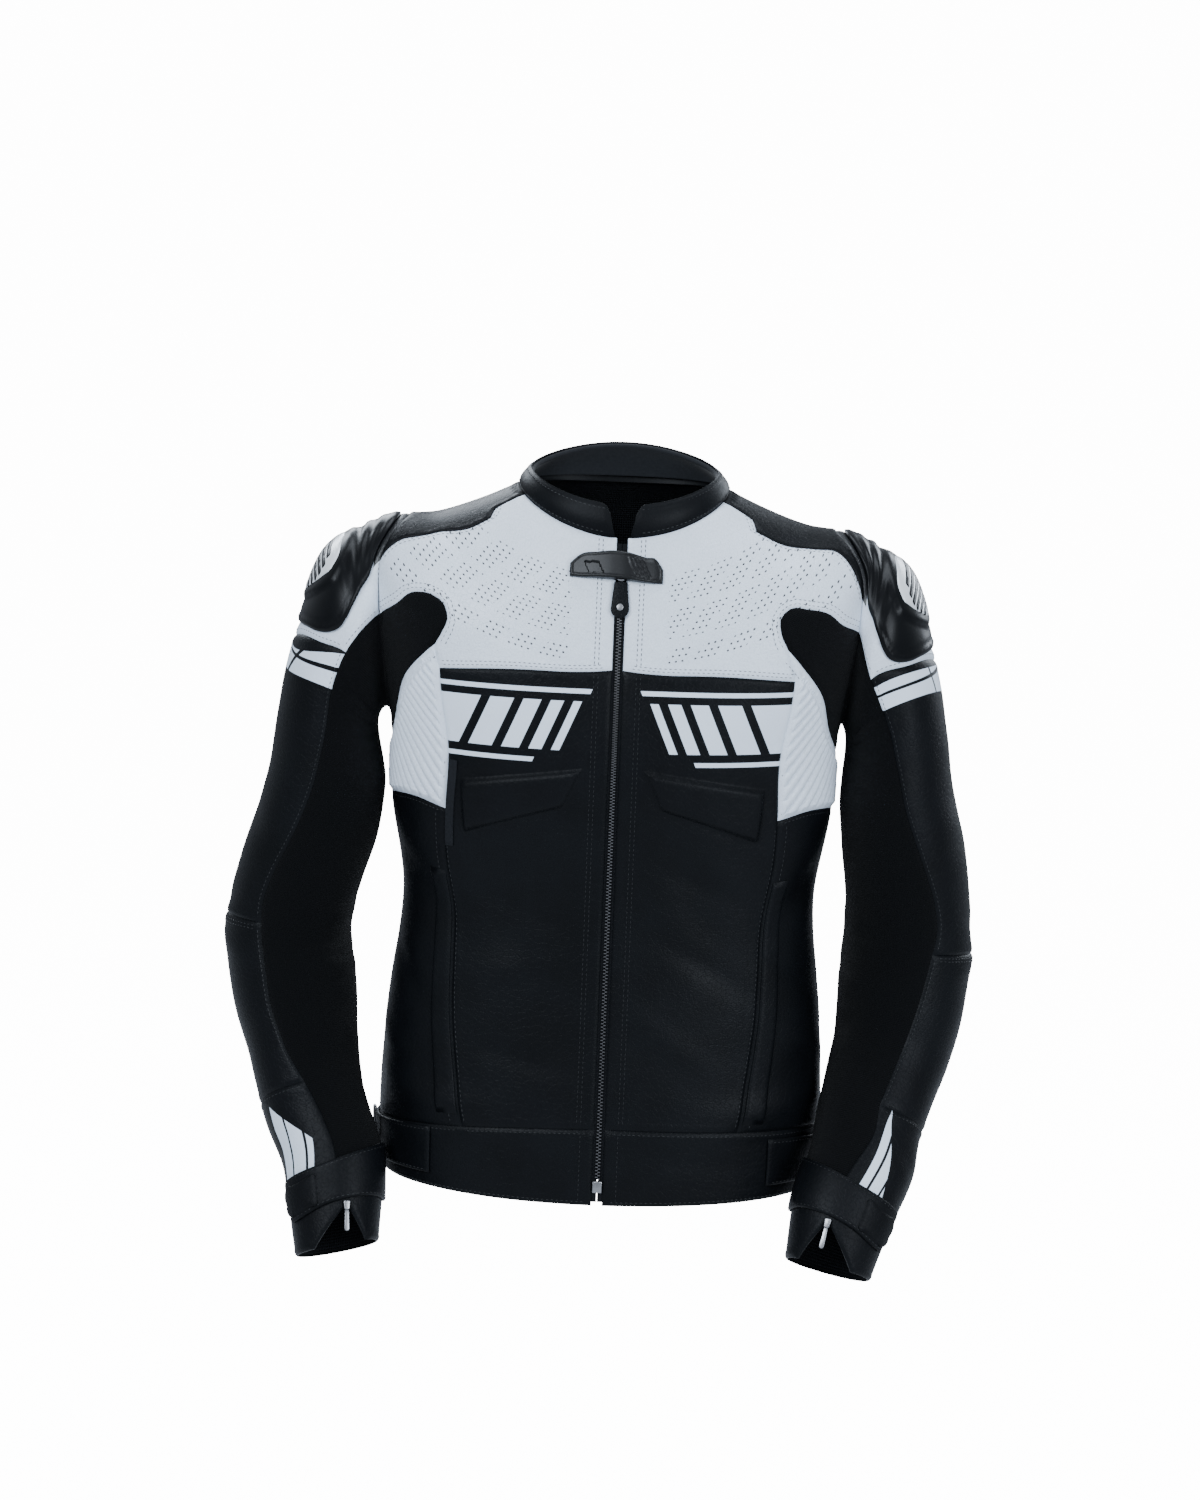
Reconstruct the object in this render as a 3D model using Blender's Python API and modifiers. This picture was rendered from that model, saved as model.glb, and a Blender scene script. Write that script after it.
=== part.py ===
"""Leather motorcycle jacket, worn and zipped up, hollow inside.

The body is one ringed surface from the neck seam to the hem, and each sleeve is a ringed surface
that grows out of the armhole loop on it. Every cut piece is an outline on one of these surfaces,
filled with triangles and given the thickness of its leather or cloth. Pieces that are sewn together
share the points of their seam and stand SEAM_GAP apart. The origin is midway between the two points
where the collar meets the shoulders. The front faces -Y. Sizes in the tables are millimetres.
"""
import math

import bmesh
import bpy
import numpy as np
from mathutils import Matrix, Vector
from mathutils.geometry import delaunay_2d_cdt
from mathutils.kdtree import KDTree

MM = 0.001
NAME = "motorcycle_jacket"

# Stock thickness and fits (mm)
LEATHER = 2.0
TEXTILE = 1.6
STRAP = 2.0
SEAM_GAP = 0.3
CLEAR = 0.4
BODY_PITCH = 27.0
BACK_PITCH = 36.0
SLEEVE_PITCH = 23.0

# The body: a ring for each level down the side of the body
BODY_SQUARENESS = 2.3
BODY_RINGS = (
    # name     down  z_front z_side z_back half_width front back
    ("neck",     0,   -33,     0,    -2,    89.5,      83,   62),
    ("base",    28,   -56,   -15,   -22,   122.0,      93,   82),
    ("slope",   62,   -82,   -28,   -46,   158.0,     102,   98),
    ("point",   98,  -110,   -34,   -78,   192.0,     110,  110),
    ("cap",    125,  -134,   -52,  -107,   211.0,     116,  116),
    ("high",   160,  -162,   -90,  -140,   215.0,     121,  120),
    ("chest",  200,  -192,  -137,  -177,   208.0,     124,  122),
    ("armpit", 245,  -225,  -200,  -218,   193.0,     124,  121),
    ("ribs",   300,  -274,  -268,  -270,   189.0,     119,  113),
    ("waist",  380,  -350,  -347,  -347,   177.0,     113,   98),
    ("belly",  490,  -458,  -457,  -457,   187.0,     117,  105),
    ("band",   568,  -535,  -543,  -540,   191.0,     122,  115),
    ("hem",    634,  -601,  -595,  -612,   190.0,     122,  117),
)
HEM = 634.0

# The armhole, an oval on the body's side: angle round the body (deg) and mm down it
ARMHOLE_ANGLE = 90.0
ARMHOLE_DOWN = 166.0
ARMHOLE_FRONT = 22.0
ARMHOLE_BACK = 38.0
ARMHOLE_HEIGHT = 79.0

# The sleeves: a ring for each level, leaning as the arm does
SLEEVE_SQUARENESS = 2.15
SHOULDER_RINGS = {
    -1: (
        # name      along    x     y     z   across depth lean  nod
        ("head",      42,  219.7,  9, -132.2, 73.6, 72,   74.1,  0),
        ("deltoid",   85,  233.5,  9, -160.3, 61.8, 69,   60.8,  0),
        ("pit",      120,  241.3,  9, -188.5, 55.2, 68.5, 44.8,  0),
        ("under",    155,  244.0,  8, -224.0, 50.6, 68.5, 25.4,  0),
        ("biceps",   190,  245.9,  6, -258.1, 50.9, 68,   11.2,  0),
    ),
    1: (
        ("head",      42,  215.2,  9, -132.2, 73.6, 72,   74.1,  0),
        ("deltoid",   85,  228.5,  9, -160.3, 61.5, 69,   60.8,  0),
        ("pit",      120,  237.3,  9, -188.5, 54.6, 68.5, 44.8,  0),
        ("under",    155,  241.3,  8, -224.0, 49.3, 68.5, 25.4,  0),
        ("biceps",   190,  244.2,  6, -258.1, 49.2, 68,   11.2,  0),
    ),
}
LEFT_ARM_RINGS = (
    # name     along    x     y     z   across depth lean  nod
    ("upper",     226,  252.7,     6,   -297,  53.3,   66,   13,   -1),
    ("lower",     278,  266.8,     8,   -347,  53.4,   63,   13,   -2),
    ("elbow",     328,  274.8,     9,   -396,  55.6,   62,    5,    6),
    ("below",     363,  271.0,     0,   -430,  55.1,   60,   -6,   14),
    ("swell",     396,  265.5,   -10,   -462,  52.6,   57,  -11,   18),
    ("forearm",   427,  258.5,   -21,   -491,  48.1,   54,  -13,   21),
    ("middle",    452,  253.0,   -32,   -515,  45.6,   51,  -15,   24),
    ("taper",     491,  241.5,   -50,   -550,  44.6,   47,  -17,   25),
    ("strap",   523,  229.0, -66, -577,  43.5, 44,  -16,   24),
    ("wrist",   557,  224.5, -82, -607,  41.0, 41,  -12,   22),
    ("end",     612,  220.0, -104, -652, 36.0, 38,  -14,   20),
)
RIGHT_ARM_RINGS = (
    # name     along    x     y     z   across depth lean  nod
    ("upper",     226,  251.5,     6,   -297,  52.6,   66,    9,   -1),
    ("lower",     268,  258.0,     8,   -340,  53.6,   63,    7,   -2),
    ("elbow",     317,  260.0,     9,   -389,  56.6,   62,   -1,    6),
    ("below",     354,  257.5,     2,   -425,  56.1,   60,   -5,   14),
    ("swell",     384,  254.5,    -7,   -453,  54.1,   57,   -8,   18),
    ("forearm",   417,  248.0,   -18,   -484,  51.1,   54,  -14,   21),
    ("middle",    450,  239.0,   -38, -511.8,  48.1,   51,  -18,   24),
    ("taper",     475,  231.5,   -57, -533.5,  46.1,   47,  -17,   25),
    ("strap",   510,  226.0, -80, -562.3, 46.0, 45, -18,   24),
    ("wrist",   560,  209.0, -110, -603.3, 43.0, 41, -20,  22),
    ("end",     613,  198.0, -130, -647.5, 37.0, 38, -14,  20),
)
SLEEVE_END = 612.0

# The largest folds: soft ridges (+) and troughs (-) along a line on the surface
BODY_FOLDS = (
    # angle down  to_angle to_down half_width height
    (-70,  540,   -30,     556,    14,         3.0),
    (25,   556,    72,     540,    14,         3.0),
    (14,   300,    34,     430,    22,        -2.6),
    (-36,  330,   -20,     450,    22,        -2.2),
    (-75,  350,   -40,     400,    20,        -2.6),
    (75,   350,    48,     395,    20,        -2.6),
    (150,  330,   205,     352,    22,        -4.5),
    (140,  420,   180,     400,    22,        -3.5),
    (215,  440,   182,     470,    22,        -3.5),
    (165,  540,   200,     548,    16,         3.0),
)
SLEEVE_FOLDS = {
    -1: (
        # round along to_round to_along half_width height
        (-90, 318,  -20,     340,    18,        -4.0),
        (150, 380,  215,     356,    18,        -3.0),
        (-95, 420,  -40,     404,    15,        -2.4),
    ),
    1: (
        (-90, 310,  -24,     332,    18,        -4.0),
        (155, 372,  220,     350,    18,        -3.0),
        (-92, 410,  -42,     398,    15,        -2.4),
    ),
}

# The collar's free edge above the neck seam, and its padding
COLLAR_TOP = dict(z_front=-6.0, z_side=15.0, z_back=31.0, half_width=80.0, front=79.0, back=57.0)
COLLAR_BULGE = 3.0
COLLAR_GAP_BASE = 4.2
COLLAR_GAP_TOP = 8.6
LINING = 3.6
LINING_GAP = 0.5

# Seams on one half of the body: angle round it (deg) and mm down it
ZIP_EDGE = 4.6
SHOULDER_BORDER = {
    -1: ((67, 0), (67.5, 21.5), (61.5, 30), (61.5, 48), (64, 58.5), (66, 67.5), (65.5, 79), (66, 91),
         (68.5, 103), (69.3, 112), (70, 123)),
    1: ((67, 0), (66.5, 23), (59.5, 32), (60.5, 54), (64.5, 72), (66, 82), (68.5, 93), (69, 104),
        (68, 116), (67.3, 128), (68, 137)),
}
BORDER_ARMHOLE = {-1: 64.0, 1: 75.0}
CAP_ARMHOLE = 93.0
BACK_YOKE_ARMHOLE = -70.0
STRETCH_ARMHOLE = -145.0
TONGUE_TO_YOKE = {
    -1: ((57, 146), (52, 129), (47, 121), (42.5, 122), (40.5, 131), (41.5, 146), (43.5, 160)),
    1: ((57, 150), (52, 134), (47, 122), (42.5, 113), (39, 117), (38, 130), (39.5, 147)),
}
TONGUE_TO_ARMPIT = {
    -1: ((43.5, 160), (48, 177), (56, 202), (68, 233), (78, 251), (88, 262)),
    1: ((39.5, 147), (46, 177), (55, 208), (66, 238), (77, 253), (88, 262)),
}
ARMPIT_TO_BACK = ((88, 262), (101, 261), (111, 249))
YOKE_CORNER = (42.5, 180)
YOKE_SEAM_MIDDLE = (20, 147)
YOKE_SEAM_ZIP = 132.5
RIB_FRONT_CORNER = (45.5, 298)
RIB_BOTTOM = ((45.5, 298), (56, 294.5), (72, 297), (88, 303))
SIDE_SEAM_ANGLE = 88.0
FRONT_SEAM = ((45.5, 298), (47, 345), (45, 400), (42, 470), (36, 567))
BAND_DOWN = 568.0
BAND_SAG = {-1: 9.0, 1: -1.0}
BACK_YOKE_SEAM = ((142, 166), (160, 180), (180, 188))

# Ribs of the white gusset: rows from the front seam up to the armhole edge
RIB_COUNT = 22
RIB_HEIGHT = 1.3
RIB_MARGIN = 5.0

# Embossed chest pad: corners on one half of the body
PAD_CORNERS = ((7, 243), (40.5, 270), (40, 318), (12, 284.5))
PAD_HEIGHT = 3.6
PAD_SLOPE = 9.0

# Seams on the sleeve: mm along it and angle round it (0 front, 90 outside, -90 body side)
STRETCH_EDGE = (
    # along left right
    (0,    -3,  -3),
    (25,    1,  -7),
    (60,    5,  -9),
    (100,   4,  -9),
    (136,   2,  -4),
    (175,   7,   3),
    (205,  12,   8),
    (238,  18,  15),
    (268,  23,  22),
    (293,  26,  24),
    (326,  23,  19),
    (370,  20,  13),
    (410,  18,   6),
    (440,  12,   1),
    (465,   1,  -1),
    (490,  -8,   0),
    (520, -10, -13),
    (552, -12, -22),
)
STRETCH_BACK = -125.0
CAP_BOTTOM = ((34, 92), (60, 104), (90, 113), (120, 113), (150, 102), (180, 84), (210, 62))
CAP_BOTTOM_FRONT = {-1: 68.0, 1: 52.0}
CAP_BOTTOM_BACK = 44.0
ELBOW_SEAM = 322.0
CUFF_PANEL_SEAM = 470.0
CUFF_SEAM = 552.0
VENT_TOP = (-20, 576)
VENT_OUTER = 26
VENT_INNER = -52

# Shoulder cup and its plate: outline round and along the sleeve head, and height above the sleeve
CUP_OUTLINE = ((20.5, 26), (18.5, 38), (16.8, 50), (17.5, 62), (24, 76), (36, 88), (51, 95.5), (70, 101),
               (92, 102.5), (114, 100), (134, 91), (150, 76), (158, 56), (159, 36), (154, 18), (143, 7),
               (128, 5), (108, 4.5), (86, 4.5), (62, 4.5), (40, 5), (28, 7), (21.8, 13))
CUP_TWIST = {-1: 3.3, 1: -3.3}
CUP_RIM = 0.9
CUP_CROWN = 3.2
CUP_TOP = 0.9
CUP_BRIDGE = 1.6
CUP_WALL = 2.0
CUP_GAP = 2.2
PLATE_OUTLINE = ((49, 49), (53, 41.5), (67, 37), (85, 35), (99, 40), (105, 52), (99, 66), (88, 77),
                 (78, 80), (67, 74), (55, 61))
PLATE_LIFT = 1.2
PLATE_THICK = 1.8

# Waist adjusters and cuff straps
WAIST_STRAP = ((46, 574), (62, 575), (80, 578), (98, 580))
WAIST_STRAP_WIDTH = 46.0
BUCKLE_ANGLE = 79.0
CUFF_STRAP_TOP = ((-150, 520), (-98, 524), (-50, 531), (0, 538), (50, 543), (66, 545))
CUFF_STRAP_BOTTOM = ((-150, 566), (-98, 572), (-50, 570), (0, 573), (42, 582), (60, 584))

# Zip, slider, pull and throat tab
CHAIN_HALF = 2.6
TAPE_HALF = 13.0
CHAIN_TOP = 14.0
CHAIN_BOTTOM = 612.0
STOP_SIZE = (8.0, 3.0, 10.0)
SLIDER_SIZE = (8.0, 3.6, 11.0)
SLIDER_Z = -63.0
PULL_LIES_AT_Z = -84.0
PULL_LIFT = 0.2
PULL_TOP_HALF = 5.6
PULL_END_HALF = 8.0
PULL_LENGTH = 30.0
PULL_THICK = 2.0
RIVET_RADIUS = 3.2
RIVET_UP = 9.5
THROAT_TAB = (
    # x    z_top  z_bottom lift
    (-43, -55.0, -65.5,   0.7),
    (-35, -48.5, -66.0,   2.0),
    (-20, -46.0, -66.0,   4.6),
    (-6,  -45.0, -66.5,   6.2),
    (8,   -46.5, -67.5,   6.2),
    (20,  -49.0, -68.5,   3.4),
    (29,  -50.0, -69.0,   1.2),
    (35,  -58.0, -69.0,   0.7),
)
TAB_THICK = 2.6
CUFF_SLIDER_PLACE = (-20, 577.5)
CUFF_SLIDER_SIZE = (6.0, 2.4, 8.0)
CUFF_SLIDER_LIFT = 0.5
PIVOT_GAP = 1.5
CUFF_PULL_SIZE = (4.0, 1.2, 16.0)

SIDE_NAMES = {-1: "left", 1: "right"}
MATERIALS = {
    # name            colour (linear)           roughness metallic
    "black_leather": ((0.012, 0.014, 0.018), 0.48, 0.0),
    "white_leather": ((0.72, 0.75, 0.78), 0.42, 0.0),
    "stretch_textile": ((0.005, 0.006, 0.008), 0.85, 0.0),
    "black_rubber": ((0.010, 0.011, 0.013), 0.38, 0.0),
    "white_plastic": ((0.78, 0.80, 0.82), 0.35, 0.0),
    "zip_metal": ((0.45, 0.45, 0.46), 0.32, 1.0),
    "zip_tape": ((0.010, 0.011, 0.013), 0.80, 0.0),
}


# ---- Smooth curves and surfaces -------------------------------------------------------------

def bend(keys, values, at):
    """A smooth curve through values at the given keys; past its ends it goes on straight."""
    at = np.asarray(at, float)
    spread = (slice(None),) + (None,) * (values.ndim - 1)
    gaps = np.diff(keys)[spread]
    slopes = np.diff(values, axis=0) / gaps
    weight = gaps[1:] / (gaps[1:] + gaps[:-1])
    inner = slopes[:-1] * weight + slopes[1:] * (1 - weight)
    return hermite(keys, values, np.concatenate([slopes[:1], inner, slopes[-1:]]), at)


def hermite(keys, values, slopes, at):
    """Cubic pieces between the keys, with the slope given at each key."""
    i = np.clip(np.searchsorted(keys, at, side="right") - 1, 0, len(keys) - 2)
    length = np.diff(keys)[i]
    raw = (at - keys[i]) / length
    u = np.clip(raw, 0, 1)
    shape = at.shape + (1,) * (values.ndim - 1)
    past = ((raw - u) * length).reshape(shape)
    u, length = u.reshape(shape), length.reshape(shape)
    end_slope = np.where(past > 0, slopes[i + 1], slopes[i])
    return (values[i] * (1 + 2 * u) * (1 - u) ** 2 + values[i + 1] * u * u * (3 - 2 * u)
            + slopes[i] * length * u * (1 - u) ** 2 - slopes[i + 1] * length * u * u * (1 - u)
            + end_slope * past)


def table(rows):
    return np.array([row[1:] for row in rows], float)


def oval(angle, squareness):
    """Cosine and sine of a squared circle."""
    c, s = np.cos(np.radians(angle)), np.sin(np.radians(angle))
    size = (np.abs(c) ** squareness + np.abs(s) ** squareness) ** (-1 / squareness)
    return c, c * size, s * size


def fold_height(folds, u, v, u_step):
    """Height of all folds at a point: a soft bell across each fold's line, fading at its ends."""
    height = np.zeros(np.broadcast(u, v).shape)
    for u0, v0, u1, v1, half_width, peak in folds:
        along = np.array([(u1 - u0) * u_step, v1 - v0])
        length = np.hypot(*along)
        along = along / length
        du, dv = (u - u0) * u_step, v - v0
        t = np.clip((du * along[0] + dv * along[1]) / length, 0, 1)
        away = np.hypot(du - t * length * along[0], dv - t * length * along[1])
        height = height + peak * np.exp(-(away / half_width) ** 2) * np.sin(math.pi * (0.12 + 0.76 * t))
    return height


def plain_body(angle, down):
    z_front, z_side, z_back, half_width, front, back = np.moveaxis(
        bend(table(BODY_RINGS)[:, 0], table(BODY_RINGS)[:, 1:], down), -1, 0)
    c, ahead, aside = oval(angle, BODY_SQUARENESS)
    y = np.where(c > 0, -front, back) * np.abs(ahead)
    z = z_side + (np.where(c > 0, z_front, z_back) - z_side) * c * c
    return np.stack([half_width * aside, y, z], -1) * MM


class Surface:
    """A surface with two coordinates, the mm that one unit of each is worth, and folds."""

    def __init__(self, place, step, outward, folds=()):
        self.plain, self.step, self.outward, self.folds = place, step, outward, folds

    def slope_normal(self, place, u, v):
        reach = 0.5
        du = place(u + reach, v) - place(u - reach, v)
        dv = place(u, v + reach) - place(u, v - reach)
        n = np.cross(dv, du) * self.outward
        return n / np.linalg.norm(n, axis=-1, keepdims=True)

    def place(self, u, v):
        u, v = np.broadcast_arrays(np.asarray(u, float), np.asarray(v, float))
        points = self.plain(u, v)
        if not self.folds:
            return points
        height = fold_height(self.folds, u, v, self.step[0]) * MM
        return points + height[..., None] * self.slope_normal(self.plain, u, v)

    def normal(self, u, v):
        return self.slope_normal(self.place, np.asarray(u, float), np.asarray(v, float))


def wrapped(folds, turn=360.0):
    """The same folds for angles counted past half a turn."""
    shifted = tuple((f[0] + turn, f[1], f[2] + turn) + tuple(f[3:]) for f in folds)
    return tuple(folds) + shifted


BODY = Surface(plain_body, (3.3, 1.0), 1, wrapped(BODY_FOLDS))


def armhole(turn):
    """Point of the armhole loop: 0 at the top, 90 in front, 180 under the arm."""
    s, c = np.sin(np.radians(turn)), np.cos(np.radians(turn))
    angle = ARMHOLE_ANGLE - np.where(s > 0, ARMHOLE_FRONT, ARMHOLE_BACK) * s
    return angle, ARMHOLE_DOWN - ARMHOLE_HEIGHT * c


def sleeve_ring(row, side, around):
    x, y, z, across, depth, lean, nod = row
    lean, nod = math.radians(lean), math.radians(nod)
    _, ahead, aside = oval(around, SLEEVE_SQUARENESS)
    outer = np.array([side * math.cos(lean), 0, math.sin(lean)])
    front = np.array([-side * math.sin(nod) * math.sin(lean), -math.cos(nod), math.sin(nod) * math.cos(lean)])
    return np.array([side * x, y, z]) + across * aside[:, None] * outer + depth * ahead[:, None] * front


def sleeve_surface(side):
    """The sleeve: at each angle round it, a smooth line from the armhole through every ring."""
    rows = table(SHOULDER_RINGS[side] + (LEFT_ARM_RINGS if side < 0 else RIGHT_ARM_RINGS))
    keys = np.concatenate([[0.0], rows[:, 0]])

    def place(around, along):
        shape = around.shape
        around, along = around.ravel(), along.ravel()
        turn = 90 - around
        angle, down = armhole(turn)
        start = BODY.place(side * angle, down) / MM
        inside = BODY.place(side * (angle + (ARMHOLE_ANGLE - angle) * 0.04),
                            down + (ARMHOLE_DOWN - down) * 0.04) / MM
        rings = [sleeve_ring(row[1:], side, around) for row in rows]
        points = np.concatenate([start[None], rings])
        gaps = np.diff(keys)[:, None, None]
        slopes = np.diff(points, axis=0) / gaps
        weight = gaps[1:] / (gaps[1:] + gaps[:-1])
        slopes = np.concatenate([slopes[:1], slopes[:-1] * weight + slopes[1:] * (1 - weight), slopes[-1:]])
        # over the shoulder the sleeve leaves the armhole in line with the body
        leaving = inside - start
        leaving = leaving / np.linalg.norm(leaving, axis=-1, keepdims=True)
        pull = np.clip((np.cos(np.radians(turn)) - 0.05) / 0.8, 0, 1)[:, None]
        pull = pull * pull * (3 - 2 * pull)
        pace = np.linalg.norm(slopes[0], axis=-1, keepdims=True)
        slopes[0] = slopes[0] * (1 - pull) + leaving * pace * pull
        i = np.clip(np.searchsorted(keys, along, side="right") - 1, 0, len(keys) - 2)
        j = np.arange(len(along))
        length = np.diff(keys)[i]
        raw = (along - keys[i]) / length
        u = np.clip(raw, 0, 1)
        past = ((raw - u) * length)[:, None]
        u, length = u[:, None], length[:, None]
        out = (points[i, j] * (1 + 2 * u) * (1 - u) ** 2 + points[i + 1, j] * u * u * (3 - 2 * u)
               + slopes[i, j] * length * u * (1 - u) ** 2 - slopes[i + 1, j] * length * u * u * (1 - u)
               + np.where(past > 0, slopes[i + 1, j], slopes[i, j]) * past)
        return (out * MM).reshape(shape + (3,))

    return Surface(place, (0.95, 1.0), side, wrapped(SLEEVE_FOLDS[side], -360.0))


def collar_place(angle, height):
    """The collar's outside: from the neck seam (0) to its free edge (1), leaning in, padded."""
    base = BODY.place(angle, 0 * angle)
    top = COLLAR_TOP
    c, ahead, aside = oval(angle, BODY_SQUARENESS)
    y = np.where(c > 0, -top["front"], top["back"]) * np.abs(ahead)
    z = top["z_side"] + (np.where(c > 0, top["z_front"], top["z_back"]) - top["z_side"]) * c * c
    edge = np.stack([top["half_width"] * aside, y, z], -1) * MM
    out = np.stack([aside, np.where(c > 0, -1, 1) * np.abs(ahead), 0 * angle], -1)
    bulge = COLLAR_BULGE * MM * 4 * height * (1 - height)
    return base + (edge - base) * height[..., None] + bulge[..., None] * out


COLLAR = Surface(collar_place, (1.5, 32.0), -1)


# ---- Outlines -------------------------------------------------------------------------------

def straight(points, pitch, step):
    """The points of a broken line, with others between them about pitch apart."""
    points = [np.array(p, float) for p in points]
    out = [points[0]]
    for a, b in zip(points[:-1], points[1:]):
        length = np.hypot((b[0] - a[0]) * step[0], (b[1] - a[1]) * step[1])
        count = max(1, round(length / pitch))
        out += [a + (b - a) * k / count for k in range(1, count + 1)]
    return np.array(out)


def curved(points, pitch, step):
    """A smooth line through the points, divided about pitch apart."""
    points = np.array(points, float)
    legs = np.hypot(np.diff(points[:, 0]) * step[0], np.diff(points[:, 1]) * step[1])
    keys = np.concatenate([[0], np.cumsum(legs)])
    count = max(2, round(keys[-1] / pitch))
    return bend(keys, points, np.linspace(0, keys[-1], count + 1))


def ring_of(*seams):
    """One closed outline from seams that follow each other; shared ends are kept once."""
    return np.concatenate([seam[:-1] for seam in seams])


def back(seam):
    return seam[::-1]


def over_back(seam):
    """A left-hand seam counted on past the middle of the back."""
    return np.stack([360.0 - np.abs(seam[:, 0]), seam[:, 1]], -1)


def half_width(down):
    return bend(table(BODY_RINGS)[:, 0], table(BODY_RINGS)[:, 4:5], down)[..., 0]


def beside_zip(x, top, bottom, side=1, pitch=None):
    """A line at a constant distance x from the middle of the front."""
    count = max(2, round((bottom - top) / (pitch or BODY_PITCH)))
    down = np.linspace(top, bottom, count + 1)
    return np.stack([side * np.degrees(x / half_width(down)), down], -1)


def armhole_arc(side, start, end):
    count = max(2, round(abs(end - start) / 15))
    angle, down = armhole(np.linspace(start, end, count + 1))
    return np.stack([side * angle, down], -1)


def body_seams(side):
    """Every seam of one half of the body, from end to end, as angle and mm down."""
    step = BODY.step
    pitch = BODY_PITCH * 0.75

    def turned(points):
        return [(side * p[0], p[1]) for p in points]

    def hooked(turn):
        angle, down = armhole(turn)
        return (float(angle), float(down))

    zip_neck = float(np.degrees(ZIP_EDGE / half_width(0.0)))
    zip_yoke = float(np.degrees(ZIP_EDGE / half_width(YOKE_SEAM_ZIP)))
    zip_band = float(np.degrees(ZIP_EDGE / half_width(BAND_DOWN)))
    front_band = FRONT_SEAM[-1][0]
    sag = BAND_SAG[side]
    side_band = (SIDE_SEAM_ANGLE, BAND_DOWN + sag)
    front_corner = (front_band, BAND_DOWN + sag * 0.4)
    front_line = FRONT_SEAM[:-1] + (front_corner,)
    border = turned(SHOULDER_BORDER[side] + (hooked(BORDER_ARMHOLE[side]),))
    return {
        "neck_step": straight(turned([(zip_neck, 0), (COLLAR_GAP_BASE, 0)]), pitch, step),
        "neck_front": straight(turned([(COLLAR_GAP_BASE, 0), (67, 0)]), pitch * 0.9, (1.7, 1)),
        "neck_back": straight(turned([(67, 0), (180, 0)]), pitch * 0.9, (1.6, 1)),
        "border": np.concatenate([straight(border[:3], pitch, step)[:-1],
                                  curved(border[2:], pitch, step)]),
        "armhole_yoke": armhole_arc(side, BORDER_ARMHOLE[side], CAP_ARMHOLE),
        "armhole_top": armhole_arc(side, BORDER_ARMHOLE[side], BACK_YOKE_ARMHOLE),
        "armhole_back": armhole_arc(side, BACK_YOKE_ARMHOLE, STRETCH_ARMHOLE),
        "armhole_stretch": armhole_arc(side, CAP_ARMHOLE, 360 + STRETCH_ARMHOLE),
        "tongue_yoke": curved(turned((hooked(CAP_ARMHOLE),) + TONGUE_TO_YOKE[side]), pitch * 0.7, step),
        "tongue_armpit": curved(turned(TONGUE_TO_ARMPIT[side]), pitch * 0.7, step),
        "tongue_back": curved(turned(ARMPIT_TO_BACK + (hooked(STRETCH_ARMHOLE),)), pitch * 0.7, step),
        "yoke_side": straight(turned([TONGUE_TO_ARMPIT[side][0], YOKE_CORNER]), pitch, step),
        "yoke_seam": curved(turned([YOKE_CORNER, YOKE_SEAM_MIDDLE, (zip_yoke, YOKE_SEAM_ZIP)]), pitch, step),
        "rib_front": straight(turned([YOKE_CORNER, RIB_FRONT_CORNER]), pitch, step),
        "rib_bottom": curved(turned(RIB_BOTTOM), pitch, step),
        "front_seam": curved(turned(front_line), pitch, step),
        "side_top": straight(turned([ARMPIT_TO_BACK[0], RIB_BOTTOM[-1]]), pitch, step),
        "side_seam": straight(turned([RIB_BOTTOM[-1], side_band]), pitch, step),
        "band_front": curved(turned([(zip_band, BAND_DOWN), (20, BAND_DOWN + sag * 0.15), front_corner]),
                             pitch, step),
        "band_side": straight(turned([front_corner, side_band]), pitch, step),
        "band_back": curved(turned([side_band, (130, BAND_DOWN + sag * 0.4), (180, BAND_DOWN)]), pitch, step),
        "hem_front": straight(turned([(float(np.degrees(ZIP_EDGE / half_width(HEM))), HEM),
                                      (SIDE_SEAM_ANGLE, HEM)]), pitch, (2.6, 1)),
        "hem_side": straight(turned([side_band, (SIDE_SEAM_ANGLE, HEM)]), pitch, step),
        "hem_back": straight(turned([(SIDE_SEAM_ANGLE, HEM), (180, HEM)]), pitch, (2.6, 1)),
        "back_yoke": curved(turned((hooked(BACK_YOKE_ARMHOLE),) + BACK_YOKE_SEAM), pitch, step),
        "zip_yoke": beside_zip(ZIP_EDGE, 0, YOKE_SEAM_ZIP, side),
        "zip_front": beside_zip(ZIP_EDGE, YOKE_SEAM_ZIP, BAND_DOWN, side),
        "zip_hem": beside_zip(ZIP_EDGE, BAND_DOWN, HEM, side),
    }


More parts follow.
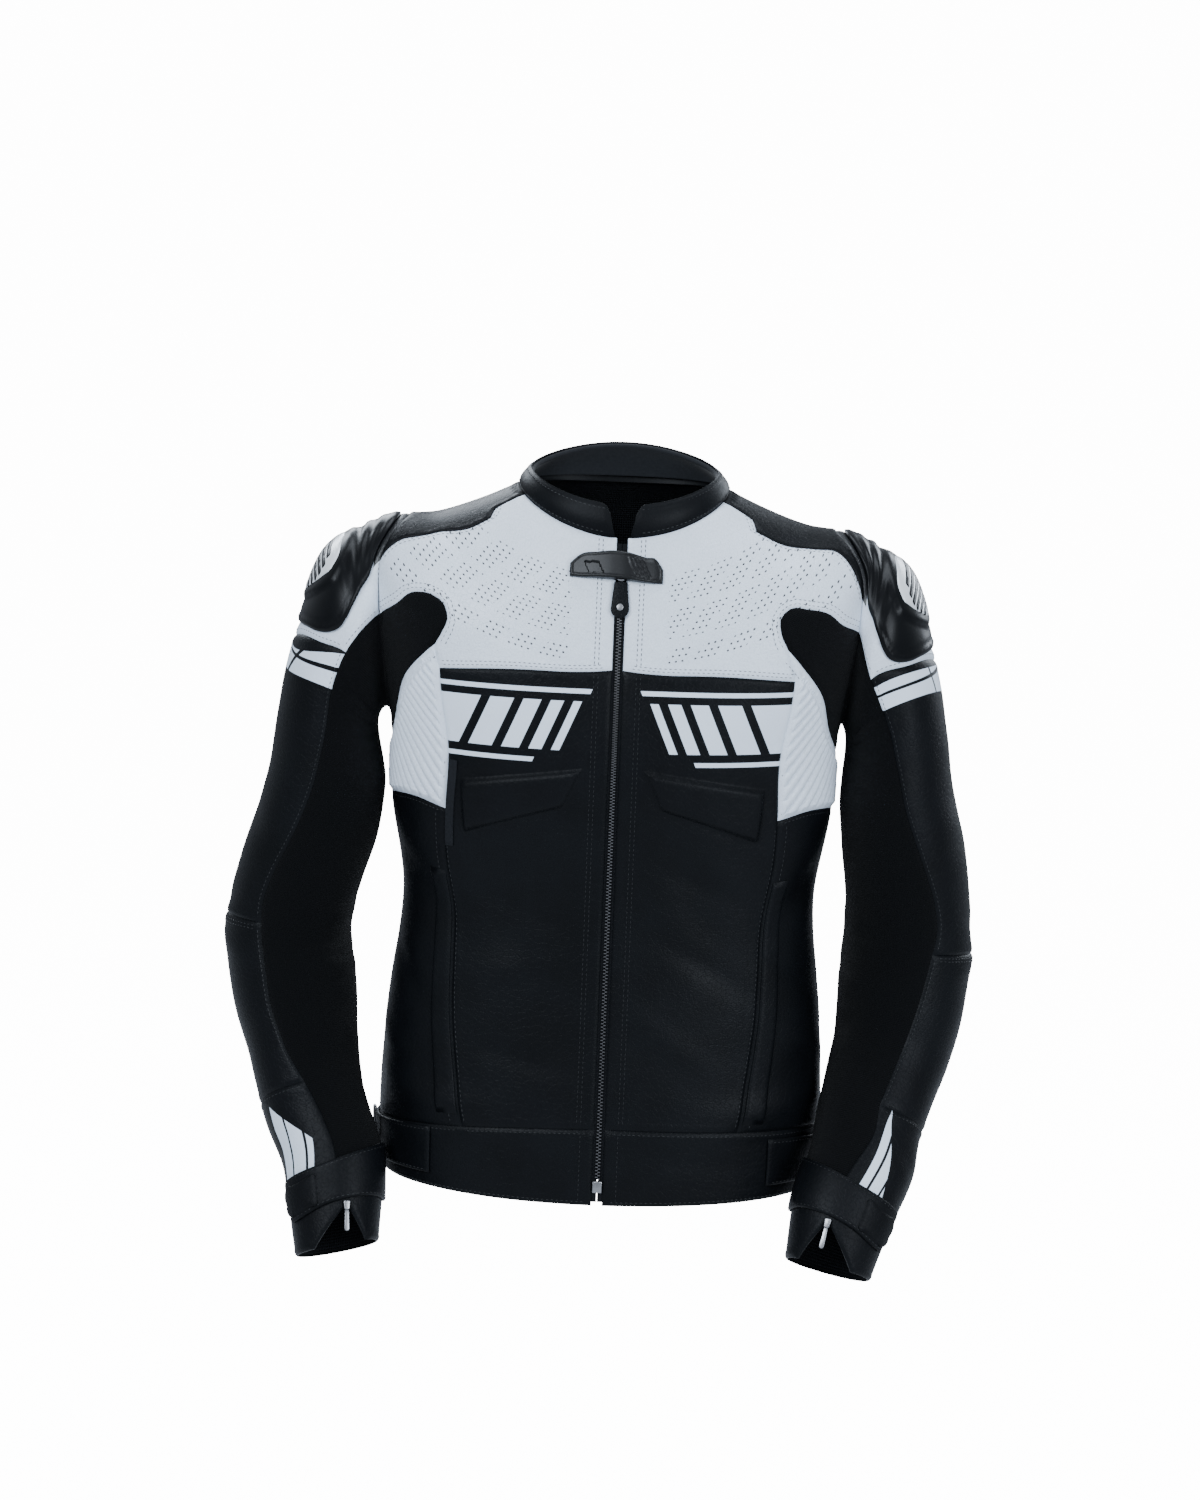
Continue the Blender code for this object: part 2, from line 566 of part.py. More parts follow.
def sleeve_seams(side, step):
    """Every seam of one sleeve, as angle round it and mm along it."""
    pitch = SLEEVE_PITCH * 0.8
    column = 1 if side < 0 else 2
    edge = np.array([(row[column], row[0]) for row in STRETCH_EDGE], float)

    def edge_run(start, end):
        count = max(2, round((end - start) / pitch))
        along = np.linspace(start, end, count + 1)
        around = bend(edge[:, 1], edge[:, :1], along)[:, 0]
        return np.stack([around, along], -1)

    def back_run(start, end):
        return straight([(360 + STRETCH_BACK, start), (360 + STRETCH_BACK, end)], pitch, step)

    def across(along):
        return straight([edge_run(along, along + 1)[0], (360 + STRETCH_BACK, along)], pitch, step)

    def on_armhole(start, end):
        """The same points as the body's own run of the armhole."""
        count = max(2, round(abs(end - start) / 15))
        turn = np.linspace(start, end, count + 1)
        return np.stack([90 - turn, 0 * turn], -1)

    cap_front = CAP_BOTTOM_FRONT[side]
    return {
        "armhole_yoke": on_armhole(BORDER_ARMHOLE[side], CAP_ARMHOLE),
        "armhole_top": on_armhole(BORDER_ARMHOLE[side], BACK_YOKE_ARMHOLE),
        "armhole_back": on_armhole(BACK_YOKE_ARMHOLE, STRETCH_ARMHOLE),
        "armhole_stretch": on_armhole(CAP_ARMHOLE, 360 + STRETCH_ARMHOLE),
        "edge_cap": edge_run(0, cap_front),
        "edge_upper": edge_run(cap_front, ELBOW_SEAM),
        "edge_fore": edge_run(ELBOW_SEAM, CUFF_PANEL_SEAM),
        "edge_cuff": edge_run(CUFF_PANEL_SEAM, CUFF_SEAM),
        "back_cap": back_run(0, CAP_BOTTOM_BACK),
        "back_upper": back_run(CAP_BOTTOM_BACK, ELBOW_SEAM),
        "back_fore": back_run(ELBOW_SEAM, CUFF_PANEL_SEAM),
        "back_cuff": back_run(CUFF_PANEL_SEAM, CUFF_SEAM),
        "cap_bottom": curved([edge_run(cap_front, cap_front + 1)[0], *CAP_BOTTOM,
                              (360 + STRETCH_BACK, CAP_BOTTOM_BACK)], pitch, step),
        "elbow": across(ELBOW_SEAM),
        "cuff_panel": across(CUFF_PANEL_SEAM),
        "cuff_outer": across(CUFF_SEAM),
        "cuff_inner": straight([(STRETCH_BACK, CUFF_SEAM), edge_run(CUFF_SEAM, CUFF_SEAM + 1)[0]], pitch, step),
    }


# ---- Sheets: outlines filled with triangles --------------------------------------------------

def inside(points, outline):
    """Which points lie inside a closed outline, by counting the edges to one side of each."""
    x, y = points[:, None, 0], points[:, None, 1]
    a, b = outline[None], np.roll(outline, -1, axis=0)[None]
    crosses = (a[..., 1] > y) != (b[..., 1] > y)
    rise = np.where(b[..., 1] == a[..., 1], 1.0, b[..., 1] - a[..., 1])
    meet = a[..., 0] + (y - a[..., 1]) / rise * (b[..., 0] - a[..., 0])
    return (crosses & (x < meet)).sum(1) % 2 == 1


def distance(points, starts, ends):
    """Shortest distance from each point to any of the segments."""
    if not len(starts):
        return np.full(len(points), np.inf)
    run = ends - starts
    t = ((points[:, None] - starts) * run).sum(-1) / np.maximum((run * run).sum(-1), 1e-9)
    nearest = starts + np.clip(t, 0, 1)[..., None] * run
    return np.linalg.norm(points[:, None] - nearest, axis=-1).min(1)


def fill(outline, pitch, step, lines=()):
    """Triangles over an outline, with a staggered grid inside and the given lines as edges."""
    flat = outline * step
    lines = [line * step for line in lines]
    starts = np.concatenate([flat] + [line[:-1] for line in lines])
    ends = np.concatenate([np.roll(flat, -1, axis=0)] + [line[1:] for line in lines])
    low, high = flat.min(0), flat.max(0)
    rows = np.arange(low[1] + pitch * 0.5, high[1], pitch * 0.87)
    grid = [np.stack([np.arange(low[0] + pitch * (0.25 + 0.5 * (k % 2)), high[0], pitch), ], -1)
            for k in range(len(rows))]
    grid = np.concatenate([np.column_stack([g[:, 0], np.full(len(g), r)]) for g, r in zip(grid, rows)]
                          + [np.empty((0, 2))])
    grid = grid[inside(grid, flat)] if len(grid) else grid
    grid = grid[distance(grid, starts, ends) > pitch * 0.55] if len(grid) else grid
    points, edges, count = [flat], [], len(flat)
    for line in lines:
        edges += [(count + k, count + k + 1) for k in range(len(line) - 1)]
        points.append(line)
        count += len(line)
    points = np.concatenate(points + [grid])
    result = delaunay_2d_cdt([Vector(p) for p in points], edges, [list(range(len(flat)))], 1, 1e-5)
    made = np.array([tuple(p) for p in result[0]])
    for k, sources in enumerate(result[3]):
        if sources:
            made[k] = points[sources[0]]
    faces = np.array([tuple(face) for face in result[2]], int)
    a, b, c = made[faces[:, 0]], made[faces[:, 1]], made[faces[:, 2]]
    clockwise = (b - a)[:, 0] * (c - a)[:, 1] < (b - a)[:, 1] * (c - a)[:, 0]
    return made / step, np.where(clockwise[:, None], faces[:, ::-1], faces)


class Sheet:
    """A cut piece before it has a thickness: points, outward directions, heights and triangles."""

    def __init__(self, name, material, thick, lift=0.0):
        self.name, self.material, self.thick, self.lift = name, material, thick, lift
        self.points, self.normals, self.heights, self.under, self.faces = [], [], [], [], []

    def add(self, surface, outline, pitch, lines=(), height=None, under=None):
        """Fill an outline; height moves the outer side only, under moves both sides."""
        uv, faces = fill(outline, pitch, np.array(surface.step), lines)
        points = surface.place(uv[:, 0], uv[:, 1])
        normals = surface.normal(uv[:, 0], uv[:, 1])
        a, b, c = points[faces[:, 0]], points[faces[:, 1]], points[faces[:, 2]]
        if (np.cross(b - a, c - a) * normals[faces[:, 0]]).sum() < 0:
            faces = faces[:, ::-1]
        start = len(self.points)
        self.points += list(points)
        self.normals += list(normals)
        self.heights += list(np.zeros(len(uv)) if height is None else height(uv))
        self.under += list(np.zeros(len(uv)) if under is None else under(uv))
        self.faces += [tuple(start + k for k in face) for face in faces]
        return self

    def add_grid(self, surface, rows):
        """A grid of points, row after row, joined by triangles."""
        uv = rows.reshape(-1, 2)
        high, wide = rows.shape[:2]
        start = len(self.points)
        self.points += list(surface.place(uv[:, 0], uv[:, 1]))
        self.normals += list(surface.normal(uv[:, 0], uv[:, 1]))
        self.heights += [0.0] * len(uv)
        self.under += [0.0] * len(uv)
        for i in range(high - 1):
            for j in range(wide - 1):
                a = start + i * wide + j
                self.faces += [(a, a + 1, a + wide + 1), (a, a + wide + 1, a + wide)]
        return self

    def weld(self):
        """Points in the same place become one, with their directions averaged."""
        same = first_at(self.points)
        order = sorted(set(same))
        number = {k: n for n, k in enumerate(order)}
        index = [number[k] for k in same]
        sums = np.zeros((len(order), 3))
        np.add.at(sums, index, np.array(self.normals))
        self.points = np.array(self.points)[order]
        self.normals = sums / np.linalg.norm(sums, axis=-1, keepdims=True)
        self.heights = np.array(self.heights)[order]
        self.under = np.array(self.under)[order]
        self.faces = [tuple(index[k] for k in face) for face in self.faces]


def first_at(points):
    """For each point, the number of the first one in the same place."""
    tree = KDTree(len(points))
    for k, point in enumerate(points):
        tree.insert(point, k)
    tree.balance()
    first = [-1] * len(points)
    for k, point in enumerate(points):
        if first[k] < 0:
            for _, near, _ in tree.find_range(point, 5e-6):
                first[near] = k
    return first


def share_normals(sheets):
    """Give the pieces that meet at a seam the same outward direction there."""
    same = first_at([point for sheet in sheets for point in sheet.points])
    normals = np.concatenate([sheet.normals for sheet in sheets])
    total = np.zeros_like(normals)
    np.add.at(total, same, normals)
    mean = total[same]
    mean /= np.linalg.norm(mean, axis=-1, keepdims=True)
    start = 0
    for sheet in sheets:
        sheet.normals = mean[start:start + len(sheet.points)]
        start += len(sheet.points)


def free_edges(faces):
    """The directed edges that only one triangle has."""
    seen = {}
    for face in faces:
        for a, b in zip(face, face[1:] + face[:1]):
            seen[(a, b)] = True
    return [edge for edge in seen if (edge[1], edge[0]) not in seen]


def drawn_in(sheet, rim):
    """The sheet's points with its edge drawn in by half the seam gap."""
    points = sheet.points.copy()
    before = {b: a for a, b in rim}
    after = {a: b for a, b in rim}
    for k in after:
        normal = sheet.normals[k]
        sides = []
        for a, b in ((before[k], k), (k, after[k])):
            inward = np.cross(normal, sheet.points[b] - sheet.points[a])
            sides.append(inward / np.linalg.norm(inward))
        middle = sides[0] + sides[1]
        middle = middle / max(np.linalg.norm(middle), 1e-6)
        reach = SEAM_GAP / 2 * MM / max(float(middle @ sides[0]), 0.4)
        points[k] = points[k] + middle * reach
    return points


def make_material(name):
    material = bpy.data.materials.get(name) or bpy.data.materials.new(name)
    colour, roughness, metallic = MATERIALS[name]
    material.use_nodes = True
    shader = material.node_tree.nodes["Principled BSDF"]
    shader.inputs["Base Color"].default_value = (*colour, 1)
    shader.inputs["Roughness"].default_value = roughness
    shader.inputs["Metallic"].default_value = metallic
    material.diffuse_color = (*colour, 1)
    return material


def add_object(name, mesh, material):
    obj = bpy.data.objects.new(name, mesh)
    mesh.materials.append(make_material(material))
    bpy.data.collections[NAME].objects.link(obj)
    return obj


def wall(sheet, edge_gap=True):
    """The solid of a sheet: its outer points, the plain inner ones, and the edge between them."""
    rim = free_edges(sheet.faces)
    points = drawn_in(sheet, rim) if edge_gap else sheet.points
    normals = sheet.normals
    outer = points + ((sheet.lift + sheet.under + sheet.heights) * MM)[:, None] * normals
    inner = points + ((sheet.lift + sheet.under - sheet.thick) * MM)[:, None] * normals
    count = len(points)
    faces = list(sheet.faces)
    faces += [tuple(count + k for k in reversed(face)) for face in sheet.faces]
    rank = sheet.points @ np.array([1.0, 0.37, 0.61])
    for a, b in rim:
        if rank[a] < rank[b]:
            faces += [(b, a, count + a), (b, count + a, count + b)]
        else:
            faces += [(b, a, count + b), (a, count + a, count + b)]
    mesh = bpy.data.meshes.new(sheet.name)
    mesh.from_pydata([tuple(p) for p in np.concatenate([outer, inner])], [], faces)
    mesh.shade_smooth()
    mesh.set_sharp_from_angle(angle=math.radians(35))
    return add_object(sheet.name, mesh, sheet.material)


# ---- Raised forms on the panels ---------------------------------------------------------------

def shrunk(corners, by, step):
    """A closed outline drawn in by a distance, each corner along its bisector."""
    flat = np.array(corners, float) * step
    before, after = np.roll(flat, 1, axis=0), np.roll(flat, -1, axis=0)
    first, second = flat - before, after - flat
    first /= np.linalg.norm(first, axis=1)[:, None]
    second /= np.linalg.norm(second, axis=1)[:, None]
    turn = np.sign((first[:, 0] * second[:, 1] - first[:, 1] * second[:, 0]).sum())
    left = np.stack([-first[:, 1] - second[:, 1], first[:, 0] + second[:, 0]], -1)
    left /= np.linalg.norm(left, axis=1)[:, None]
    edge = np.stack([-first[:, 1], first[:, 0]], -1)
    reach = by / np.maximum((left * edge).sum(1), 0.4)
    return (flat + turn * left * reach[:, None]) / step


def pad_form(side):
    """Edge lines of the embossed chest pad, and its height with a soft slope all round."""
    step = np.array(BODY.step)
    corners = [(side * a, d) for a, d in PAD_CORNERS]
    closed = corners + corners[:1]
    foot = straight(closed, 26, step)
    top = shrunk(corners, PAD_SLOPE, step)
    top = straight(list(top) + [top[0]], 26, step)
    flat = np.array(corners, float) * step

    def height(uv):
        points = uv * step
        within = inside(points, flat)
        away = distance(points, flat, np.roll(flat, -1, axis=0))
        rise = np.clip(away / PAD_SLOPE, 0, 1)
        return np.where(within, PAD_HEIGHT * rise * rise * (3 - 2 * rise), 0)

    return [foot, top], height


def rib_form(side, outline):
    """Crest and valley lines of the ribbed gusset, and the height that follows them.

    Each rib runs from a point down the front edge to a point further down the armhole edge."""
    step = np.array(BODY.step)
    flat = outline * step
    low_front = np.array(RIB_FRONT_CORNER) * (side, 1) * step
    high_front = np.array(YOKE_CORNER) * (side, 1) * step
    direction = np.array([side * 0.80, -0.60])
    across = np.array([direction[1], -direction[0]])
    across = across if across[1] > 0 else -across
    ends = flat @ across
    start, stop = ends.min() + RIB_MARGIN * 1.5, ends.max() - RIB_MARGIN * 0.8
    spacing = (stop - start) / RIB_COUNT
    lines = []
    for k in range(2 * RIB_COUNT + 1):
        level = start + spacing * k / 2
        reach = np.linspace(-260, 260, 521)
        centre = (low_front + high_front) / 2
        centre = centre + across * (level - centre @ across)
        track = centre + reach[:, None] * direction
        keep = inside(track, flat) & (distance(track, flat, np.roll(flat, -1, axis=0)) > RIB_MARGIN)
        spots = np.flatnonzero(keep)
        if len(spots) < 8:
            continue
        run = np.split(spots, np.flatnonzero(np.diff(spots) > 1) + 1)
        run = max(run, key=len)
        count = max(1, round(len(run) / 34))
        picks = np.linspace(run[0], run[-1], count + 1).round().astype(int)
        lines.append(track[picks] / step)

    def height(uv):
        points = uv * step
        phase = (points @ across - start) / spacing
        away = distance(points, flat, np.roll(flat, -1, axis=0))
        fade = np.clip((away - RIB_MARGIN * 0.5) / (RIB_MARGIN * 0.4), 0, 1)
        inner = np.clip((phase + 0.3) / 0.3, 0, 1) * np.clip((RIB_COUNT + 0.3 - phase) / 0.3, 0, 1)
        return RIB_HEIGHT * (0.5 - 0.5 * np.cos(2 * math.pi * phase)) * fade * inner

    return lines, height


# ---- The cut pieces -----------------------------------------------------------------------------

def body_sheets(seams):
    """The leather pieces of the body, neck to hem."""
    sheets = []
    for side, label in SIDE_NAMES.items():
        s = seams[side]
        outline = ring_of(s["neck_step"], s["neck_front"], s["border"], s["armhole_yoke"], s["tongue_yoke"],
                          s["yoke_side"], s["yoke_seam"], back(s["zip_yoke"]))
        sheets.append(Sheet(f"yoke_{label}", "white_leather", LEATHER).add(BODY, outline, BODY_PITCH))

        outline = ring_of(back(s["yoke_seam"]), s["rib_front"], s["front_seam"], back(s["band_front"]),
                          back(s["zip_front"]))
        lines, height = pad_form(side)
        sheets.append(Sheet(f"front_{label}", "black_leather", LEATHER)
                      .add(BODY, outline, BODY_PITCH, lines, height))

        outline = ring_of(s["yoke_side"], s["rib_front"], s["rib_bottom"], back(s["side_top"]),
                          back(s["tongue_armpit"]))
        lines, height = rib_form(side, outline)
        sheets.append(Sheet(f"rib_panel_{label}", "white_leather", LEATHER)
                      .add(BODY, outline, BODY_PITCH, lines, height))

        outline = ring_of(s["rib_bottom"], s["side_seam"], back(s["band_side"]), back(s["front_seam"]))
        sheets.append(Sheet(f"side_panel_{label}", "black_leather", LEATHER).add(BODY, outline, BODY_PITCH))

        outline = ring_of(s["band_front"], s["band_side"], s["hem_side"], back(s["hem_front"]),
                          back(s["zip_hem"]))
        sheets.append(Sheet(f"waistband_{label}", "black_leather", LEATHER).add(BODY, outline, BODY_PITCH))

    right, left = seams[1], {key: over_back(seam) for key, seam in seams[-1].items()}
    outline = ring_of(right["neck_back"], back(left["neck_back"]), left["border"], left["armhole_top"],
                      left["back_yoke"], back(right["back_yoke"]), back(right["armhole_top"]),
                      back(right["border"]))
    sheets.append(Sheet("back_yoke", "black_leather", LEATHER).add(BODY, outline, BACK_PITCH * 0.9))
    outline = ring_of(right["back_yoke"], back(left["back_yoke"]), left["armhole_back"],
                      back(left["tongue_back"]), left["side_top"], left["side_seam"], left["band_back"],
                      back(right["band_back"]), back(right["side_seam"]), back(right["side_top"]),
                      right["tongue_back"], back(right["armhole_back"]))
    sheets.append(Sheet("back_panel", "black_leather", LEATHER).add(BODY, outline, BACK_PITCH))
    outline = ring_of(right["band_back"], back(left["band_back"]), left["hem_side"], left["hem_back"],
                      back(right["hem_back"]), back(right["hem_side"]))
    sheets.append(Sheet("waistband_back", "black_leather", LEATHER).add(BODY, outline, BODY_PITCH))
    return sheets


def collar_rows(around, heights, gaps):
    """Rows of points round the collar at each height, ended at the front opening's edge."""
    rows = []
    for height, gap in zip(heights, gaps):
        row = around.copy()
        row[0], row[-1] = gap, 360 - gap
        rows.append(np.stack([row, 0 * row + height], -1))
    return np.array(rows)


def collar_sheets(seams):
    """The collar's leather, and the soft band inside it."""
    right, left = seams[1], {key: over_back(seam) for key, seam in seams[-1].items()}
    around = np.concatenate([right["neck_front"][:-1, 0], right["neck_back"][:-1, 0],
                             back(left["neck_back"])[:-1, 0], back(left["neck_front"])[:, 0]])
    spread = COLLAR_GAP_TOP - COLLAR_GAP_BASE
    heights = (0.0, 0.3, 0.65, 1.0)
    gaps = [COLLAR_GAP_BASE + spread * h for h in heights]
    outer = Sheet("collar", "black_leather", LEATHER)
    outer.add_grid(COLLAR, collar_rows(around, heights, gaps))
    heights = (0.14, 0.35, 0.65, 0.96)
    gaps = [COLLAR_GAP_BASE + 2 + spread * h for h in heights]
    inner = Sheet("collar_lining", "stretch_textile", LINING, -LEATHER - LINING_GAP)
    inner.add_grid(COLLAR, collar_rows(around, heights, gaps))
    return outer, inner


def sleeve_sheets(side, label, seams, arm, arm_seams):
    """The pieces of one sleeve; the stretch panel runs on over the armhole to its chest tongue."""
    s, body = arm_seams, seams[side]
    sheets = []
    outline = ring_of(back(s["armhole_yoke"]), s["armhole_top"], s["armhole_back"], s["back_cap"],
                      back(s["cap_bottom"]), back(s["edge_cap"]))
    sheets.append(Sheet(f"sleeve_cap_{label}", "white_leather", LEATHER).add(arm, outline, SLEEVE_PITCH))
    for piece, top, bottom, edge, rear in (
            ("upper_sleeve", "cap_bottom", "elbow", "edge_upper", "back_upper"),
            ("forearm", "elbow", "cuff_panel", "edge_fore", "back_fore"),
            ("cuff_panel", "cuff_panel", "cuff_outer", "edge_cuff", "back_cuff")):
        outline = ring_of(s[top], s[rear], back(s[bottom]), back(s[edge]))
        sheets.append(Sheet(f"{piece}_{label}", "black_leather", LEATHER).add(arm, outline, SLEEVE_PITCH))

    def under(seam):
        return np.stack([seam[:, 0] - 360, seam[:, 1]], -1)

    outline = ring_of(s["armhole_stretch"], under(s["back_cap"]), under(s["back_upper"]),
                      under(s["back_fore"]), under(s["back_cuff"]), s["cuff_inner"],
                      back(s["edge_cuff"]), back(s["edge_fore"]), back(s["edge_upper"]), back(s["edge_cap"]))
    stretch = Sheet(f"stretch_sleeve_{label}", "stretch_textile", TEXTILE)
    stretch.add(arm, outline, SLEEVE_PITCH)
    outline = ring_of(body["armhole_stretch"], back(body["tongue_back"]), back(body["tongue_armpit"]),
                      back(body["tongue_yoke"]))
    stretch.add(BODY, outline, BODY_PITCH * 0.8)
    sheets.append(stretch)

    edge = s["cuff_outer"][0][0]
    pitch = SLEEVE_PITCH * 0.7
    rear = 360 + STRETCH_BACK
    outline = ring_of(s["cuff_inner"], s["cuff_outer"],
                      straight([(rear, CUFF_SEAM), (rear, SLEEVE_END)], pitch, arm.step),
                      straight([(rear, SLEEVE_END), (VENT_OUTER, SLEEVE_END), VENT_TOP,
                                (VENT_INNER, SLEEVE_END), (STRETCH_BACK, SLEEVE_END)], pitch, arm.step),
                      straight([(STRETCH_BACK, SLEEVE_END), (STRETCH_BACK, CUFF_SEAM)], pitch, arm.step))
    sheets.append(Sheet(f"cuff_band_{label}", "black_leather", LEATHER).add(arm, outline, SLEEVE_PITCH))
    return sheets


# ---- Pieces that lie on the panels ---------------------------------------------------------------

def overlay(name, material, surface, outline, pitch, thick, lift, height=None, lines=(), under=None):
    """A piece that lies on a panel: the panel's own surface, moved out."""
    sheet = Sheet(name, material, thick, lift + thick)
    sheet.add(surface, outline, pitch, lines, height, under)
    sheet.weld()
    return wall(sheet, edge_gap=False)


def welt(side, label):
    """The pocket's leather welt, on the side panel along the front seam."""
    margin, wide = 0.8, 6.6
    seam = np.array(FRONT_SEAM, float)
    down = np.linspace(354, 560, 12)
    edge = bend(seam[:, 1], seam[:, :1], down)[:, 0]
    near = np.stack([side * (edge + margin), down], -1)
    far = np.stack([side * (edge + margin + wide), down], -1)
    outline = np.concatenate([near, far[::-1]])
    overlay(f"pocket_welt_{label}", "black_leather", BODY, outline, 16, 1.5, 1.4)


def side_tab():
    """The plain woven tab that sticks out of the left front seam."""
    down = np.linspace(256, 330, 7)
    seam = np.array((YOKE_CORNER,) + FRONT_SEAM, float)
    edge = bend(seam[:, 1], seam[:, :1], down)[:, 0]
    near = np.stack([-edge + 0.4, down], -1)
    far = np.stack([-edge + 3.2, down], -1)
    overlay("side_label", "stretch_textile", BODY, np.concatenate([near, far[::-1]]), 12, 1.0, 0.9)


def waist_strap(side, label):
    """The adjuster strap round the side of the waistband, with the metal loop that it runs through."""
    line = curved(WAIST_STRAP, 12, BODY.step)
    top = line * (side, 1)
    bottom = np.stack([top[:, 0], top[:, 1] + WAIST_STRAP_WIDTH], -1)
    outline = ring_of(straight(top, 12, BODY.step), straight([top[-1], bottom[-1]], 12, BODY.step),
                      straight(bottom[::-1], 12, BODY.step), straight([bottom[0], top[0]], 12, BODY.step))
    overlay(f"waist_strap_{label}", "black_leather", BODY, outline, 14, STRAP, 1.1)
    middle = float(bend(line[:, 0], line[:, 1:], np.array([BUCKLE_ANGLE]))[0, 0])
    frame_ring(f"waist_buckle_{label}", side * BUCKLE_ANGLE, middle + WAIST_STRAP_WIDTH / 2,
               STRAP + 1.1, WAIST_STRAP_WIDTH + 5)


def surface_frame(surface, u, v, lift):
    """Place and directions on a surface: across, outward and up."""
    u, v = np.array([u], float), np.array([v], float)
    outward = Vector(surface.normal(u, v)[0])
    place = Vector(surface.place(u, v)[0]) + outward * (lift * MM)
    down = Vector((surface.place(u, v + 0.5) - surface.place(u, v - 0.5))[0])
    up = (-down - outward * (-down).dot(outward)).normalized()
    across = up.cross(-outward)
    turn = Matrix((across, -outward, up)).transposed()
    return place, turn


def frame_ring(name, angle, down, lift, height):
    """A flat rectangular wire loop, made as a closed curve with a round section."""
    wire, wide = 1.3, 9.0
    place, turn = surface_frame(BODY, angle, down, lift + wire + CLEAR)
    curve = bpy.data.curves.new(name, "CURVE")
    curve.dimensions = "3D"
    curve.bevel_depth = wire * MM
    curve.bevel_resolution = 1
    spline = curve.splines.new("POLY")
    corner = 2.0
    spots = []
    for x, z in ((1, 1), (-1, 1), (-1, -1), (1, -1)):
        hx, hz = wide / 2, height / 2
        spots += [(x * (hx - corner), z * hz), (x * hx, z * (hz - corner))][::-x * z]
    spline.points.add(len(spots) - 1)
    for point, (x, z) in zip(spline.points, spots):
        point.co = (x * MM, 0, z * MM, 1)
    spline.use_cyclic_u = True
    guide = bpy.data.objects.new(f"{name}_wire", curve)
    bpy.data.collections[NAME].objects.link(guide)
    mesh = bpy.data.meshes.new_from_object(guide.evaluated_get(bpy.context.evaluated_depsgraph_get()))
    mesh.name = name
    bpy.data.objects.remove(guide)
    obj = add_object(name, mesh, "zip_metal")
    obj.matrix_world = Matrix.Translation(place) @ turn.to_4x4()
    return obj


def cuff_strap(arm, label):
    """The closing strap round the wrist, from the inside of the cuff to its tab on the outside."""
    step = arm.step
    top = curved(CUFF_STRAP_TOP, 11.5, step)
    bottom = curved(CUFF_STRAP_BOTTOM, 11.5, step)
    outline = ring_of(top, straight([top[-1], bottom[-1]], 12, step), back(bottom),
                      straight([bottom[0], top[0]], 12, step))
    overlay(f"cuff_strap_{label}", "black_leather", arm, outline, 12, STRAP, 1.1)


def shoulder_cup(arm, side, label):
    """The moulded shoulder cup: a crowned shell with a thick rim, and the plate set on its crown."""
    step = np.array(arm.step)
    corners = np.array(CUP_OUTLINE + CUP_OUTLINE[:1], float) + (CUP_TWIST[side], 0)
    outline = curved(corners, 9, step)[:-1]
    flat = outline * step

    def crown(uv):
        away = distance(uv * step, flat, np.roll(flat, -1, axis=0))
        rise = np.clip(away / 24, 0, 1)
        edge = CUP_RIM * np.clip(away / 3, 0, 1)
        lower = np.clip((uv[:, 1] - 25) / 30, 0, 1)
        full = CUP_TOP + (CUP_CROWN - CUP_TOP) * lower * lower * (3 - 2 * lower)
        return edge + (full - CUP_RIM) * rise * rise * (3 - 2 * rise)

    def bridge(uv):
        """The cup stands off further where it spans the hollow at the armhole."""
        return CUP_BRIDGE * np.clip((26 - uv[:, 1]) / 18, 0, 1)

    rims = []
    for inset in (3.0, 7.0, 13.0):
        ring = shrunk(outline, inset, step)[::2]
        rims.append(np.concatenate([ring, ring[:1]]))
    overlay(f"shoulder_cup_{label}", "black_rubber", arm, outline, 10, CUP_WALL, CUP_GAP, crown, rims, bridge)

    corners = np.array(PLATE_OUTLINE + PLATE_OUTLINE[:1], float) + (CUP_TWIST[side], 0)
    plate_line = curved(corners, 8, step)[:-1]
    lift = CUP_WALL + CUP_GAP + PLATE_LIFT
    sheet = Sheet(f"cup_plate_{label}", "white_plastic", PLATE_THICK, lift + PLATE_THICK)
    sheet.add(arm, plate_line, 8, under=crown)
    sheet.weld()
    wall(sheet, edge_gap=False)


# ---- Zip, slider, pull and throat tab --------------------------------------------------------------

def block(name, material, size, place, turn, bevel=0.6):
    """A box with softened edges, its sizes in mm."""
    bm = bmesh.new()
    bmesh.ops.create_cube(bm, size=1.0)
    bmesh.ops.scale(bm, vec=Vector(size) * MM, verts=bm.verts)
    mesh = bpy.data.meshes.new(name)
    bm.to_mesh(mesh)
    bm.free()
    obj = add_object(name, mesh, material)
    obj.matrix_world = Matrix.Translation(place) @ turn.to_4x4()
    soft = obj.modifiers.new("soft_edges", "BEVEL")
    soft.width = bevel * MM
    soft.segments = 2
    return obj


def zip_parts():
    for side, label in SIDE_NAMES.items():
        near = beside_zip(0.4, 6, HEM - 4, side)
        far = beside_zip(TAPE_HALF, 6, HEM - 4, side)
        sheet = Sheet(f"zip_tape_{label}", "zip_tape", 0.9, -LEATHER - 1.2)
        sheet.add(BODY, np.concatenate([near, far[::-1]]), BODY_PITCH)
        sheet.weld()
        wall(sheet, edge_gap=False)
    left = beside_zip(CHAIN_HALF, CHAIN_TOP, CHAIN_BOTTOM, -1)
    right = beside_zip(CHAIN_HALF, CHAIN_TOP, CHAIN_BOTTOM, 1)
    sheet = Sheet("zip_chain", "zip_metal", 2.2, 0.2)
    sheet.add(BODY, np.concatenate([left, right[::-1]]), BODY_PITCH)
    sheet.weld()
    wall(sheet, edge_gap=False)
    place, turn = surface_frame(BODY, 0, CHAIN_BOTTOM + CLEAR + STOP_SIZE[2] / 2, -0.3)
    block("zip_stop", "zip_metal", STOP_SIZE, place, turn)


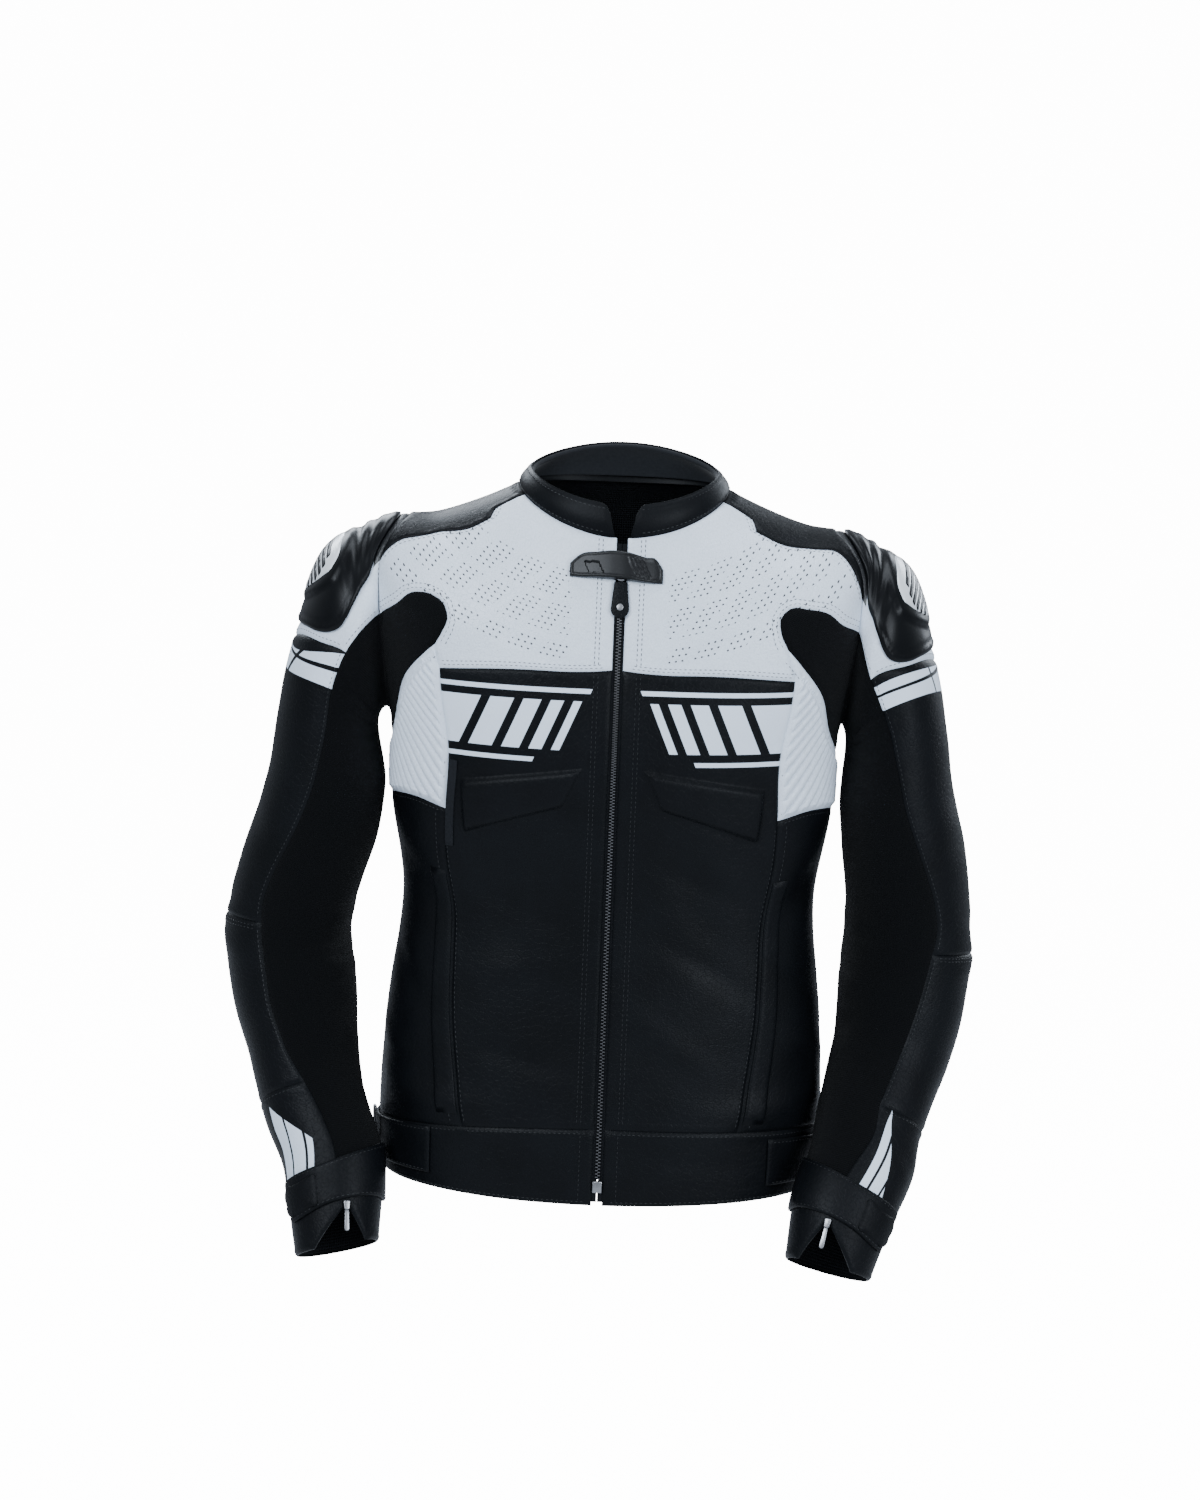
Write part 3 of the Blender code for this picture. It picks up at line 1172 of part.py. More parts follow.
def down_at_height(z):
    """How far down the middle of the front a height lies."""
    down = np.linspace(0, 200, 401)
    return float(np.interp(-z, -BODY.place(0 * down, down)[:, 2] / MM, down))


def pull_and_slider():
    """The slider under the tab, and the leather pull that swings on it, with its rivet."""
    place, turn = surface_frame(BODY, 0, down_at_height(SLIDER_Z), 0.2 + CLEAR + SLIDER_SIZE[1] / 2)
    block("zip_slider", "zip_metal", SLIDER_SIZE, place, turn, 0.8)
    pivot = place + turn @ (Vector((0, -PULL_LIFT, -SLIDER_SIZE[2] / 2 - PIVOT_GAP)) * MM)
    _, turn = surface_frame(BODY, 0, down_at_height(PULL_LIES_AT_Z), 0)
    ends = np.radians(np.linspace(180, 360, 9))
    length = PULL_LENGTH - PULL_END_HALF
    spots = [(PULL_TOP_HALF, 0.8), (-PULL_TOP_HALF, 0.8)]
    spots += [(PULL_END_HALF * math.cos(t), -length + PULL_END_HALF * math.sin(t)) for t in ends]
    hole = Vector((0, 0, -length - PULL_END_HALF + RIVET_UP))
    plate("zip_pull", "black_leather", spots, PULL_THICK, pivot, turn)
    rivet_place = pivot + turn @ ((hole + Vector((0, -PULL_THICK / 2 - CLEAR - 0.5, 0))) * MM)
    bm = bmesh.new()
    bmesh.ops.create_cone(bm, cap_ends=True, segments=24, radius1=RIVET_RADIUS * MM,
                          radius2=RIVET_RADIUS * 0.72 * MM, depth=1.0 * MM)
    bmesh.ops.rotate(bm, cent=(0, 0, 0), matrix=Matrix.Rotation(math.radians(90), 3, "X"), verts=bm.verts)
    mesh = bpy.data.meshes.new("pull_rivet")
    bm.to_mesh(mesh)
    bm.free()
    rivet = add_object("pull_rivet", mesh, "zip_metal")
    rivet.matrix_world = Matrix.Translation(rivet_place) @ turn.to_4x4()


def plate(name, material, spots, thick, place, turn):
    """A flat outline, drawn as a filled curve with a thickness, then made a mesh."""
    curve = bpy.data.curves.new(name, "CURVE")
    curve.dimensions = "2D"
    curve.fill_mode = "BOTH"
    curve.extrude = thick / 2 * MM
    spline = curve.splines.new("POLY")
    spline.points.add(len(spots) - 1)
    for point, (x, z) in zip(spline.points, spots):
        point.co = (x * MM, z * MM, 0, 1)
    spline.use_cyclic_u = True
    guide = bpy.data.objects.new(f"{name}_outline", curve)
    bpy.data.collections[NAME].objects.link(guide)
    mesh = bpy.data.meshes.new_from_object(guide.evaluated_get(bpy.context.evaluated_depsgraph_get()))
    mesh.name = name
    bpy.data.objects.remove(guide)
    bm = bmesh.new()
    bm.from_mesh(mesh)
    bmesh.ops.remove_doubles(bm, verts=bm.verts, dist=0.00001)
    bmesh.ops.rotate(bm, cent=(0, 0, 0), matrix=Matrix.Rotation(math.radians(90), 3, "X"), verts=bm.verts)
    bmesh.ops.recalc_face_normals(bm, faces=bm.faces)
    bm.to_mesh(mesh)
    bm.free()
    obj = add_object(name, mesh, material)
    obj.matrix_world = Matrix.Translation(place) @ turn.to_4x4()
    return obj


def throat_tab():
    """The moulded tab across the top of the zip, arched over the slider."""
    rows = np.array(THROAT_TAB, float)
    x = np.concatenate([np.linspace(-43, 35, 14)])
    z_top, z_bottom = (bend(rows[:, 0], rows[:, k:k + 1], x)[:, 0] for k in (1, 2))

    def spot(x_mm, z_mm):
        down = np.linspace(0, 120, 241)
        angle = np.degrees(np.arcsin(np.clip(x_mm / half_width(down), -1, 1)))
        for _ in range(3):
            here = BODY.place(angle, down)[:, 0] / MM
            angle = angle + np.degrees((x_mm - here) / half_width(down))
        heights = BODY.place(angle, down)[:, 2] / MM
        k = float(np.interp(-z_mm, -heights, down))
        return float(np.interp(k, down, angle)), k

    top = np.array([spot(a, b) for a, b in zip(x, z_top)])
    bottom = np.array([spot(a, b) for a, b in zip(x, z_bottom)])

    def arch(uv):
        across = BODY.place(uv[:, 0], uv[:, 1])[:, 0] / MM
        return bend(rows[:, 0], rows[:, 3:4], across)[:, 0]

    sheet = Sheet("throat_tab", "black_rubber", TAB_THICK, TAB_THICK)
    sheet.add(BODY, np.concatenate([top, bottom[::-1]]), 9, under=arch)
    sheet.weld()
    wall(sheet, edge_gap=False)


def cuff_zip(arm, label):
    """The slider at the top of the cuff vent, and the metal pull that swings on it."""
    around, along = CUFF_SLIDER_PLACE
    place, turn = surface_frame(arm, around, along, CUFF_SLIDER_LIFT + CUFF_SLIDER_SIZE[1] / 2)
    block(f"cuff_slider_{label}", "zip_metal", CUFF_SLIDER_SIZE, place, turn, 0.6)
    reach = CUFF_SLIDER_SIZE[2] / 2 + PIVOT_GAP * 0.75
    pivot = place + turn @ (Vector((0, -0.2, -reach)) * MM)
    wide, thick, length = CUFF_PULL_SIZE
    spots = [(wide / 2, 0.6), (-wide / 2, 0.6), (-wide / 2, -length), (0, -length - 1.5), (wide / 2, -length)]
    plate(f"cuff_pull_{label}", "zip_metal", spots, thick, pivot, turn)


# ---- The whole jacket ----------------------------------------------------------------------------------

def main():
    for obj in list(bpy.data.objects):
        bpy.data.objects.remove(obj)
    collection = bpy.data.collections.get(NAME) or bpy.data.collections.new(NAME)
    if collection.name not in bpy.context.scene.collection.children:
        bpy.context.scene.collection.children.link(collection)

    arms = {side: sleeve_surface(side) for side in SIDE_NAMES}
    seams = {side: body_seams(side) for side in SIDE_NAMES}
    collar, lining = collar_sheets(seams)
    sheets = body_sheets(seams) + [collar]
    for side, label in SIDE_NAMES.items():
        arm_seams = sleeve_seams(side, arms[side].step)
        sheets += sleeve_sheets(side, label, seams, arms[side], arm_seams)
    for sheet in sheets:
        sheet.weld()
    share_normals(sheets)
    for sheet in sheets:
        wall(sheet)

    lining.weld()
    wall(lining, edge_gap=False)
    side_tab()
    for side, label in SIDE_NAMES.items():
        welt(side, label)
        waist_strap(side, label)
        shoulder_cup(arms[side], side, label)
        cuff_strap(arms[side], label)
        cuff_zip(arms[side], label)
    zip_parts()
    pull_and_slider()
    throat_tab()


if __name__ == "__main__":
    main()
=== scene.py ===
"""The finished look of a leather motorcycle jacket: fine cloth and leather skins, stitching, zip
teeth, moulded cups and the studio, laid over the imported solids.

Run as a script. Every skin is a surface of two parameters, worked out as whole arrays. Lengths in
the tables are millimetres, angles are degrees, and the front of the jacket faces -Y.
"""

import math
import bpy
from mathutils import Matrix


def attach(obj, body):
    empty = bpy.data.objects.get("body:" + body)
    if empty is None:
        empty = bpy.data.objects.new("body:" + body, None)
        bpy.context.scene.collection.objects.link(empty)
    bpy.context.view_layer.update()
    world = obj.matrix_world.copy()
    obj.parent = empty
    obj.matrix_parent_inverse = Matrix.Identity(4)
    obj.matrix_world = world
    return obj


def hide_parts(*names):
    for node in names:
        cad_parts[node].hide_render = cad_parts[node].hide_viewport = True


bl_info = {
    "name": "Motorcycle jacket looks",
    "version": (1, 0, 0),
    "blender": (4, 5, 0),
    "location": "View3D > Sidebar > Jacket",
    "description": "Leather, textile, zip and stitching of a motorcycle jacket over its solids",
    "category": "Object",
}

import bpy
import numpy as np
from mathutils import Matrix, Vector
from mathutils.geometry import delaunay_2d_cdt

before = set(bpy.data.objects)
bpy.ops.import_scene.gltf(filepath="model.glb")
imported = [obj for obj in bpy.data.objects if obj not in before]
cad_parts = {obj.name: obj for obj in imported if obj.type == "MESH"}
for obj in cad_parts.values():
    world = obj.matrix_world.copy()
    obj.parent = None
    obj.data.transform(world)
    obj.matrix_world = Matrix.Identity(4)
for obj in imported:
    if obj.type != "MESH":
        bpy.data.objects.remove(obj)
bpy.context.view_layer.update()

MM = 0.001
ROOT = "jacket"
SIDES = {-1: "left", 1: "right"}

# ---- Form of the jacket, as in the solids ----

BODY_SQUARENESS = 2.3
BODY_RINGS = (
    # name     down  z_front z_side z_back half_width front back
    ("neck",     0,   -33,     0,    -2,    89.5,      83,   62),
    ("base",    28,   -56,   -15,   -22,   122.0,      93,   82),
    ("slope",   62,   -82,   -28,   -46,   158.0,     102,   98),
    ("point",   98,  -110,   -34,   -78,   192.0,     110,  110),
    ("cap",    125,  -134,   -52,  -107,   211.0,     116,  116),
    ("high",   160,  -162,   -90,  -140,   215.0,     121,  120),
    ("chest",  200,  -192,  -137,  -177,   208.0,     124,  122),
    ("armpit", 245,  -225,  -200,  -218,   193.0,     124,  121),
    ("ribs",   300,  -274,  -268,  -270,   189.0,     119,  113),
    ("waist",  380,  -350,  -347,  -347,   177.0,     113,   98),
    ("belly",  490,  -458,  -457,  -457,   187.0,     117,  105),
    ("band",   568,  -535,  -543,  -540,   191.0,     122,  115),
    ("hem",    634,  -601,  -595,  -612,   190.0,     122,  117),
)
HEM = 634.0
ARMHOLE = dict(angle=90.0, down=166.0, front=22.0, back=38.0, height=79.0)
SLEEVE_SQUARENESS = 2.15
SHOULDER_RINGS = {
    -1: (
        # name      along    x     y     z   across depth lean  nod
        ("head",      42,  219.7,  9, -132.2, 73.6, 72,   74.1,  0),
        ("deltoid",   85,  233.5,  9, -160.3, 61.8, 69,   60.8,  0),
        ("pit",      120,  241.3,  9, -188.5, 55.2, 68.5, 44.8,  0),
        ("under",    155,  244.0,  8, -224.0, 50.6, 68.5, 25.4,  0),
        ("biceps",   190,  245.9,  6, -258.1, 50.9, 68,   11.2,  0),
    ),
    1: (
        ("head",      42,  215.2,  9, -132.2, 73.6, 72,   74.1,  0),
        ("deltoid",   85,  228.5,  9, -160.3, 61.5, 69,   60.8,  0),
        ("pit",      120,  237.3,  9, -188.5, 54.6, 68.5, 44.8,  0),
        ("under",    155,  241.3,  8, -224.0, 49.3, 68.5, 25.4,  0),
        ("biceps",   190,  244.2,  6, -258.1, 49.2, 68,   11.2,  0),
    ),
}
ARM_RINGS = {
    -1: (
        # name     along    x     y     z   across depth lean  nod
        ("upper",     226,  252.7,     6,   -297,  53.3,   66,   13,   -1),
        ("lower",     278,  266.8,     8,   -347,  53.4,   63,   13,   -2),
        ("elbow",     328,  274.8,     9,   -396,  55.6,   62,    5,    6),
        ("below",     363,  271.0,     0,   -430,  55.1,   60,   -6,   14),
        ("swell",     396,  265.5,   -10,   -462,  52.6,   57,  -11,   18),
        ("forearm",   427,  258.5,   -21,   -491,  48.1,   54,  -13,   21),
        ("middle",    452,  253.0,   -32,   -515,  45.6,   51,  -15,   24),
        ("taper",     491,  241.5,   -50,   -550,  44.6,   47,  -17,   25),
        ("strap",     523,  229.0,   -66,   -577,  43.5,   44,  -16,   24),
        ("wrist",     557,  224.5,   -82,   -607,  41.0,   41,  -12,   22),
        ("end",       612,  220.0,  -104,   -652,  36.0,   38,  -14,   20),
    ),
    1: (
        ("upper",     226,  251.5,     6,   -297,  52.6,   66,    9,   -1),
        ("lower",     268,  258.0,     8,   -340,  53.6,   63,    7,   -2),
        ("elbow",     317,  260.0,     9,   -389,  56.6,   62,   -1,    6),
        ("below",     354,  257.5,     2,   -425,  56.1,   60,   -5,   14),
        ("swell",     384,  254.5,    -7,   -453,  54.1,   57,   -8,   18),
        ("forearm",   417,  248.0,   -18,   -484,  51.1,   54,  -14,   21),
        ("middle",    450,  239.0,   -38, -511.8,  48.1,   51,  -18,   24),
        ("taper",     475,  231.5,   -57, -533.5,  46.1,   47,  -17,   25),
        ("strap",     510,  226.0,   -80, -562.3,  46.0,   45,  -18,   24),
        ("wrist",     560,  209.0,  -110, -603.3,  43.0,   41,  -20,   22),
        ("end",       613,  198.0,  -130, -647.5,  37.0,   38,  -14,   20),
    ),
}
SLEEVE_END = 612.0

# The largest folds, as in the solids, then the finer creases that only the skins have
BODY_FOLDS = (
    # angle, down, to_angle, to_down, half_width, height
    (-70, 540, -30, 556, 14, 3.0),
    (25, 556, 72, 540, 14, 3.0),
    (14, 300, 34, 430, 22, -2.6),
    (-36, 330, -20, 450, 22, -2.2),
    (-75, 350, -40, 400, 20, -2.6),
    (75, 350, 48, 395, 20, -2.6),
    (150, 330, 205, 352, 22, -4.5),
    (140, 420, 180, 400, 22, -3.5),
    (215, 440, 182, 470, 22, -3.5),
    (165, 540, 200, 548, 16, 3.0),
)
BODY_CREASES = (
    (-62, 60, -30, 104, 10, -1.3),
    (-26, 50, -14, 110, 9, 0.9),
    (-55, 84, -38, 118, 8, -1.1),
    (40, 48, 20, 100, 10, -1.2),
    (60, 70, 44, 108, 9, 1.0),
    (30, 112, 9, 138, 8, -0.8),
    (-30, 118, -8, 138, 8, -0.7),
    (-40, 360, -12, 392, 11, -1.3),
    (-36, 440, -8, 420, 12, 1.2),
    (10, 330, 38, 372, 10, -1.2),
    (12, 396, 40, 452, 11, -1.6),
    (8, 470, 30, 520, 12, 1.3),
    (-34, 500, -8, 520, 10, -1.3),
    (-80, 430, -52, 470, 11, -1.6),
    (-84, 500, -56, 520, 10, 1.6),
    (52, 430, 84, 452, 11, -1.6),
    (54, 490, 86, 512, 10, 1.5),
    (120, 300, 160, 318, 12, -1.8),
    (200, 290, 240, 316, 12, -1.8),
    (110, 360, 150, 386, 12, 1.6),
    (210, 380, 250, 352, 12, 1.6),
    (120, 480, 170, 506, 12, -2.0),
    (190, 512, 240, 486, 12, -2.0),
    (130, 60, 150, 130, 13, -1.6),
    (228, 60, 208, 130, 13, -1.6),
    (-78, 590, -50, 598, 9, -0.9),
    (8, 590, 40, 600, 9, -0.8),
)
SLEEVE_FOLDS = {
    -1: (
        # round, along, to_round, to_along, half_width, height
        (-90, 318, -20, 340, 18, -4.0),
        (150, 380, 215, 356, 18, -3.0),
        (-95, 420, -40, 404, 15, -2.4),
    ),
    1: (
        (-90, 310, -24, 332, 18, -4.0),
        (155, 372, 220, 350, 18, -3.0),
        (-92, 410, -42, 398, 15, -2.4),
    ),
}
SLEEVE_CREASES = {
    -1: (
        (-58, 62, 4, 96, 6, -2.6),
        (-66, 84, -8, 116, 5, -2.4),
        (-70, 106, -14, 140, 6, -2.2),
        (-60, 74, 0, 106, 5, 1.6),
        (-64, 128, -30, 165, 7, -1.4),
        (-96, 286, -24, 304, 7, -1.8),
        (-100, 348, -28, 356, 7, -2.0),
        (-92, 376, -36, 384, 6, -1.4),
        (-60, 440, -14, 470, 7, -1.3),
        (-50, 478, -20, 500, 6, 1.3),
        (-100, 470, -70, 500, 7, -1.4),
        (60, 300, 120, 330, 9, -1.5),
        (50, 348, 110, 330, 8, 1.2),
        (150, 290, 220, 312, 10, -1.8),
        (150, 420, 215, 402, 9, -1.6),
        (40, 250, 90, 225, 11, -1.2),
        (150, 130, 205, 160, 10, -1.6),
        (120, 190, 170, 215, 11, -1.2),
        (30, 500, 70, 520, 7, -1.0),
    ),
    1: (
        (-62, 70, -6, 100, 6, -2.6),
        (-66, 90, -12, 124, 5, -2.4),
        (-74, 116, -18, 150, 6, -2.2),
        (-62, 80, -8, 112, 5, 1.6),
        (-60, 140, -26, 180, 7, -1.4),
        (-96, 276, -26, 292, 7, -1.8),
        (-96, 340, -34, 352, 7, -2.0),
        (-88, 372, -40, 382, 6, -1.4),
        (-64, 430, -18, 456, 7, -1.3),
        (-54, 470, -24, 490, 6, 1.3),
        (-100, 460, -70, 492, 7, -1.4),
        (56, 290, 118, 316, 9, -1.5),
        (48, 340, 108, 322, 8, 1.2),
        (152, 284, 218, 300, 10, -1.8),
        (152, 414, 214, 398, 9, -1.6),
        (36, 240, 92, 216, 11, -1.2),
        (150, 136, 205, 164, 10, -1.6),
        (118, 184, 172, 210, 11, -1.2),
        (28, 494, 66, 512, 7, -1.0),
    ),
}

COLLAR_TOP = dict(z_front=-6.0, z_side=15.0, z_back=31.0, half_width=80.0, front=79.0, back=57.0)
COLLAR_BULGE = 3.0
COLLAR_GAP_BASE = 4.2
COLLAR_GAP_TOP = 8.6

# Seams on one half of the body: angle round it and mm down it
ZIP_EDGE = 4.6
SHOULDER_BORDER = {
    -1: ((67, 0), (67.5, 21.5), (61.5, 30), (61.5, 48), (64, 58.5), (66, 67.5), (65.5, 79), (66, 91),
         (68.5, 103), (69.3, 112), (70, 123)),
    1: ((67, 0), (66.5, 23), (59.5, 32), (60.5, 54), (64.5, 72), (66, 82), (68.5, 93), (69, 104),
        (68, 116), (67.3, 128), (68, 137)),
}
BORDER_ARMHOLE = {-1: 64.0, 1: 75.0}
CAP_ARMHOLE = 93.0
BACK_YOKE_ARMHOLE = -70.0
STRETCH_ARMHOLE = -145.0
TONGUE_TO_YOKE = {
    -1: ((57, 146), (52, 129), (47, 121), (42.5, 122), (40.5, 131), (41.5, 146), (43.5, 160)),
    1: ((57, 150), (52, 134), (47, 122), (42.5, 113), (39, 117), (38, 130), (39.5, 147)),
}
TONGUE_TO_ARMPIT = {
    -1: ((43.5, 160), (48, 177), (56, 202), (68, 233), (78, 251), (88, 262)),
    1: ((39.5, 147), (46, 177), (55, 208), (66, 238), (77, 253), (88, 262)),
}
ARMPIT_TO_BACK = ((88, 262), (101, 261), (111, 249))
YOKE_CORNER = (42.5, 180)
YOKE_SEAM_MIDDLE = (20, 147)
YOKE_SEAM_ZIP = 132.5
RIB_FRONT_CORNER = (45.5, 298)
RIB_BOTTOM = ((45.5, 298), (56, 294.5), (72, 297), (88, 303))
SIDE_SEAM_ANGLE = 88.0
FRONT_SEAM = ((45.5, 298), (47, 345), (45, 400), (42, 470), (36, 567))
BAND_DOWN = 568.0
BAND_SAG = {-1: 9.0, 1: -1.0}
BACK_YOKE_SEAM = ((142, 166), (160, 180), (180, 188))
PAD_CORNERS = ((7, 243), (40.5, 270), (40, 318), (12, 284.5))
PAD_HEIGHT = 3.6
PAD_SLOPE = 9.0

# Seams on the sleeve: mm along it and angle round it (0 front, 90 outside, -90 body side)
STRETCH_EDGE = (
    # along left right
    (0,    -3,  -3),
    (25,    1,  -7),
    (60,    5,  -9),
    (100,   4,  -9),
    (136,   2,  -4),
    (175,   7,   3),
    (205,  12,   8),
    (238,  18,  15),
    (268,  23,  22),
    (293,  26,  24),
    (326,  23,  19),
    (370,  20,  13),
    (410,  18,   6),
    (440,  12,   1),
    (465,   1,  -1),
    (490,  -8,   0),
    (520, -10, -13),
    (552, -12, -22),
)
STRETCH_BACK = -125.0
CAP_BOTTOM = ((34, 92), (60, 104), (90, 113), (120, 113), (150, 102), (180, 84), (210, 62))
CAP_BOTTOM_FRONT = {-1: 68.0, 1: 52.0}
CAP_BOTTOM_BACK = 44.0
ELBOW_SEAM = 322.0
CUFF_PANEL_SEAM = 470.0
CUFF_SEAM = 552.0
VENT_TOP = (-20, 576)
VENT_OUTER = 26
VENT_INNER = -52

# Shoulder cup and plate: outline round and along the sleeve head
CUP_OUTLINE = ((20.5, 26), (18.5, 38), (16.8, 50), (17.5, 62), (24, 76), (36, 88), (51, 95.5), (70, 101),
               (92, 102.5), (114, 100), (134, 91), (150, 76), (158, 56), (159, 36), (154, 18), (143, 7),
               (128, 5), (108, 4.5), (86, 4.5), (62, 4.5), (40, 5), (28, 7), (21.8, 13))
CUP_TWIST = {-1: 3.3, 1: -3.3}
PLATE_OUTLINE = ((49, 49), (53, 41.5), (67, 37), (85, 35), (99, 40), (105, 52), (99, 66), (88, 77),
                 (78, 80), (67, 74), (55, 61))
CUP_GAP = 1.5
CUP_WALL = 1.8

# Front zip: heights of the slider and of its pull's middle, the pull's length, and the box at the foot
SLIDER_HEIGHT = -63.0
MAIN_PULL_HEIGHT = -84.0
MAIN_PULL_LONG = 29.8
ZIP_BOX_DOWN = 617.4

# Waist adjusters and cuff straps
WAIST_STRAP = ((46, 574), (62, 575), (80, 578), (98, 580))
WAIST_STRAP_WIDTH = 46.0
CUFF_STRAP_TOP = ((-150, 520), (-98, 524), (-50, 531), (0, 538), (50, 543), (66, 545))
CUFF_STRAP_BOTTOM = ((-150, 566), (-98, 572), (-50, 570), (0, 573), (42, 582), (60, 584))

# Throat tab: x, top and bottom heights, and how far it stands off the chest
THROAT_TAB = (
    # x    z_top  z_bottom lift
    (-43, -55.0, -65.5,   0.7),
    (-35, -48.5, -66.0,   2.0),
    (-20, -46.0, -66.0,   4.6),
    (-6,  -45.0, -66.5,   6.2),
    (8,   -46.5, -67.5,   6.2),
    (20,  -49.0, -68.5,   3.4),
    (29,  -50.0, -69.0,   1.2),
    (35,  -58.0, -69.0,   0.7),
)


# ---- Settings that a user would change ----

def colour(name, about, value):
    return bpy.props.FloatVectorProperty(name=name, description=about, subtype="COLOR", size=4,
                                         min=0, max=1, default=(*value, 1))


def length(name, about, value):
    return bpy.props.FloatProperty(name=name, description=about, default=value * MM, unit="LENGTH",
                                   subtype="DISTANCE", min=0, precision=5)


class JacketColours(bpy.types.PropertyGroup):
    black: colour("Black leather", "Dyed grain leather of the fronts, back and sleeves",
                  (0.0030, 0.0037, 0.0048))
    white: colour("White leather", "Finished leather of the yoke, gussets and sleeve caps",
                  (0.79, 0.87, 0.97))
    stretch: colour("Stretch textile", "Knitted panels under the arms", (0.0012, 0.0015, 0.0020))
    rubber: colour("Moulded rubber", "Shoulder cups and throat tab", (0.0020, 0.0024, 0.0031))
    metal: colour("Zip metal", "Teeth, sliders, rivet and loops", (0.34, 0.34, 0.35))
    print_white: colour("Print", "Reflective bars on the chest, sleeves and cuffs", (0.75, 0.83, 0.93))
    thread_pale: colour("Pale thread", "Topstitching on the white leather", (0.12, 0.125, 0.135))
    thread_dark: colour("Dark thread", "Topstitching on the black leather", (0.012, 0.013, 0.015))
    lining: colour("Lining", "Mesh lining seen through the neck, hem and cuffs", (0.010, 0.011, 0.013))


class JacketSizes(bpy.types.PropertyGroup):
    pitch: length("Skin pitch", "Spacing of the points on the leather", 6.0)
    rib_pitch: length("Rib pitch", "Spacing of the points on the ribbed gussets", 2.0)
    leather: length("Leather", "Thickness of the leather skins", 1.4)
    textile: length("Textile", "Thickness of the stretch panels", 1.1)
    stitch: length("Stitch", "Length of one stitch with its gap", 4.2)
    thread: length("Thread", "Thickness of the sewing thread", 0.8)
    tooth: length("Tooth pitch", "Distance between zip teeth on one side", 2.9)


# ---- Smooth curves and surfaces ----

def mean_slopes(values, gaps):
    """Slopes at the keys: the weighted mean of the two pieces that meet there."""
    slopes = np.diff(values, axis=0) / gaps
    weight = gaps[1:] / (gaps[1:] + gaps[:-1])
    return np.concatenate([slopes[:1], slopes[:-1] * weight + slopes[1:] * (1 - weight), slopes[-1:]])


def find_piece(keys, at):
    """The piece between two keys, how far along it, its length, and how far past it."""
    i = np.clip(np.searchsorted(keys, at, side="right") - 1, 0, len(keys) - 2)
    long = np.diff(keys)[i]
    raw = (at - keys[i]) / long
    u = np.clip(raw, 0, 1)
    return i, u, long, (raw - u) * long


def cubic(start, end, leave, arrive, u, long, past):
    """The cubic from start to end with two given slopes; past its ends it goes on straight."""
    return (start * (1 + 2 * u) * (1 - u) ** 2 + end * u * u * (3 - 2 * u)
            + leave * long * u * (1 - u) ** 2 - arrive * long * u * u * (1 - u)
            + np.where(past > 0, arrive, leave) * past)


def bend(keys, values, at):
    """A smooth curve through values at the keys, in cubic pieces."""
    at = np.asarray(at, float)
    flat = (1,) * (values.ndim - 1)
    slopes = mean_slopes(values, np.diff(keys).reshape((-1,) + flat))
    i, *parts = find_piece(keys, at)
    u, long, past = (part.reshape(at.shape + flat) for part in parts)
    return cubic(values[i], values[i + 1], slopes[i], slopes[i + 1], u, long, past)


def smooth(x):
    """0 below 0, 1 above 1, and a smooth step between."""
    x = np.clip(x, 0, 1)
    return x * x * (3 - 2 * x)


def bell(away, middle, width):
    return np.exp(-((away - middle) / width) ** 2)


def table(rows):
    return np.array([row[1:] for row in rows], float)


def oval(angle, squareness):
    """Cosine, and cosine and sine of a squared circle: both divided by the p-norm of the two."""
    c, s = np.cos(np.radians(angle)), np.sin(np.radians(angle))
    size = (np.abs(c) ** squareness + np.abs(s) ** squareness) ** (-1 / squareness)
    return c, c * size, s * size


def fold_height(folds, u, v, u_step):
    """Height of all folds: a bell across each fold's line, times a sine along it."""
    height = np.zeros(np.broadcast(u, v).shape)
    for u0, v0, u1, v1, half_width, peak in folds:
        along = np.array([(u1 - u0) * u_step, v1 - v0])
        long = np.hypot(*along)
        along = along / long
        du, dv = (u - u0) * u_step, v - v0
        t = np.clip((du * along[0] + dv * along[1]) / long, 0, 1)
        away = np.hypot(du - t * long * along[0], dv - t * long * along[1])
        height = height + peak * np.exp(-(away / half_width) ** 2) * np.sin(math.pi * (0.12 + 0.76 * t))
    return height


def plain_body(angle, down):
    """Squared ovals whose width, depth and heights run smoothly down the body."""
    rings = table(BODY_RINGS)
    ring = np.moveaxis(bend(rings[:, 0], rings[:, 1:], down), -1, 0)
    z_front, z_side, z_back, half, front, back_depth = ring
    c, ahead, aside = oval(angle, BODY_SQUARENESS)
    y = np.where(c > 0, -front, back_depth) * np.abs(ahead)
    z = z_side + (np.where(c > 0, z_front, z_back) - z_side) * c * c
    return np.stack([half * aside, y, z], -1) * MM


class Surface:
    """A surface of two parameters, with the mm that one unit of each is worth, and its folds."""

    def __init__(self, place, step, outward, folds=()):
        self.plain, self.step, self.outward, self.folds = place, np.array(step, float), outward, folds

    def slope_normal(self, place, u, v):
        reach = 0.5
        du = place(u + reach, v) - place(u - reach, v)
        dv = place(u, v + reach) - place(u, v - reach)
        n = np.cross(dv, du) * self.outward
        return n / np.linalg.norm(n, axis=-1, keepdims=True)

    def place(self, u, v):
        """The plain surface moved out along its normal by the height of the folds."""
        u, v = np.broadcast_arrays(np.asarray(u, float), np.asarray(v, float))
        points = self.plain(u, v)
        if not self.folds:
            return points
        height = fold_height(self.folds, u, v, self.step[0]) * MM
        return points + height[..., None] * self.slope_normal(self.plain, u, v)

    def normal(self, u, v):
        return self.slope_normal(self.place, np.asarray(u, float), np.asarray(v, float))


def wrapped(folds, turn):
    """The same folds for angles counted past half a turn."""
    return tuple(folds) + tuple((f[0] + turn, f[1], f[2] + turn) + tuple(f[3:]) for f in folds)


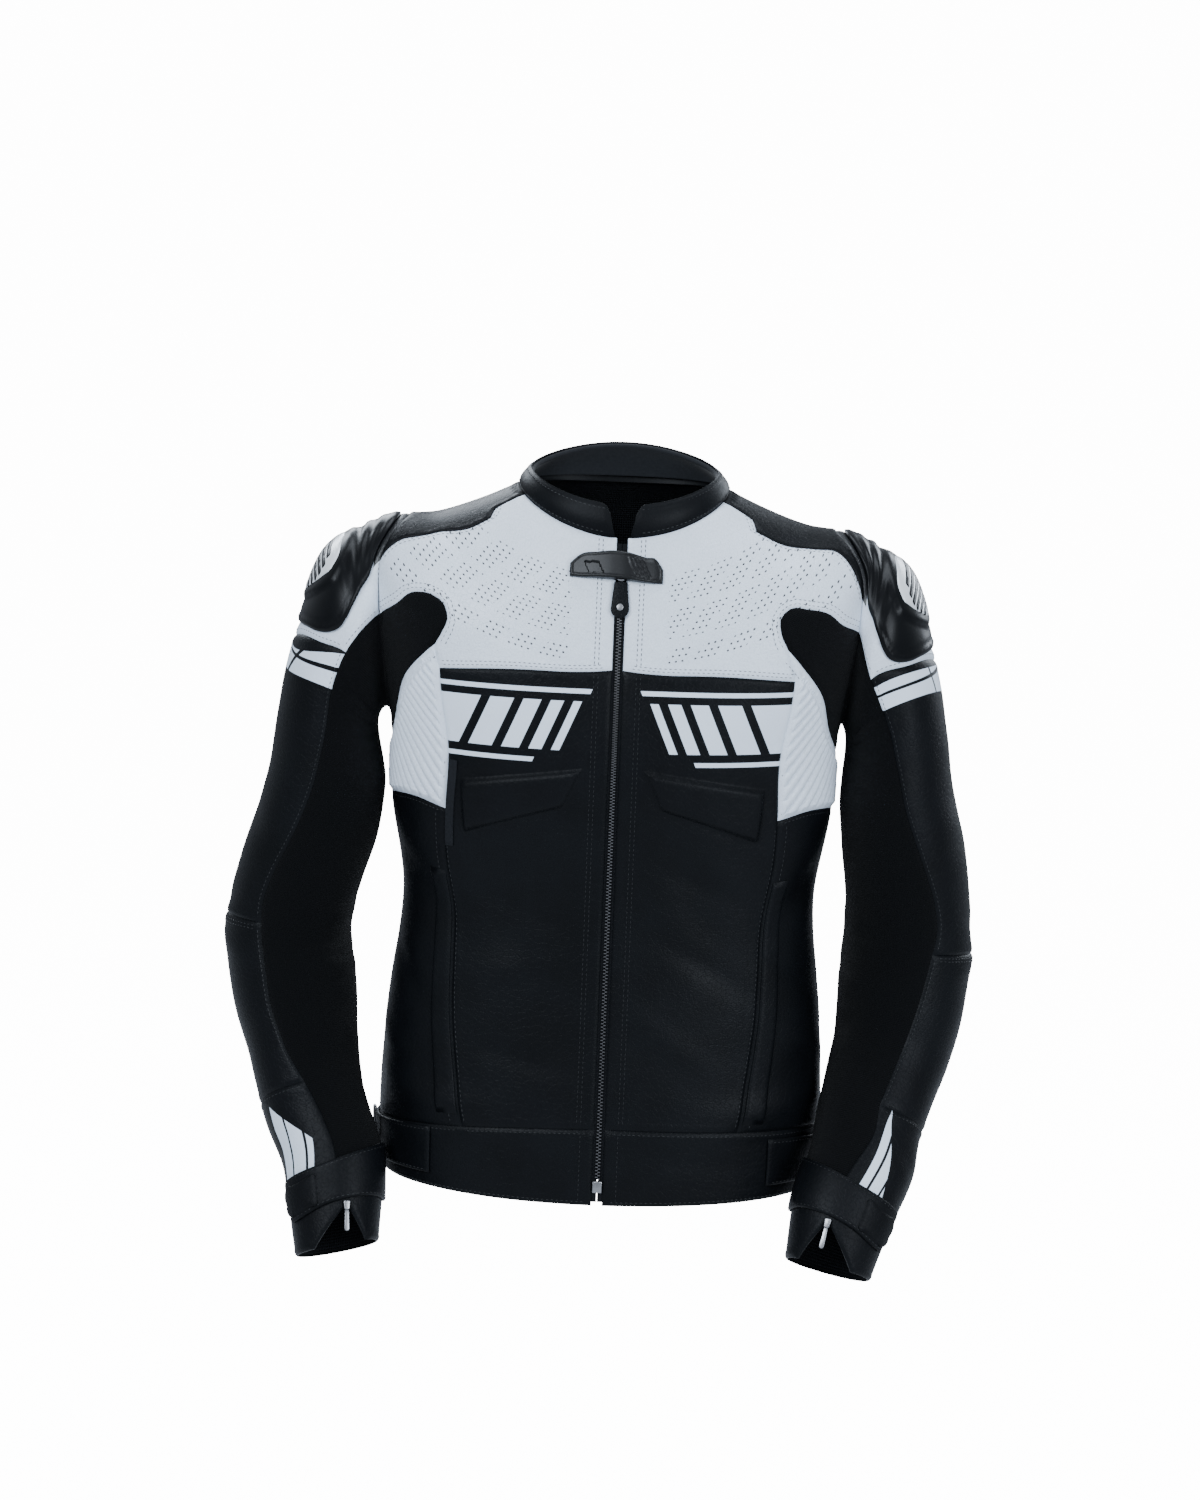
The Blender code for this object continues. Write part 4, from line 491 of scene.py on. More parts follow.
PLAIN_BODY = Surface(plain_body, (3.3, 1.0), 1, wrapped(BODY_FOLDS, 360.0))
BODY = Surface(plain_body, (3.3, 1.0), 1, wrapped(BODY_FOLDS + BODY_CREASES, 360.0))


def armhole(turn):
    """Point of the armhole oval: 0 at the top, 90 in front, 180 under the arm."""
    s, c = np.sin(np.radians(turn)), np.cos(np.radians(turn))
    angle = ARMHOLE["angle"] - np.where(s > 0, ARMHOLE["front"], ARMHOLE["back"]) * s
    return angle, ARMHOLE["down"] - ARMHOLE["height"] * c


def sleeve_ring(row, side, around):
    """A leaning squared oval: across along its leaning outer axis, depth along its nodding front."""
    x, y, z, across, depth, lean, nod = row
    lean, nod = math.radians(lean), math.radians(nod)
    _, ahead, aside = oval(around, SLEEVE_SQUARENESS)
    outer = np.array([side * math.cos(lean), 0, math.sin(lean)])
    front = np.array([-side * math.sin(nod) * math.sin(lean), -math.cos(nod),
                      math.sin(nod) * math.cos(lean)])
    return np.array([side * x, y, z]) + across * aside[:, None] * outer + depth * ahead[:, None] * front


def sleeve_surface(side):
    """At each angle, cubic pieces from the armhole through every ring of the sleeve."""
    rows = table(SHOULDER_RINGS[side] + ARM_RINGS[side])
    keys = np.concatenate([[0.0], rows[:, 0]])

    def place(around, along):
        shape = around.shape
        around, along = around.ravel(), along.ravel()
        turn = 90 - around
        angle, down = armhole(turn)
        start = BODY.place(side * angle, down) / MM
        within = BODY.place(side * (angle + (ARMHOLE["angle"] - angle) * 0.04),
                            down + (ARMHOLE["down"] - down) * 0.04) / MM
        points = np.concatenate([start[None], [sleeve_ring(row[1:], side, around) for row in rows]])
        slopes = mean_slopes(points, np.diff(keys)[:, None, None])
        leaving = within - start
        leaving = leaving / np.linalg.norm(leaving, axis=-1, keepdims=True)
        pull = smooth((np.cos(np.radians(turn)) - 0.05) / 0.8)[:, None]
        pace = np.linalg.norm(slopes[0], axis=-1, keepdims=True)
        slopes[0] = slopes[0] * (1 - pull) + leaving * pace * pull
        i, *parts = find_piece(keys, along)
        u, long, past = (part[:, None] for part in parts)
        j = np.arange(len(along))
        out = cubic(points[i, j], points[i + 1, j], slopes[i, j], slopes[i + 1, j], u, long, past)
        return (out * MM).reshape(shape + (3,))

    return Surface(place, (0.95, 1.0), side, wrapped(SLEEVE_FOLDS[side] + SLEEVE_CREASES[side], -360.0))


def collar_place(angle, height):
    """Straight from the neck seam (0) to the free edge (1), bulging outwards as a parabola."""
    base = BODY.place(angle, 0 * angle)
    top = COLLAR_TOP
    c, ahead, aside = oval(angle, BODY_SQUARENESS)
    y = np.where(c > 0, -top["front"], top["back"]) * np.abs(ahead)
    z = top["z_side"] + (np.where(c > 0, top["z_front"], top["z_back"]) - top["z_side"]) * c * c
    edge = np.stack([top["half_width"] * aside, y, z], -1) * MM
    out = np.stack([aside, np.where(c > 0, -1, 1) * np.abs(ahead), 0 * angle], -1)
    bulge = COLLAR_BULGE * MM * 4 * height * (1 - height)
    return base + (edge - base) * height[..., None] + bulge[..., None] * out


COLLAR = Surface(collar_place, (1.5, 32.0), -1)
ARMS = {side: sleeve_surface(side) for side in SIDES}


# ---- Outlines of the cut pieces ----

def straight(points, pitch, step):
    """The points of a broken line, with others between them about pitch apart."""
    points = [np.array(p, float) for p in points]
    out = [points[0]]
    for a, b in zip(points[:-1], points[1:]):
        long = np.hypot((b[0] - a[0]) * step[0], (b[1] - a[1]) * step[1])
        count = max(1, round(long / pitch))
        out += [a + (b - a) * k / count for k in range(1, count + 1)]
    return np.array(out)


def curved(points, pitch, step):
    """A smooth line through the points, divided about pitch apart."""
    points = np.array(points, float)
    legs = np.hypot(np.diff(points[:, 0]) * step[0], np.diff(points[:, 1]) * step[1])
    keys = np.concatenate([[0], np.cumsum(legs)])
    count = max(2, round(keys[-1] / pitch))
    return bend(keys, points, np.linspace(0, keys[-1], count + 1))


def ring_of(*seams):
    """One closed outline from seams that follow each other; shared ends are kept once."""
    return np.concatenate([seam[:-1] for seam in seams])


def back(seam):
    return seam[::-1]


def over_back(seam):
    """A left-hand seam counted on past the middle of the back."""
    return np.stack([360.0 - np.abs(seam[:, 0]), seam[:, 1]], -1)


def half_width(down):
    rings = table(BODY_RINGS)
    return bend(rings[:, 0], rings[:, 4:5], down)[..., 0]


def beside_zip(x, top, bottom, side=1, pitch=6.0):
    """A line at a constant distance x from the middle of the front."""
    down = np.linspace(top, bottom, max(2, round((bottom - top) / pitch)) + 1)
    return np.stack([side * np.degrees(x / half_width(down)), down], -1)


def body_seams(side, pitch):
    """Every seam of one half of the body, from end to end, as angle and mm down."""
    step = BODY.step

    def line(*points, step=step):
        return straight([(side * p[0], p[1]) for p in points], pitch, step)

    def bow(*points):
        return curved([(side * p[0], p[1]) for p in points], pitch, step)

    def hooked(turn):
        angle, down = armhole(turn)
        return (float(angle), float(down))

    def arc(start, end):
        count = max(2, round(abs(end - start) * 1.6 / pitch))
        angle, down = armhole(np.linspace(start, end, count + 1))
        return np.stack([side * angle, down], -1)

    def by_zip(down):
        return (float(np.degrees(ZIP_EDGE / half_width(down))), down)

    border = SHOULDER_BORDER[side] + (hooked(BORDER_ARMHOLE[side]),)
    sag = BAND_SAG[side]
    side_band = (SIDE_SEAM_ANGLE, BAND_DOWN + sag)
    front_corner = (FRONT_SEAM[-1][0], BAND_DOWN + sag * 0.4)
    side_hem = (SIDE_SEAM_ANGLE, HEM)
    return {
        "neck_step": line(by_zip(0.0), (COLLAR_GAP_BASE, 0)),
        "neck_front": line((COLLAR_GAP_BASE, 0), (67, 0), step=(1.7, 1)),
        "neck_back": line((67, 0), (180, 0), step=(1.6, 1)),
        "border": np.concatenate([line(*border[:3])[:-1], bow(*border[2:])]),
        "armhole_yoke": arc(BORDER_ARMHOLE[side], CAP_ARMHOLE),
        "armhole_top": arc(BORDER_ARMHOLE[side], BACK_YOKE_ARMHOLE),
        "armhole_back": arc(BACK_YOKE_ARMHOLE, STRETCH_ARMHOLE),
        "armhole_stretch": arc(CAP_ARMHOLE, 360 + STRETCH_ARMHOLE),
        "tongue_yoke": bow(hooked(CAP_ARMHOLE), *TONGUE_TO_YOKE[side]),
        "tongue_armpit": bow(*TONGUE_TO_ARMPIT[side]),
        "tongue_back": bow(*ARMPIT_TO_BACK, hooked(STRETCH_ARMHOLE)),
        "yoke_side": line(TONGUE_TO_ARMPIT[side][0], YOKE_CORNER),
        "yoke_seam": bow(YOKE_CORNER, YOKE_SEAM_MIDDLE, by_zip(YOKE_SEAM_ZIP)),
        "rib_front": line(YOKE_CORNER, RIB_FRONT_CORNER),
        "rib_bottom": bow(*RIB_BOTTOM),
        "front_seam": bow(*FRONT_SEAM[:-1], front_corner),
        "side_top": line(ARMPIT_TO_BACK[0], RIB_BOTTOM[-1]),
        "side_seam": line(RIB_BOTTOM[-1], side_band),
        "band_front": bow(by_zip(BAND_DOWN), (20, BAND_DOWN + sag * 0.15), front_corner),
        "band_side": line(front_corner, side_band),
        "band_back": bow(side_band, (130, BAND_DOWN + sag * 0.4), (180, BAND_DOWN)),
        "hem_front": line(by_zip(HEM), side_hem),
        "hem_side": line(side_band, side_hem),
        "hem_back": line(side_hem, (180, HEM)),
        "back_yoke": bow(hooked(BACK_YOKE_ARMHOLE), *BACK_YOKE_SEAM),
        "zip_yoke": beside_zip(ZIP_EDGE, 0, YOKE_SEAM_ZIP, side, pitch),
        "zip_front": beside_zip(ZIP_EDGE, YOKE_SEAM_ZIP, BAND_DOWN, side, pitch),
        "zip_hem": beside_zip(ZIP_EDGE, BAND_DOWN, HEM, side, pitch),
    }


def stretch_edge(side, along):
    """Angle of the stretch panel's front edge at a distance along the sleeve."""
    rows = np.array(STRETCH_EDGE, float)
    column = 1 if side < 0 else 2
    return bend(rows[:, 0], rows[:, column:column + 1], along)[..., 0]


def sleeve_seams(side, pitch):
    """Every seam of one sleeve, as angle round it and mm along it."""
    step = ARMS[side].step
    rear = 360 + STRETCH_BACK

    def edge(start, end):
        along = np.linspace(start, end, max(2, round((end - start) / pitch)) + 1)
        return np.stack([stretch_edge(side, along), along], -1)

    def rear_run(start, end):
        return straight([(rear, start), (rear, end)], pitch, step)

    def across(along):
        return straight([(float(stretch_edge(side, along)), along), (rear, along)], pitch, step)

    def hole(start, end):
        count = max(2, round(abs(end - start) * 1.6 / pitch))
        turn = np.linspace(start, end, count + 1)
        return np.stack([90 - turn, 0 * turn], -1)

    front = CAP_BOTTOM_FRONT[side]
    cap = [(float(stretch_edge(side, front)), front), *CAP_BOTTOM, (rear, CAP_BOTTOM_BACK)]
    cuff_front = float(stretch_edge(side, CUFF_SEAM))
    return {
        "armhole_yoke": hole(BORDER_ARMHOLE[side], CAP_ARMHOLE),
        "armhole_top": hole(BORDER_ARMHOLE[side], BACK_YOKE_ARMHOLE),
        "armhole_back": hole(BACK_YOKE_ARMHOLE, STRETCH_ARMHOLE),
        "armhole_stretch": hole(CAP_ARMHOLE, 360 + STRETCH_ARMHOLE),
        "edge_cap": edge(0, front),
        "edge_upper": edge(front, ELBOW_SEAM),
        "edge_fore": edge(ELBOW_SEAM, CUFF_PANEL_SEAM),
        "edge_cuff": edge(CUFF_PANEL_SEAM, CUFF_SEAM),
        "back_cap": rear_run(0, CAP_BOTTOM_BACK),
        "back_upper": rear_run(CAP_BOTTOM_BACK, ELBOW_SEAM),
        "back_fore": rear_run(ELBOW_SEAM, CUFF_PANEL_SEAM),
        "back_cuff": rear_run(CUFF_PANEL_SEAM, CUFF_SEAM),
        "cap_bottom": curved(cap, pitch, step),
        "elbow": across(ELBOW_SEAM),
        "cuff_panel": across(CUFF_PANEL_SEAM),
        "cuff_outer": across(CUFF_SEAM),
        "cuff_inner": straight([(STRETCH_BACK, CUFF_SEAM), (cuff_front, CUFF_SEAM)], pitch, step),
    }


# ---- Skins: outlines filled with fine triangles ----

def inside(points, outline):
    """Which points lie inside a closed outline, by counting the edges to one side of each."""
    x, y = points[:, None, 0], points[:, None, 1]
    a, b = outline[None], np.roll(outline, -1, axis=0)[None]
    crosses = (a[..., 1] > y) != (b[..., 1] > y)
    rise = np.where(b[..., 1] == a[..., 1], 1.0, b[..., 1] - a[..., 1])
    meet = a[..., 0] + (y - a[..., 1]) / rise * (b[..., 0] - a[..., 0])
    return (crosses & (x < meet)).sum(1) % 2 == 1


def distance(points, starts, ends):
    """Shortest distance from each point to any of the segments."""
    run = ends - starts
    size = np.maximum((run * run).sum(-1), 1e-9)
    out = np.empty(len(points))
    for part in np.array_split(np.arange(len(points)), len(points) // 2000 + 1):
        t = ((points[part, None] - starts) * run).sum(-1) / size
        nearest = starts + np.clip(t, 0, 1)[..., None] * run
        out[part] = np.linalg.norm(points[part, None] - nearest, axis=-1).min(1)
    return out


def inset(outline, by):
    """Points drawn in from a closed outline by a distance, without those that come nearer to it."""
    before, after = np.roll(outline, 1, axis=0), np.roll(outline, -1, axis=0)
    run = after - before
    run /= np.maximum(np.linalg.norm(run, axis=1), 1e-9)[:, None]
    area = (outline[:, 0] * after[:, 1] - after[:, 0] * outline[:, 1]).sum()
    left = np.stack([-run[:, 1], run[:, 0]], -1) * np.sign(area)
    points = outline + left * by
    keep = inside(points, outline) & (distance(points, outline, after) > by * 0.93)
    return points[keep]


def fill(outline, pitch, step, rims=(1.4, 4.0), extra=None):
    """Triangles over an outline: its own points, rows drawn in from it, a grid and extra points."""
    flat = outline * step
    rows = [inset(flat, by) for by in rims]
    low, high = flat.min(0), flat.max(0)
    ys = np.arange(low[1] + pitch * 0.5, high[1], pitch * 0.87)
    xs = np.arange(low[0] - pitch, high[0] + pitch, pitch)
    grid = np.stack(np.meshgrid(xs, ys), -1)
    grid[1::2, :, 0] += pitch / 2
    grid = grid.reshape(-1, 2)
    grid = grid[inside(grid, flat)]
    keep = distance(grid, flat, np.roll(flat, -1, axis=0)) > max(rims) + pitch * 0.45
    if extra is not None:
        keep &= distance(grid, extra, extra) > 2.2
        rows.append(extra)
    points = np.concatenate([flat] + rows + [grid[keep]])
    result = delaunay_2d_cdt([Vector(p) for p in points], [], [list(range(len(flat)))], 1, 1e-5)
    made = np.array([tuple(p) for p in result[0]])
    source = np.array([s[0] if s else -1 for s in result[3]])
    made[source >= 0] = points[source[source >= 0]]
    faces = np.array([tuple(face) for face in result[2]], int)
    a, b, c = made[faces[:, 0]], made[faces[:, 1]], made[faces[:, 2]]
    clockwise = (b - a)[:, 0] * (c - a)[:, 1] < (b - a)[:, 1] * (c - a)[:, 0]
    return made / step, np.where(clockwise[:, None], faces[:, ::-1], faces)


def on_surface(surface, uv, faces):
    """Points and normals of a filled outline on its surface, with the triangles turned outwards."""
    points, normals = surface.place(uv[:, 0], uv[:, 1]), surface.normal(uv[:, 0], uv[:, 1])
    a, b, c = (points[faces[:, k]] for k in range(3))
    looks = (np.cross(b - a, c - a) * normals[faces[:, 0]]).sum()
    return points, normals, faces if looks >= 0 else faces[:, ::-1]


def sheet_area(points, faces):
    a, b, c = (points[faces[:, k]] for k in range(3))
    return float(np.linalg.norm(np.cross(b - a, c - a), axis=-1).sum() / 2)


def shell(outer, inner, faces):
    """A closed wall between two like sheets: the outside, the inside and the edge between them."""
    count = len(outer)
    a, b = rim_edges(faces, count)
    sides = np.concatenate([np.stack([b, a, count + a], -1), np.stack([b, count + a, count + b], -1)])
    return np.concatenate([outer, inner]), np.concatenate([faces, faces[:, ::-1] + count, sides])


def undulation(points):
    """Soft unevenness of worn leather (mm): a sum of crossed sine waves in space."""
    x, y, z = points[..., 0] / MM, points[..., 1] / MM, points[..., 2] / MM
    broad = np.sin(x / 27 + 0.6 * np.sin(z / 41)) * np.sin(z / 33 + y / 38 + 0.8 * np.sin(x / 52))
    fine = np.sin(x / 11 - z / 17 + 1.3) * np.sin(z / 12 + y / 14 + 0.7)
    return 0.42 * broad + 0.14 * fine


def seam_profile(away):
    """Height beside a seam (mm): down into the seam, then a low roll where the edge is turned."""
    return -1.15 * bell(away, 0, 1.1) + 0.5 * bell(away, 3.6, 2.0)


class Skin:
    """A cut piece gathered from one or more regions, before it has a thickness."""

    def __init__(self):
        self.points, self.normals, self.heights, self.uv, self.faces, self.count = [], [], [], [], [], 0

    def add(self, surface, outline, pitch, height=None, edges=None, chart=None, seam=1.0, extra=None):
        """Fill an outline; edges are the seams that count for the seam's profile (all, if None)."""
        uv, faces = fill(outline, pitch, surface.step, extra=extra)
        points, normals, faces = on_surface(surface, uv, faces)
        lines = [np.concatenate([outline, outline[:1]])] if edges is None else edges
        starts = np.concatenate([line[:-1] for line in lines]) * surface.step
        ends = np.concatenate([line[1:] for line in lines]) * surface.step
        away = distance(uv * surface.step, starts, ends)
        lift = undulation(points) + seam * seam_profile(away)
        if height is not None:
            lift = lift + height(uv, away)
        flat = uv * surface.step * MM if chart is None else chart(uv)
        for store, part in ((self.points, points), (self.normals, normals), (self.heights, lift),
                            (self.uv, flat), (self.faces, faces + self.count)):
            store.append(part)
        self.count += len(points)
        return self

    def soften(self, line, reach, rounds=30):
        """Even out the welded points near a line in space, so that no crease stays there."""
        a, b = rim_edges(self.faces, len(self.points))
        weight = np.zeros(len(self.points))
        near = distance(self.points, line[:-1], line[1:])
        weight[:] = np.clip(1.4 - near / reach, 0, 1) * 0.5
        weight[np.concatenate([a, b])] = 0
        first = np.concatenate([self.faces[:, k] for k in (0, 1, 2)])
        second = np.concatenate([self.faces[:, k] for k in (1, 2, 0)])
        count = np.maximum(np.bincount(first, minlength=len(self.points)), 1)[:, None]
        for _ in range(rounds):
            for values in (self.points, self.normals):
                total = np.zeros_like(values)
                np.add.at(total, first, values[second])
                values += (total / count - values) * weight[:, None]
        self.normals /= np.linalg.norm(self.normals, axis=-1, keepdims=True)
        return self

    def weld(self):
        """Points in the same place become one, with directions and heights averaged."""
        if isinstance(self.points, np.ndarray):
            return self
        points = np.concatenate(self.points)
        keys = np.round(points / 1e-5 + 0.37).astype(np.int64)
        _, first, index = np.unique(keys, axis=0, return_index=True, return_inverse=True)
        index = index.ravel()
        normals = np.zeros((len(first), 3))
        np.add.at(normals, index, np.concatenate(self.normals))
        heights = np.zeros(len(first))
        np.maximum.at(heights, index, np.concatenate(self.heights) + 100)
        self.points = points[first]
        self.normals = normals / np.linalg.norm(normals, axis=-1, keepdims=True)
        self.heights = heights - 100
        self.uv = np.concatenate(self.uv)[first]
        self.faces = index[np.concatenate(self.faces)]
        return self


def rim_edges(faces, count):
    """The directed edges that only one triangle has."""
    a = np.concatenate([faces[:, 0], faces[:, 1], faces[:, 2]])
    b = np.concatenate([faces[:, 1], faces[:, 2], faces[:, 0]])
    alone = ~np.isin(a * count + b, b * count + a)
    return a[alone], b[alone]


def mesh_object(name, points, faces, uv=None, slots=None, sharp=40, body=ROOT):
    """A mesh object at the origin from arrays of points and triangles."""
    mesh = bpy.data.meshes.new(name)
    mesh.vertices.add(len(points))
    mesh.vertices.foreach_set("co", np.asarray(points, np.float32).ravel())
    faces = np.asarray(faces, np.int32)
    mesh.loops.add(faces.size)
    mesh.loops.foreach_set("vertex_index", faces.ravel())
    mesh.polygons.add(len(faces))
    mesh.polygons.foreach_set("loop_start", np.arange(len(faces), dtype=np.int32) * faces.shape[1])
    if slots is not None:
        mesh.polygons.foreach_set("material_index", np.asarray(slots, np.int32))
    mesh.update(calc_edges=True)
    if uv is not None:
        layer = mesh.uv_layers.new(name="surface")
        layer.data.foreach_set("uv", np.asarray(uv, np.float32)[faces.ravel()].ravel())
    mesh.validate()
    mesh.shade_smooth()
    mesh.set_sharp_from_angle(angle=math.radians(sharp))
    obj = bpy.data.objects.new(name, mesh)
    bpy.context.scene.collection.objects.link(obj)
    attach(obj, body)
    return obj


def skin_object(node_name, skin, thick, outside):
    """Closed skin over its solid: outer points moved by their heights, plain inner points, and the edge."""
    skin.weld()
    outer = skin.points + (skin.heights * MM)[:, None] * skin.normals
    inner = skin.points + (np.minimum(skin.heights, 0.4) * MM - thick)[:, None] * skin.normals
    points, faces = shell(outer, inner, skin.faces)
    slots = np.zeros(len(faces))
    slots[len(skin.faces):2 * len(skin.faces)] = 1
    obj = mesh_object(f"{node_name}_skin", points, faces, np.concatenate([skin.uv, skin.uv]), slots)
    for finish in (outside, "mesh lining"):
        obj.data.materials.append(material(finish))
    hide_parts(node_name)
    area = sheet_area(outer, skin.faces)
    wide, long = (float(x) for x in skin.uv.max(0) - skin.uv.min(0))
    wide = min(max(wide, area / long * 1.02), area / long / 0.35)
    return obj


# ---- Stitches, cords of thread and small repeated shapes ----

def walk(surface, line, lift, spacing):
    """Points, directions and normals every spacing along a line on a surface."""
    points = surface.place(line[:, 0], line[:, 1])
    legs = np.linalg.norm(np.diff(points, axis=0), axis=-1)
    keys = np.concatenate([[0], np.cumsum(legs)])
    at = np.arange(spacing * 0.5, keys[-1], spacing)
    uv = np.stack([np.interp(at, keys, line[:, k]) for k in (0, 1)], -1)
    ahead = np.stack([np.interp(at + 0.0005, keys, line[:, k]) for k in (0, 1)], -1)
    behind = np.stack([np.interp(at - 0.0005, keys, line[:, k]) for k in (0, 1)], -1)
    p = surface.place(uv[:, 0], uv[:, 1])
    n = surface.normal(uv[:, 0], uv[:, 1])
    t = surface.place(ahead[:, 0], ahead[:, 1]) - surface.place(behind[:, 0], behind[:, 1])
    t -= (t * n).sum(-1, keepdims=True) * n
    t /= np.maximum(np.linalg.norm(t, axis=-1, keepdims=True), 1e-12)
    p = p + ((undulation(p) + lift) * MM)[:, None] * n
    return p, t, n


def beside(line, by, step):
    """The line moved sideways by a distance (to its left for a positive one)."""
    flat = line * step
    run = np.gradient(flat, axis=0)
    run /= np.maximum(np.linalg.norm(run, axis=1), 1e-9)[:, None]
    return (flat + np.stack([-run[:, 1], run[:, 0]], -1) * by) / step


class Thread:
    """Stitches of one colour, gathered row by row."""

    def __init__(self):
        self.rows = []

    def row(self, surface, line, by, lift=0.3):
        sizes = bpy.context.scene.jacket_sizes
        line = beside(line, by, surface.step) if by else line
        self.rows.append(walk(surface, line, lift, sizes.stitch))

    def build(self, name, finish):
        """Each stitch is a stretched eight-sided double pyramid."""
        sizes = bpy.context.scene.jacket_sizes
        p, t, n = (np.concatenate(part) for part in zip(*self.rows))
        side = np.cross(n, t)
        half, thick = sizes.stitch * 0.37, sizes.thread / 2
        corners = np.stack([p + t * half, p - t * half, p + side * thick, p - side * thick,
                            p + n * thick, p - n * thick * 1.2], 1)
        faces = np.array([(0, 2, 4), (2, 1, 4), (1, 3, 4), (3, 0, 4),
                          (2, 0, 5), (1, 2, 5), (3, 1, 5), (0, 3, 5)])
        faces = (faces[None] + 6 * np.arange(len(p))[:, None, None]).reshape(-1, 3)
        obj = mesh_object(name, corners.reshape(-1, 3), faces, sharp=80)
        obj.data.materials.append(material(finish))


# ---- Materials ----

def join(tree, value, socket):
    """Link a socket, or set a plain value."""
    if isinstance(value, bpy.types.NodeSocket):
        tree.links.new(value, socket)
    else:
        socket.default_value = value


def node(tree, kind, inputs=(), **settings):
    made = tree.nodes.new(f"ShaderNode{kind}")
    for key, value in settings.items():
        setattr(made, key, value)
    for key, value in dict(inputs).items():
        join(tree, value, made.inputs[key])
    return made


def calc(tree, operation, *values):
    """A Math node's result."""
    made = node(tree, "Math", operation=operation)
    for k, value in enumerate(values):
        join(tree, value, made.inputs[k])
    return made.outputs[0]


def times(tree, a, b):
    return calc(tree, "MULTIPLY", a, b)


def plus(tree, a, b):
    return calc(tree, "ADD", a, b)


def less(tree, a, b):
    return calc(tree, "SUBTRACT", a, b)


def object_place(tree):
    """Where a point lies in the jacket's frame, in metres."""
    return node(tree, "TexCoord").outputs["Object"]


def own_chart(tree):
    """A piece's own two coordinates as laid flat, in metres."""
    return node(tree, "SeparateXYZ", {"Vector": node(tree, "TexCoord").outputs["UV"]}).outputs


def ramp(tree, value, start, end, low=0.0, high=1.0):
    """A smooth step of a value from start to end."""
    made = node(tree, "MapRange", {"Value": value, "From Min": start, "From Max": end,
                                   "To Min": low, "To Max": high}, interpolation_type="SMOOTHSTEP")
    return made.outputs["Result"]


def between(tree, value, low, high, soft=0.0003):
    """A mask that is 1 where low < value < high."""
    return times(tree, ramp(tree, value, low - soft, low + soft),
                ramp(tree, value, high - soft, high + soft, 1.0, 0.0))


def blend_colour(tree, mask, first, second):
    made = node(tree, "Mix", data_type="RGBA")
    join(tree, mask, made.inputs["Factor"])
    for value, socket in ((first, made.inputs[6]), (second, made.inputs[7])):
        join(tree, value, socket)
    return made.outputs[2]


def any_of(tree, masks):
    total = masks[0]
    for mask in masks[1:]:
        total = calc(tree, "MAXIMUM", total, mask)
    return total


def effect_group(name, inputs, outputs):
    """An empty node group with number inputs and named outputs."""
    group = bpy.data.node_groups.new(name, "ShaderNodeTree")
    for label, default in inputs:
        socket = group.interface.new_socket(label, in_out="INPUT", socket_type="NodeSocketFloat")
        socket.default_value = default
    for label in outputs:
        group.interface.new_socket(label, in_out="OUTPUT", socket_type="NodeSocketFloat")
    return group, group.nodes.new("NodeGroupInput"), group.nodes.new("NodeGroupOutput")


def leather_grain():
    """Pebbled cells about a millimetre wide, crossed by fine creases, with a broad mottle."""
    name = "leather_grain"
    if name in bpy.data.node_groups:
        return bpy.data.node_groups[name]
    group, given, out = effect_group(name, [("Cells per metre", 850.0), ("Crease", 0.5)],
                                     ["Height", "Mottle", "Pits"])
    place = node(group, "TexCoord").outputs["Object"]
    cells = node(group, "TexVoronoi", {"Vector": place, "Scale": given.outputs[0]}, feature="SMOOTH_F1")
    warp = node(group, "TexNoise", {"Vector": place, "Scale": 160.0, "Detail": 3.0})
    lines = node(group, "TexVoronoi", {"Vector": calc_vector(group, place, warp.outputs["Color"], 0.004),
                                       "Scale": 190.0}, feature="DISTANCE_TO_EDGE")
    crease = ramp(group, lines.outputs["Distance"], 0.0, 0.09, -1.0, 0.0)
    broad = node(group, "TexNoise", {"Vector": place, "Scale": 16.0, "Detail": 4.0, "Roughness": 0.6})
    pebble = calc(group, "SUBTRACT", 0.5, cells.outputs["Distance"])
    height = calc(group, "ADD", pebble, calc(group, "MULTIPLY", crease, given.outputs[1]))
    join(group, height, out.inputs["Height"])
    join(group, ramp(group, broad.outputs["Fac"], 0.3, 0.7), out.inputs["Mottle"])
    join(group, ramp(group, cells.outputs["Distance"], 0.25, 0.7), out.inputs["Pits"])
    return group


def calc_vector(tree, place, colour, strength):
    """A place moved by a noise colour."""
    moved = node(tree, "VectorMath", operation="MULTIPLY_ADD")
    join(tree, colour, moved.inputs[0])
    moved.inputs[1].default_value = (strength,) * 3
    join(tree, place, moved.inputs[2])
    return moved.outputs[0]


def knit_weave():
    """Fine knitted ribs along the cloth, crossed by shorter loops, in the piece's own coordinates."""
    name = "knit_weave"
    if name in bpy.data.node_groups:
        return bpy.data.node_groups[name]
    group, given, out = effect_group(name, [("Ribs per metre", 900.0)], ["Height", "Fluff"])
    uv = node(group, "SeparateXYZ", {"Vector": node(group, "TexCoord").outputs["UV"]})
    turns = calc(group, "MULTIPLY", given.outputs[0], 2 * math.pi)
    ribs = calc(group, "SINE", calc(group, "MULTIPLY", uv.outputs[0], turns))
    loops = calc(group, "SINE", calc(group, "MULTIPLY", uv.outputs[1], calc(group, "MULTIPLY", turns, 0.8)))
    place = node(group, "TexCoord").outputs["Object"]
    fluff = node(group, "TexNoise", {"Vector": place, "Scale": 420.0, "Detail": 3.0})
    join(group, calc(group, "ADD", ribs, calc(group, "MULTIPLY", loops, 0.6)), out.inputs["Height"])
    join(group, fluff.outputs["Fac"], out.inputs["Fluff"])
    return group


